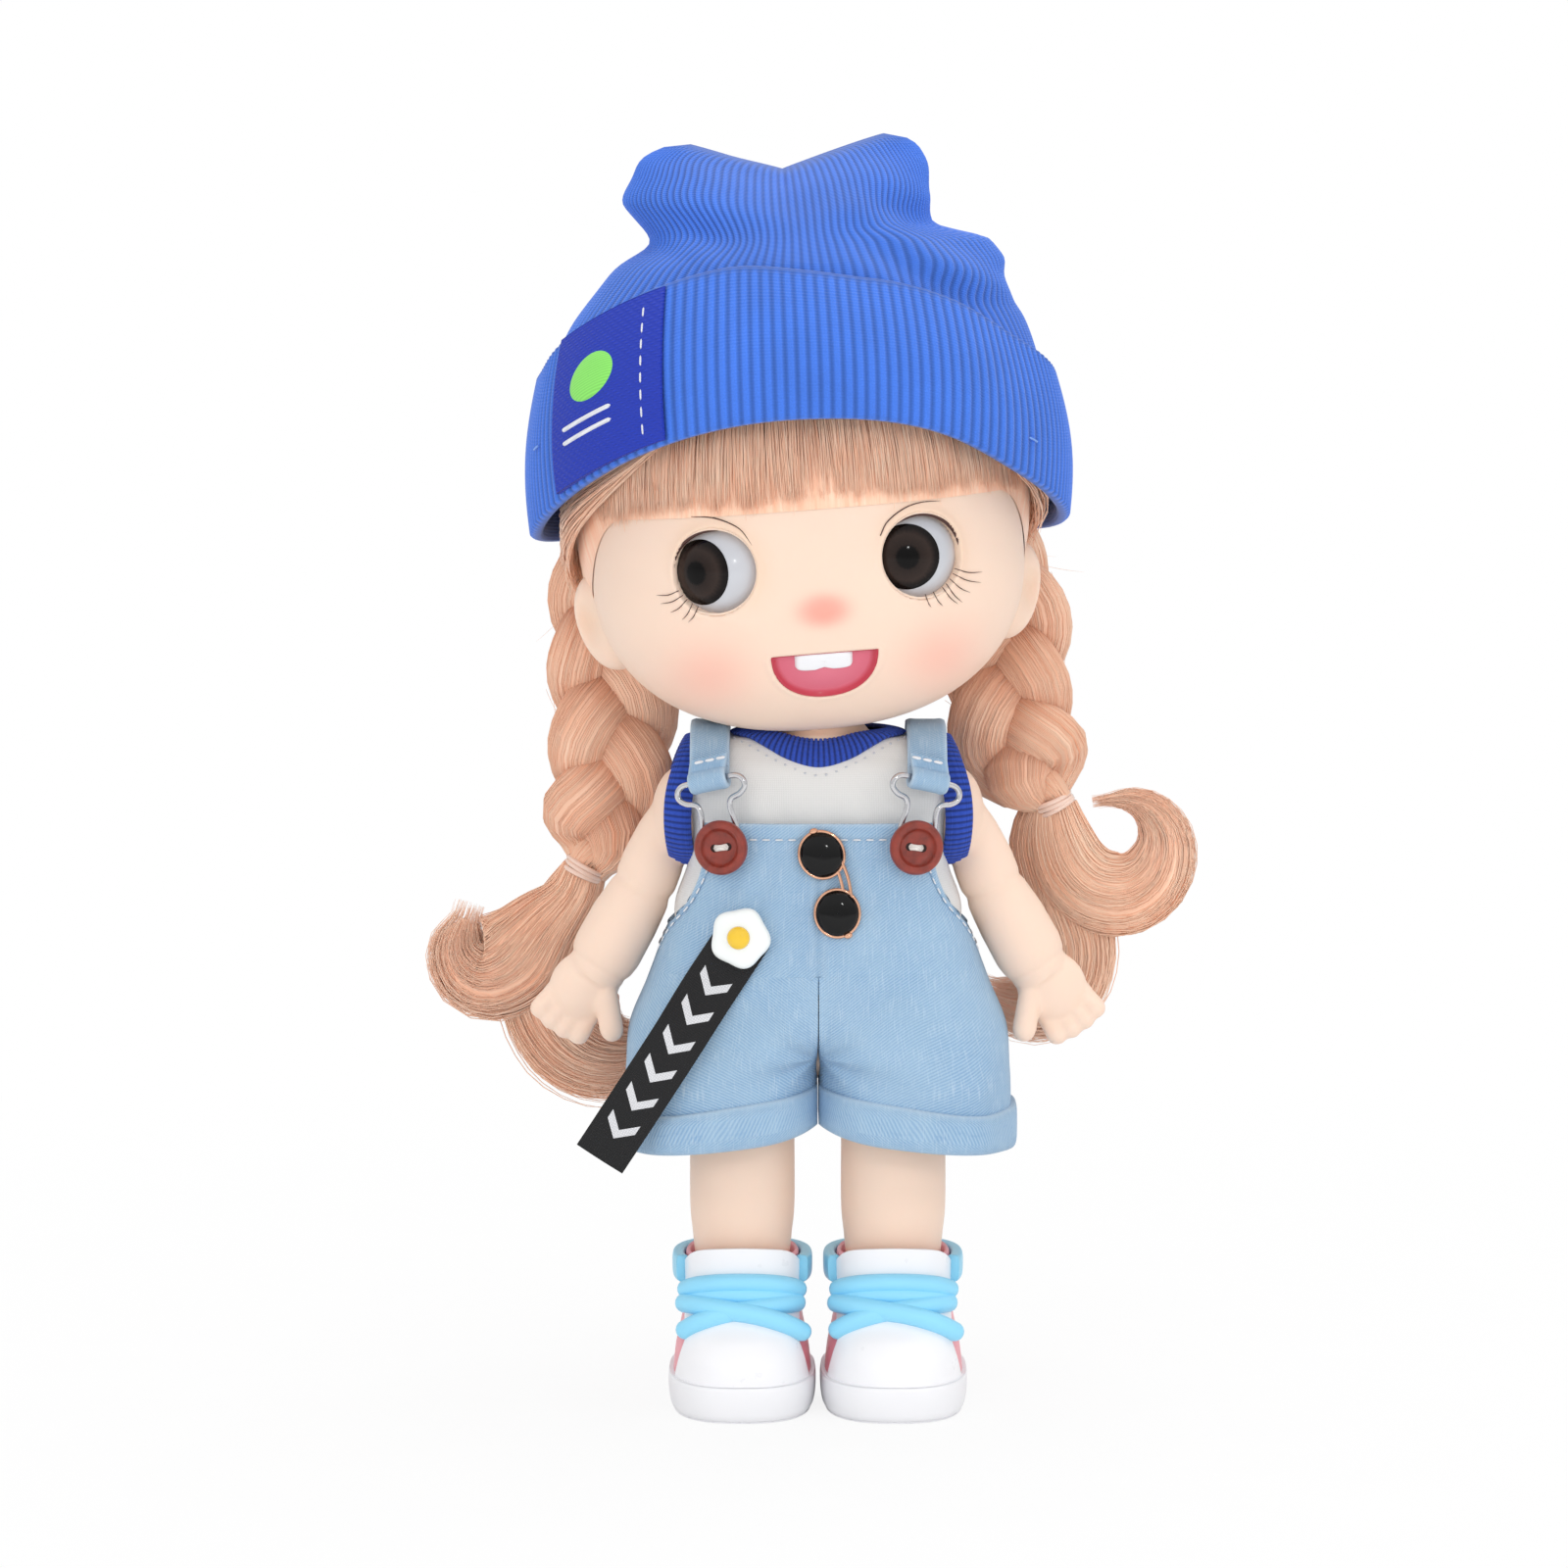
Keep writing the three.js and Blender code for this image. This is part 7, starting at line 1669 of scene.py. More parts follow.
def short_cuff():
    """The left turned-up cuff: a flat closed section carried round the short leg's hem."""
    loop = turns(30)[:, None]
    around = np.linspace(-math.pi, math.pi, 190, endpoint=False)[None, :]
    high = 52.9 + 3.9 * bent(np.sin(loop), 0.5) + 0.25 * np.sin(3 * around + 1) * np.sin(loop)
    out = 0.35 + 0.95 * bent(np.cos(loop), 0.55) + 0.35 * np.sin(5 * around) * soft((np.cos(loop) + 1) / 2)
    points = short_at(around, high + 0 * around, 0.0)
    flat = points - np.array([18.2, 0, 0])
    flat[..., 2] = 0
    points = points + unit(flat) * out[..., None]
    points[..., 0] = np.maximum(points[..., 0], 0.1)
    tone = 0.6 * bell(np.sin(loop) - 1, 0.25) + 0.45 * bell(np.sin(loop) + 1, 0.2)
    tone = np.clip(tone, 0, 1)[::-1]
    run = (np.linspace(0, 150, 191), np.linspace(0, 21, 31))
    return surface(points[::-1], (True, True), run, tone)


def make_dungarees():
    """Dungarees: front and back panels cut as a bib, two short legs and turned-up cuffs."""
    finish = denim_finish()
    white = thread_finish("white_thread", linear(238, 240, 244))
    for name, top, facing in (("front", BIB_TOP, -1), ("back", BACK_TOP, 1)):
        u = shares(241)[None, :]
        z = np.linspace(WAIST_Z - 3, top, 100)[:, None]
        points = panel_at(u, z + 0 * u, top, facing)
        x = points[..., 0]
        hem = 0.35 * soft((z - top + 3.4) / 0.5) * (1 - soft((z - top + 0.4) / 0.4) * 0.4)
        side = np.minimum(u, 1 - u) * panel_spread(z, top) * 2 * 24
        edge = 0.3 * soft((2.6 - side) / 0.5) * soft((z - BIB_FROM) / 3)
        seam = -0.5 * bell(x, 0.45) + 0.25 * bell(np.abs(x) - 1.2, 0.6)
        fold = 0.35 * np.sin(x * 0.32 + z * 0.2) * bell(z - 90, 8)
        fold = fold + 0.2 * np.sin(x * 0.9 - z * 0.3) * bell(z - 99, 6)
        fold = fold * soft((z - 84) / 4)
        pinch = -0.35 * (bell(z - top + 3.0, 0.35) + bell(side - 2.4, 0.35) * soft((z - BIB_FROM) / 3))
        tuck = -0.6 * soft((WAIST_Z + 0.3 - z) / 1.5)
        points[..., 1] += facing * (hem + edge + seam * soft((top - 3.2 - z) / 1.0) + fold + pinch + tuck)
        worn_edge = 0.5 * soft((0.9 - side) / 0.9) * soft((z - BIB_FROM) / 3)
        tone = 0.55 * soft((z - top + 0.9) / 0.9) + worn_edge + 0.2 * bell(np.abs(x) - 1.0, 0.4)
        tone = np.clip(tone, 0, 1)
        if facing > 0:
            points, tone = points[:, ::-1], tone[:, ::-1]
        part = surface(points, uv=cloth_uv(points), tone=tone)
        panel = put(f"denim_{name}", part, finish, "torso", [f"overalls_{name}"])
        modifier(panel, "SOLIDIFY", thickness=looks().denim_thickness, offset=-1)
        z = np.linspace(BIB_FROM + 1.5, top - 1, 90)
        lines = []
        for s in (-1, 1):
            spread = panel_spread(z, top)
            inset = 0.5 + s * (0.5 - 2.4 / (2 * spread * 24))
            path = panel_at(inset, z, top, facing, 0.25)
            lines.append(stitches(path, 1.6, 0.8, 0.17))
        inset = np.linspace(0.07, 0.93, 120)
        path = panel_at(inset, np.full(120, top - 3.0), top, facing, 0.25)
        lines.append(stitches(path, 1.6, 0.8, 0.17))
        put(f"denim_{name}_stitching", lines, white, "torso")

    legs, cuff = short_leg(), short_cuff()
    for side in SIDES:
        bend = (f"{side}_leg", *SHORTS_BEND)
        leg = put_side(side, "denim_short", legs, finish, "torso", "shorts_leg", bend)
        put_side(side, "denim_cuff", cuff, finish, "torso", "cuff", bend)


STRAP_X = 20.2
STRAP_HALF_WIDTH = 3.7
STRAP_HALF_THICKNESS = 0.55
BUCKLE_WIRE = 0.56


def strap_path(x):
    """Path of a strap at a width, up the chest and down the back, on the torso moved out."""
    rows = torso_rings(3.0, 400)[1]
    wide = rows[:, 1]
    fits = wide > abs(x) * 1.0005
    z, deep = rows[fits, 0], rows[fits, 2]
    y = deep * (1 - (abs(x) / wide[fits]) ** rows[fits, 3]) ** (1 / rows[fits, 3])
    front = np.stack([np.full(z.size, x), -y, z], -1)
    back = np.stack([np.full(z.size, x), y, z], -1)[::-1]
    return front, back


def make_straps():
    """Straps: a flat band carried over the shoulder and folded round the bar of a bent-wire buckle."""
    finish = denim_finish()
    wire = metal_finish("nickel_wire", linear(205, 205, 208), 0.2)
    white = thread_finish("strap_thread", linear(240, 241, 245))
    place = seat_at(*BUTTON_AT)
    lean = -math.atan2(2.9, 12.6)
    half = [
        (0, -3.3), (2.5, -2.3), (3.3, 0), (3.2, 4), (2.9, 6.8), (3.4, 8.4), (5.3, 9.1), (6.5, 10.2),
        (6.4, 11.6), (5.2, 12.5), (2.8, 12.6),
    ]
    loop = half + [(-a, b) for a, b in half[:0:-1]]
    curve = evenly(np.concatenate([spline(loop, 240, True), np.array([loop[0]])]), 200)
    flat = np.column_stack([curve, np.full(len(curve), 0.95)])
    bend = seated((flat,), place, lean)[0]
    bow = tubes(bend[None], BUCKLE_WIRE, 12, over=tuple(place[1][2]))
    bar = seated((np.array([[x, 12.6, 0.95] for x in (-4.1, 0, 4.1)]),), place, lean)[0]
    middle, way = bar[1], unit(bar[2] - bar[0])
    front, back = strap_path(STRAP_X)
    front = front[front[:, 2] > middle[2] + 1.2]
    back = back[back[:, 2] > BACK_TOP - 3]
    out = place[1][2]
    up = np.cross(out, way)
    line = evenly(np.concatenate([front, back]), 130)
    cross = turns(44)
    flank = STRAP_HALF_WIDTH * bent(np.cos(cross), 0.35)
    thick = STRAP_HALF_THICKNESS * bent(np.sin(cross), 0.5)
    thick = thick + 0.12 * bell(np.abs(flank) - 2.8, 0.5) * np.sin(cross)

    def band(path, side):
        """The strap's cross section carried along a path and closed at both ends."""
        normal = unit(np.cross(unit(np.gradient(path, axis=0)), side))
        points = path[:, None] + flank[None, :, None] * side + thick[None, :, None] * normal[:, None]
        heart = points.mean(1, keepdims=True)
        closed = heart + (points - heart) * 0.01
        points = np.concatenate([closed[:1], points, closed[-1:]])
        tone = np.clip(0.6 * bell(np.abs(flank) - 3.6, 0.4), 0, 1)[None, :]
        run = (np.append(flank, flank[0]) + 4, np.linspace(0, len(path) * 0.5, len(points) + 1))
        return ringed(points, run, tone)

    side_way = np.array([1.0, 0, 0])
    over = band(line, side_way)
    wrap = np.linspace(math.radians(-80), math.radians(190), 40)
    loop_path = middle + 1.55 * (np.cos(wrap)[:, None] * out - np.sin(wrap)[:, None] * up)
    rise = shares(14)[:, None]
    lap = loop_path[0] + (np.array([STRAP_X + 0.1, 0, middle[2] + 4.4]) - loop_path[0]) * rise
    lap[:, 1] = np.minimum(np.interp(lap[:, 2], front[:, 2], front[:, 1]) - 1.35, loop_path[0][1] + 0.4)
    tail = np.concatenate([lap[::-1], loop_path[1:], front[:3]])
    fold_part = band(evenly(tail, 70), way)
    across = np.linspace(-3.5, 3.5, 40)[:, None]
    seam = lap[-4] + way * across + np.array([0, -0.72, 0])
    sewn = [stitches(seam, 1.9, 0.25, 0.3)]
    for x in (-2.8, 2.8):
        path = line[8:60] + np.array([x, 0, 0])
        along = unit(np.gradient(path, axis=0))
        sewn.append(stitches(path + np.cross(along, side_way) * 0.68, 1.3, 0.7, 0.15))
    for side in SIDES:
        put_side(side, "denim_strap", [over, fold_part], finish, "torso", "strap")
        put_side(side, "strap_stitching", sewn, white, "torso")
        put_side(side, "wire_buckle", bow, wire, "torso", "buckle")


def make_buttons():
    """Buttons: a rounded rim over a dished middle turned about the axis, two dark discs as painted shade in
    the thread holes, and a thread bridge.
    """
    f = Finish("brown_button", coat_weight=0.25, coat_roughness=0.25)
    mark = f.noise(f.place(), 420.0, 5.0, 0.65)
    base = shade("button")
    dark = tuple(c * 0.62 for c in base)
    light = tuple(min(c * 1.35, 1) for c in base)
    f.colour(f.ramp(mark, (0.3, dark), (0.55, base), (0.8, light)))
    f.rough(f.ramp(mark, (0.3, 0.32), (0.8, 0.5)))
    f.bump(mark, 0.00006, 0.5)
    hole_shade = moulded_finish("button_hole", linear(40, 16, 12), 0.7)
    cotton = thread_finish("button_thread", linear(236, 232, 226))
    rim = np.array([
        [0.01, 1.2], [3.6, 1.2], [4.4, 1.45], [4.95, 2.1], [5.1, 2.8], [4.95, 3.5], [4.5, 3.95], [4.0, 4.0],
        [3.62, 3.8], [3.3, 3.25], [2.9, 2.85], [2.3, 2.68], [1.2, 2.6], [0.01, 2.58],
    ])
    profile = spline(rim, 90)
    profile[:, 0] = np.maximum(profile[:, 0], 0.005)
    disc = lathe(profile, 72)
    # Each hole is a thin dark disc on the dish: painted shade standing for the hole's depth.
    eye = lathe([[0.005, 2.5], [0.72, 2.5], [0.74, 2.66], [0.6, 2.68], [0.005, 2.62]], 24)
    eyes = [moved(eye, lambda p, s=s: p + np.array([s * 1.3, 0, 0.02])) for s in (-1, 1)]
    t = shares(20)
    strands = []
    for k in range(5):
        y = (k - 2) * 0.24
        arch = np.sin(math.pi * t)
        path = joined(-1.35 + 2.7 * t, y * (1 - 0.25 * arch), 2.55 + 0.85 * arch - 0.1 * abs(k - 2))
        strands.append(tubes(path[None], 0.2, 6, over=(0, 0, 1)))
    place = seat_at(*BUTTON_AT)
    lean = math.radians(-8)
    disc, eyes, strands = ([seated(p, place, lean) for p in parts] for parts in ([disc], eyes, strands))
    for side in SIDES:
        put_side(side, "round_button", disc, f.material, "torso", "button")
        put_side(side, "button_holes", eyes, hole_shade, "torso")
        put_side(side, "button_thread", strands, cotton, "torso")


# Sunglasses: a lens's half width and stretch, its distance from the middle, and the wire's radius
LENS_RADIUS = 4.0
LENS_STRETCH = 1.12
LENS_FROM_MIDDLE = 5.6
GLASSES_WIRE = 0.32


def make_charms():
    """Charms: wire sunglasses with domed lenses, and a fried egg with a domed yolk."""
    gold = metal_finish("rose_gold", linear(232, 178, 148), 0.16)
    place = seat_at(*GLASSES_AT)
    lean = math.radians(15)
    ring = np.linspace(0, 2 * math.pi, 73)
    rims, lenses = [], []
    for side in (1, -1):
        middle = side * LENS_FROM_MIDDLE
        reach = LENS_RADIUS * (1 + 0.03 * np.cos(2 * ring + 0.5 * side))
        path = joined(reach * np.cos(ring), reach * LENS_STRETCH * np.sin(ring) + middle, 1.25)
        rims.append(tubes(path[None], GLASSES_WIRE, 10, over=(0, 0, 1)))
        grow = np.array([1.0, 1.0, 0.94, 0.82, 0.64, 0.4, 0.2, 0.01])[:, None]
        high = np.array([0.4, 1.25, 1.75, 2.2, 2.55, 2.75, 2.82, 2.84])[:, None]
        turn = ring[None, :-1]
        span = grow * (LENS_RADIUS - 0.05) * (1 + 0.03 * np.cos(2 * turn + 0.5 * side))
        points = joined(span * np.cos(turn), span * LENS_STRETCH * np.sin(turn) + middle, high)
        lenses.append(ringed(points))
    t = shares(20)
    for x, bow in ((3.6, 0.4), (2.2, 0.1)):
        end = LENS_FROM_MIDDLE - LENS_STRETCH * math.sqrt(LENS_RADIUS**2 - x**2)
        path = np.stack([x - bow + bow * np.sin(math.pi * t), -end + 2 * end * t, np.full(20, 1.35)], -1)
        rims.append(tubes(path[None], GLASSES_WIRE, 8, over=(0, 0, 1)))
    for side, angle in ((1, 1.65), (-1, -1.35)):
        lug = np.array([LENS_RADIUS * math.cos(angle), side * LENS_FROM_MIDDLE + 4.6 * math.sin(angle), 1.4])
        rims.append(ellipsoid(lug, (0.85, 0.6, 0.55), rows=10, sides=16))
    wire = [seated(p, place, lean) for p in rims]
    put("sunglasses_wire", wire, gold, "torso", ["sunglasses_frame"])
    black = moulded_finish("black_lens", linear(5, 5, 6), 0.08, 0.8, 0.0, 0.000004, 0.3)
    for name, part in zip(("upper", "lower"), lenses):
        node = f"sunglasses_{name}_lens"
        put(f"{name}_dark_lens", seated(part, place, lean), black, "torso", [node])

    middle, axes = seat_at(*EGG_AT)
    place = (middle + axes[2] * 1.0, axes)

    def lobes(turn):
        """Five low waves round the egg's edge."""
        return 1 + 0.055 * np.cos(5 * turn + 0.6)

    profile = spline([
        [0.005, 0.3], [4.6, 0.3], [5.3, 0.7], [5.5, 1.5], [5.2, 2.2], [4.5, 2.65], [3.4, 2.85], [2.2, 2.95],
        [0.005, 3.0],
    ], 70)
    profile[:, 0] = np.maximum(profile[:, 0], 0.004)
    white = lathe(profile, 120, lobes)
    yolk = lathe([
        [0.005, 2.9], [2.15, 2.92], [2.1, 3.3], [1.85, 3.7], [1.4, 4.0], [0.8, 4.2], [0.005, 4.26],
    ], 64)
    pale = moulded_finish("egg_white", linear(244, 248, 247), 0.2, 0.97, 0.6)
    yellow = moulded_finish("egg_yolk", linear(250, 205, 40), 0.18, 0.86, 0.6)
    put("egg_white_lobes", seated(white, place), pale, "torso", ["egg_white"])
    put("egg_yolk_dome", seated(yolk, place), yellow, "torso", ["egg_yolk"])


def ribbon_at(u, v, layer):
    """Ribbon: a slanted strip that lies on the bib under the egg and then hangs free past the hem."""
    way = np.array([-math.sin(RIBBON_LEAN), 0, -math.cos(RIBBON_LEAN)])
    side = np.array([math.cos(RIBBON_LEAN), 0, -math.sin(RIBBON_LEAN)])
    top = np.array([EGG_AT[0], 0, EGG_AT[1]]) - 1.2 * way
    run = RIBBON_LENGTH * v
    p = top + run[..., None] * way + (RIBBON_WIDTH * (u - 0.5))[..., None] * side
    low = np.clip((run - 10.05) / 15, 0, 1)
    settle = soft(low)
    laid = denim_front(p[..., 0], p[..., 2]) - 0.3 - 0.44 * low
    p[..., 1] = laid * (1 - settle) + (-21.84 + 0.5 * np.sin(2 * math.pi * v) * low) * settle - layer
    p[..., 1] -= 0.35 * np.sin(math.pi * u) * settle
    return p


def make_ribbon():
    """Ribbon: the strip with a thickness, woven with plain white chevrons on black."""
    f = Finish("black_ribbon", roughness=0.7, sheen_weight=0.04)
    uv = f.place((1, 1, 1), "UV")
    split = f.node("SeparateXYZ", Vector=uv)
    across = f.maths("ABSOLUTE", f.maths("SUBTRACT", split.outputs[0], 5.0))
    slant = f.maths("ADD", split.outputs[1], f.maths("MULTIPLY", across, 0.9))
    period = f.maths("FRACT", f.maths("DIVIDE", slant, 6.2))
    chevron = f.maths("LESS_THAN", period, 0.3)
    inside = f.maths("LESS_THAN", across, 3.0)
    middle = f.maths("MULTIPLY", f.maths("GREATER_THAN", slant, 12.4), f.maths("LESS_THAN", slant, 46.5))
    mark = f.maths("MULTIPLY", f.maths("MULTIPLY", chevron, inside), middle)
    weave = f.maths("MULTIPLY", f.wave(uv, 0.314 / 0.42, "X"), f.wave(uv, 0.314 / 0.42, "Y"))
    black = f.mix(weave, linear(8, 8, 10), linear(24, 24, 27))
    white = f.mix(weave, linear(205, 206, 210), linear(240, 240, 243))
    f.colour(f.mix(mark, black, white))
    f.bump(weave, 0.00012, 0.6)
    u = shares(40)
    section = np.concatenate([u, u[::-1]])[None, :]
    layer = np.concatenate([np.full(40, 0.7), np.full(40, 0.05)])[None, :]
    v = shares(130)[:, None]
    points = ribbon_at(section + 0 * v, v + 0 * section, layer + 0 * v)
    run = (np.append(section[0], 0) * RIBBON_WIDTH, np.linspace(RIBBON_LENGTH, 0, 131))
    wall = ringed(points[::-1], run)
    top, foot = (np.stack([row[:40], row[40:][::-1]]) for row in (points[0], points[-1]))
    caps = [surface(top), surface(foot[::-1])]
    bend = ("right_leg", *SHORTS_BEND)
    ribbon = put("woven_ribbon", [wall] + caps, f.material, "torso", ["ribbon"], True, bend)


# Shoes


def last_at(turn, z, layer=0.0):
    """Point of the shoe's last: a super-ellipse between toe and heel at a height."""
    wide = from_table(LAST, z, 1) + layer
    toe = from_table(LAST, z, 2)
    heel = from_table(LAST, z, 3)
    deep = (toe + heel) / 2 + layer
    return oval(turn, wide, deep, LAST_SQUARE, z, (LEG_X, (heel - toe) / 2))


def make_shoes():
    """Shoes: a rounded sole, then upper, toe cap, tongue, collar and thick laces, all laid on the last."""
    white = moulded_finish("shoe_white", linear(246, 246, 249), 0.3, 0.985)
    sole_white = moulded_finish("sole_white", linear(243, 243, 246), 0.36, 0.98)
    pink = moulded_finish("shoe_pink", shade("shoe_pink"), 0.36, 0.95)
    # Painted shade: the collar is of the laces' blue, taken a tenth darker.
    blue = moulded_finish("shoe_collar_blue", shade("lace", 0.9), 0.34, 0.94)
    lace = moulded_finish("lace_blue", shade("lace"), 0.36, 0.94)
    turn = turns(140)[None, :]

    edge = spline([
        [0.01, 0], [0.84, 0], [0.925, 0.3], [0.968, 1.2], [0.99, 2.6], [1.0, 4.2], [1.0, 6.0],
        [0.992, 6.7], [0.97, 7.05], [0.9, 7.1], [0.01, 7.1],
    ], 90)
    grow, high = edge[:, 0][:, None], edge[:, 1][:, None]
    middle = (LEG_X, SOLE_MIDDLE)
    points = oval(turn, SOLE_HALF_WIDTH * grow, SOLE_HALF_LENGTH * grow, SOLE_SQUARE, high, middle)
    sole = ringed(points)

    z = np.linspace(6.5, 25.0, 50)[:, None]
    inside = np.array([[25.4, -0.5], [28.2, -0.9], [28.8, -1.3], [28.4, -1.8], [20.0, -2.0]])
    lining = last_at(turn, inside[:, :1], inside[:, 1:])
    body = ringed(np.concatenate([last_at(turn, z, -0.25), lining]))

    across = np.linspace(-1, 1, 120)[None, :]
    rise = shares(60)[:, None]
    front = 1.5 * math.pi + across * np.radians(72 - 14 * rise)
    sides = np.abs(across)
    arch = 19.2 - 4.6 * sides**2.2
    z = 6.4 + (arch - 6.4) * rise
    sink = 0.5 * soft((1 - sides) / 0.06) * soft((1 - rise) / 0.06) - 0.4
    cap = surface(last_at(front, z, sink + 0.2))

    across = np.linspace(-1, 1, 70)[None, :]
    top = 30.8 - 1.1 * across**2 - 2.2 * np.abs(across) ** 9
    rise = shares(50)[:, None]
    z = 16.5 + (top - 16.5) * rise
    x = across * 10.9
    wide = from_table(LAST, z, 1) + 0.1
    toe, heel = from_table(LAST, z, 2), from_table(LAST, z, 3)
    share = np.clip(np.abs(x) / wide, 0, 0.98)
    y = (heel - toe) / 2 - (toe + heel) / 2 * (1 - share**LAST_SQUARE) ** (1 / LAST_SQUARE)
    tongue = surface(np.stack([LEG_X + x + 0 * z, y - 0.2, z], -1))

    ring = np.linspace(math.radians(-24), math.radians(204), 130)[:, None]
    loop = turns(36)[None, :]
    out = 0.5 + 1.25 * bent(np.cos(loop), 0.5)
    high = COLLAR_Z + 2.5 * bent(np.sin(loop), 0.5)
    points = last_at(ring, high + 0 * ring, out + 0 * ring)
    heart = points.mean(1, keepdims=True)
    first, last = points[:1] - heart[:1], points[-1:] - heart[-1:]
    start = [heart[:1] + first * k for k in (0.02, 0.75, 0.93)]
    end = [heart[-1:] + last * k for k in (0.93, 0.75, 0.02)]
    collar = ringed(np.concatenate(start + [points] + end)[:, ::-1])

    t = np.linspace(-1, 1, 70)
    bars = [
        (24.5 - 2.6 * t**2, 1.0), (22.1 - 2.2 * t**2, 0.4),
        (19.7 + 2.5 * t - 2.2 * t**2, 0.8), (19.6 - 2.6 * t - 2.2 * t**2, 1.5),
    ]
    for side in SIDES:
        leg = f"{side}_leg"
        ties = []
        for z, layer in bars:
            z = z if side == "left" else z[::-1]
            path = last_at(1.5 * math.pi + math.radians(62) * t, z, layer)
            ties.append(tubes(path[None], (LACE_RADIUS * round_ends(70, 0.06))[None], 16, over=(0, 0, 1)))
        put_side(side, "rubber_sole", sole, sole_white, leg, "sole")
        put_side(side, "pink_quarter", body, pink, leg, "shoe_upper")
        toe_piece = put_side(side, "white_toe", cap, white, leg, "toe_cap")
        flap = put_side(side, "white_tongue", tongue, white, leg, "tongue")
        for piece in (toe_piece, flap):
            modifier(piece, "SOLIDIFY", thickness=0.0012, offset=-1)
            modifier(piece, "BEVEL", width=0.0004, segments=3, limit_method="ANGLE")
        put_side(side, "blue_collar", collar, blue, leg, "shoe_collar")
        put_side(side, "thick_laces", ties, lace, leg, "laces")


# Add-on


def colour_property(name, description, *screen):
    """A colour that a user may change, its default given as a screen colour."""
    return bpy.props.FloatVectorProperty(
        name=name, description=description, subtype="COLOR", size=3, min=0, max=1, default=linear(*screen)
    )


class DollLooks(bpy.types.PropertyGroup):
    """Colours, sizes and counts of the doll's looks."""

    skin: colour_property("Skin", "Colour of the vinyl skin", 247, 219, 199)
    flush: colour_property("Flush", "Colour of the cheeks and nose", 252, 146, 132)
    hair_light: colour_property("Hair light", "Lightest hair fibres", 255, 222, 196)
    hair_dark: colour_property("Hair dark", "Darkest hair fibres", 250, 167, 122)
    knit: colour_property("Hat knit", "Colour of the hat", 70, 130, 244)
    rib: colour_property("Rib bands", "Colour of the neck and armhole bands", 46, 84, 200)
    label: colour_property("Label", "Colour of the woven label", 22, 62, 214)
    shirt: colour_property("Shirt", "Colour of the jersey", 228, 228, 227)
    denim_light: colour_property("Denim light", "Pale threads of the denim", 174, 202, 222)
    denim_dark: colour_property("Denim dark", "Dark threads of the denim", 118, 157, 198)
    button: colour_property("Buttons", "Colour of the buttons", 140, 50, 36)
    shoe_pink: colour_property("Shoe pink", "Colour of the shoes' sides", 240, 152, 164)
    lace: colour_property("Laces", "Colour of the laces", 150, 224, 255)
    hat_ribs: bpy.props.IntProperty(
        name="Hat ribs", description="Knit ribs round the hat", default=150, min=60, max=260
    )
    hat_tip: bpy.props.FloatProperty(
        name="Hat tip", description="How far the hat sits askew", subtype="ANGLE", default=math.radians(3)
    )
    fringe_fibres: bpy.props.IntProperty(
        name="Fringe fibres", description="Number of fibres in the fringe", default=3500, min=100, max=5000
    )
    jersey_thickness: bpy.props.FloatProperty(
        name="Jersey", description="Thickness of the shirt's cloth", subtype="DISTANCE", default=0.0005
    )
    denim_thickness: bpy.props.FloatProperty(
        name="Denim", description="Thickness of the dungarees' cloth", subtype="DISTANCE", default=0.0011
    )


class DOLL_OT_stage(bpy.types.Operator):
    """Builds the floor, the surround, the lamps and the camera."""

    bl_idname = "doll.stage"
    bl_label = "Stage"

    def execute(self, context):
        make_stage()
        return {"FINISHED"}


class DOLL_OT_head(bpy.types.Operator):
    """Builds the head's skin with its ears, nose and openings."""

    bl_idname = "doll.head"
    bl_label = "Head"

    def execute(self, context):
        make_head()
        return {"FINISHED"}


class DOLL_OT_eyes(bpy.types.Operator):
    """Builds the eye balls, irises, lid rims, lid lines and lashes."""

    bl_idname = "doll.eyes"
    bl_label = "Eyes"

    def execute(self, context):
        make_eyes()
        return {"FINISHED"}


class DOLL_OT_mouth(bpy.types.Operator):
    """Builds the mouth's inlay and its teeth."""

    bl_idname = "doll.mouth"
    bl_label = "Mouth"

    def execute(self, context):
        make_mouth()
        return {"FINISHED"}


class DOLL_OT_hat(bpy.types.Operator):
    """Builds the knitted crown, the turned-up cuff and its tacks."""

    bl_idname = "doll.hat"
    bl_label = "Hat"

    def execute(self, context):
        make_hat()
        return {"FINISHED"}


class DOLL_OT_label(bpy.types.Operator):
    """Builds the woven label with its stitches, bars and dot."""

    bl_idname = "doll.label"
    bl_label = "Label"

    def execute(self, context):
        make_label()
        return {"FINISHED"}


class DOLL_OT_scalp_hair(bpy.types.Operator):
    """Builds the hair under the hat and the fringe."""

    bl_idname = "doll.scalp_hair"
    bl_label = "Scalp hair and fringe"

    def execute(self, context):
        make_scalp_hair()
        return {"FINISHED"}


class DOLL_OT_plaits(bpy.types.Operator):
    """Builds the two plaits and their elastic ties."""

    bl_idname = "doll.plaits"
    bl_label = "Plaits"

    def execute(self, context):
        make_plaits()
        return {"FINISHED"}


class DOLL_OT_tails(bpy.types.Operator):
    """Builds the two curled tails under the ties."""

    bl_idname = "doll.tails"
    bl_label = "Tails"

    def execute(self, context):
        make_tails()
        return {"FINISHED"}


class DOLL_OT_body(bpy.types.Operator):
    """Builds the skin of the torso, the arms and the legs."""

    bl_idname = "doll.body"
    bl_label = "Body"

    def execute(self, context):
        make_body()
        return {"FINISHED"}


class DOLL_OT_shirt(bpy.types.Operator):
    """Builds the jersey shirt, its neck band and its armhole bands."""

    bl_idname = "doll.shirt"
    bl_label = "Shirt"

    def execute(self, context):
        make_shirt()
        return {"FINISHED"}


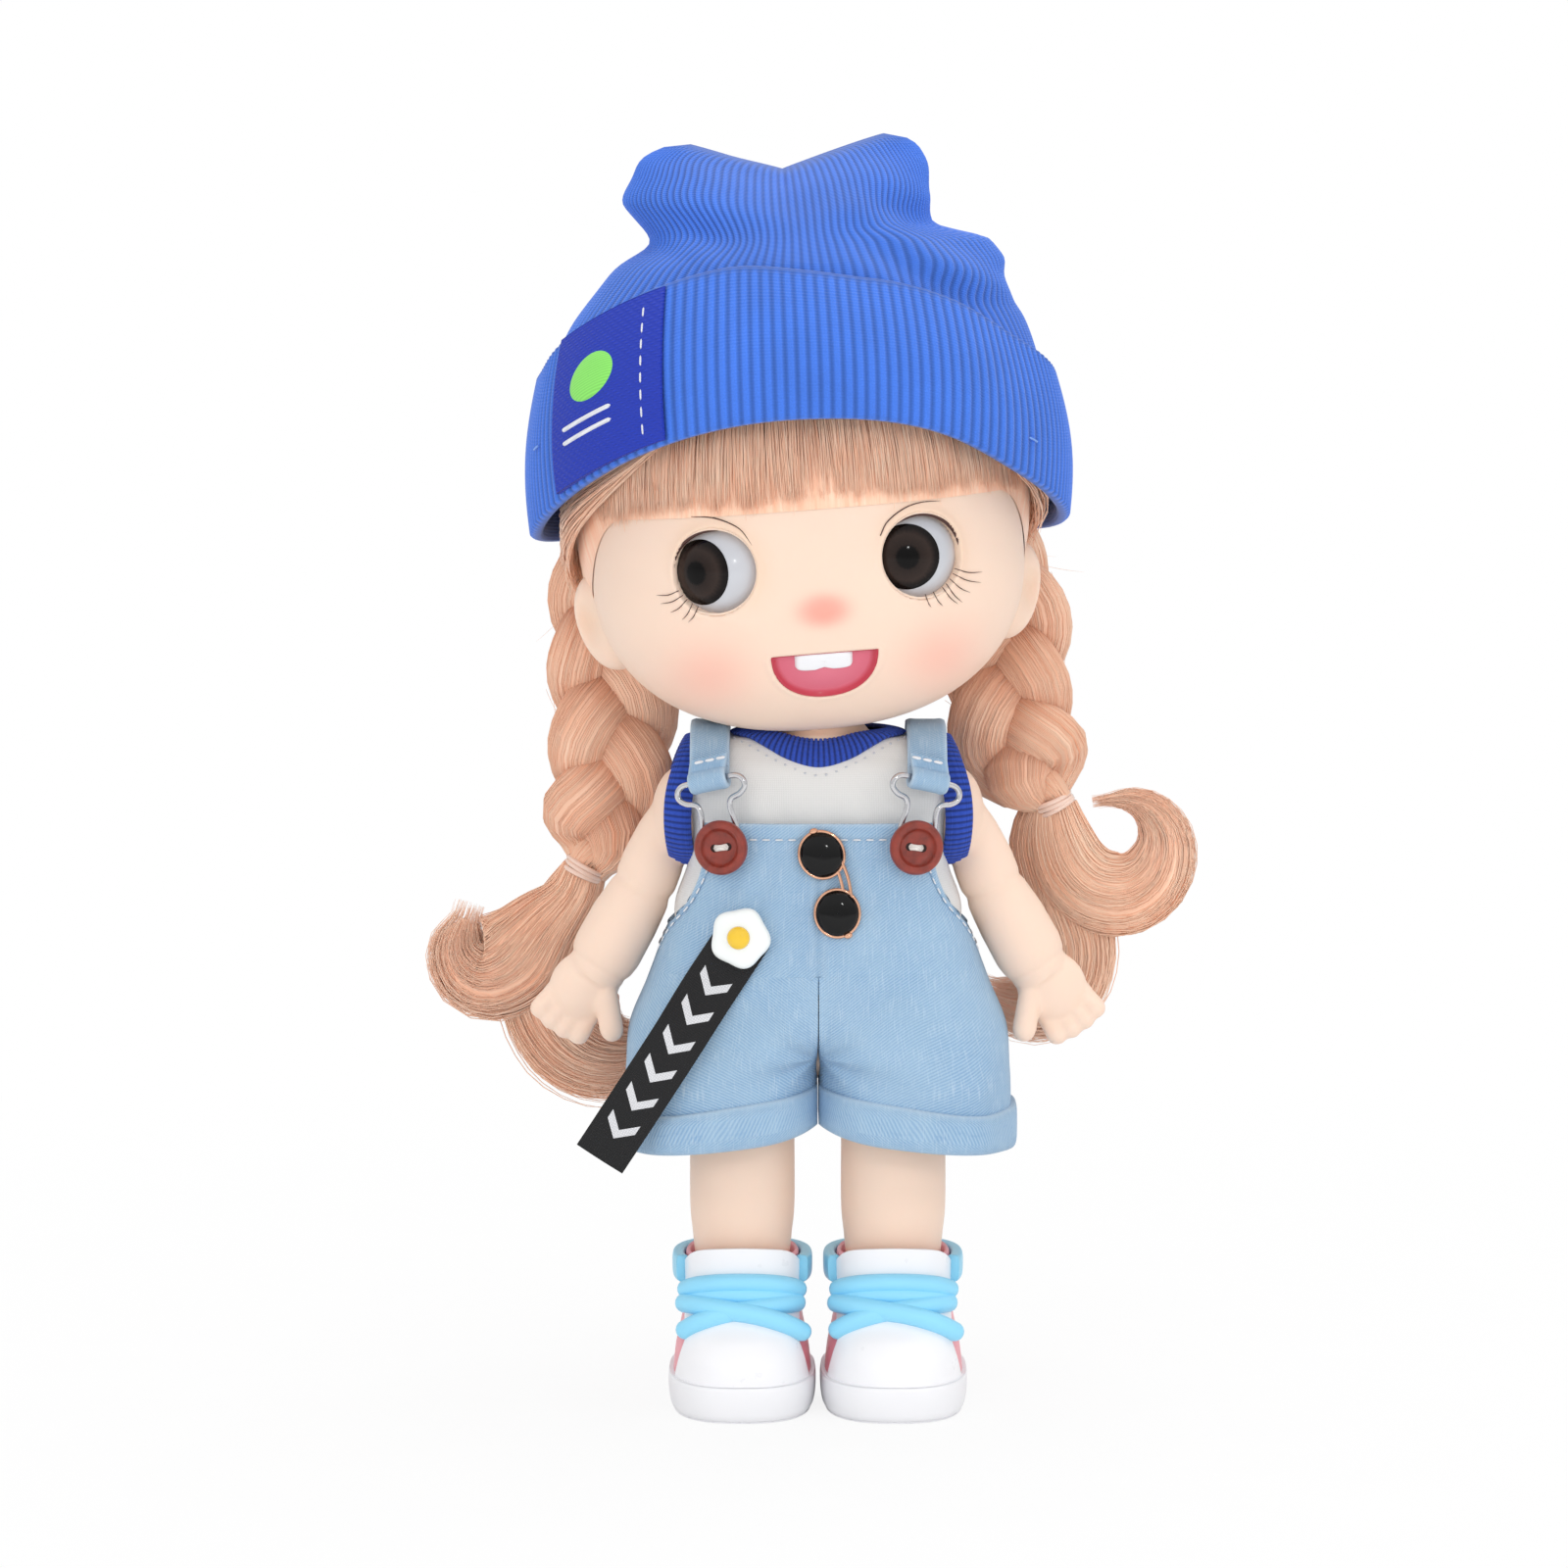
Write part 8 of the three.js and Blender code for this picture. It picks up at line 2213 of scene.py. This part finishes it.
class DOLL_OT_dungarees(bpy.types.Operator):
    """Builds the denim front, back, short legs and cuffs with their stitches."""

    bl_idname = "doll.dungarees"
    bl_label = "Dungarees"

    def execute(self, context):
        make_dungarees()
        return {"FINISHED"}


class DOLL_OT_straps(bpy.types.Operator):
    """Builds the denim straps and the wire buckles."""

    bl_idname = "doll.straps"
    bl_label = "Straps and buckles"

    def execute(self, context):
        make_straps()
        return {"FINISHED"}


class DOLL_OT_buttons(bpy.types.Operator):
    """Builds the two buttons with their holes and thread."""

    bl_idname = "doll.buttons"
    bl_label = "Buttons"

    def execute(self, context):
        make_buttons()
        return {"FINISHED"}


class DOLL_OT_charms(bpy.types.Operator):
    """Builds the sunglasses charm and the egg charm."""

    bl_idname = "doll.charms"
    bl_label = "Charms"

    def execute(self, context):
        make_charms()
        return {"FINISHED"}


class DOLL_OT_ribbon(bpy.types.Operator):
    """Builds the woven ribbon under the egg."""

    bl_idname = "doll.ribbon"
    bl_label = "Ribbon"

    def execute(self, context):
        make_ribbon()
        return {"FINISHED"}


class DOLL_OT_shoes(bpy.types.Operator):
    """Builds the soles, uppers, toe caps, tongues, collars and laces."""

    bl_idname = "doll.shoes"
    bl_label = "Shoes"

    def execute(self, context):
        make_shoes()
        return {"FINISHED"}


STEPS = [
    DOLL_OT_stage,
    DOLL_OT_head,
    DOLL_OT_eyes,
    DOLL_OT_mouth,
    DOLL_OT_hat,
    DOLL_OT_label,
    DOLL_OT_scalp_hair,
    DOLL_OT_plaits,
    DOLL_OT_tails,
    DOLL_OT_body,
    DOLL_OT_shirt,
    DOLL_OT_dungarees,
    DOLL_OT_straps,
    DOLL_OT_buttons,
    DOLL_OT_charms,
    DOLL_OT_ribbon,
    DOLL_OT_shoes,
]


class DOLL_PT_looks(bpy.types.Panel):
    """Sidebar panel with the doll's colours and its build steps."""

    bl_idname = "DOLL_PT_looks"
    bl_label = "Play doll"
    bl_space_type = "VIEW_3D"
    bl_region_type = "UI"
    bl_category = "Doll"

    def draw(self, context):
        """Lists the properties, then a button for each step."""
        for key in DollLooks.__annotations__:
            self.layout.prop(context.scene.doll_looks, key)
        for step in STEPS:
            self.layout.operator(step.bl_idname)


CLASSES = [DollLooks, *STEPS, DOLL_PT_looks]


def register():
    """Registers the classes and hangs the looks on the scene."""
    for cls in CLASSES:
        bpy.utils.register_class(cls)
    bpy.types.Scene.doll_looks = bpy.props.PointerProperty(type=DollLooks)


def unregister():
    """Takes the looks and the classes away again."""
    del bpy.types.Scene.doll_looks
    for cls in reversed(CLASSES):
        bpy.utils.unregister_class(cls)


def main():
    """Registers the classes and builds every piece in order."""
    register()
    for step in STEPS:
        getattr(bpy.ops.doll, step.bl_idname.split(".")[1])()


if __name__ == "__main__":
    main()
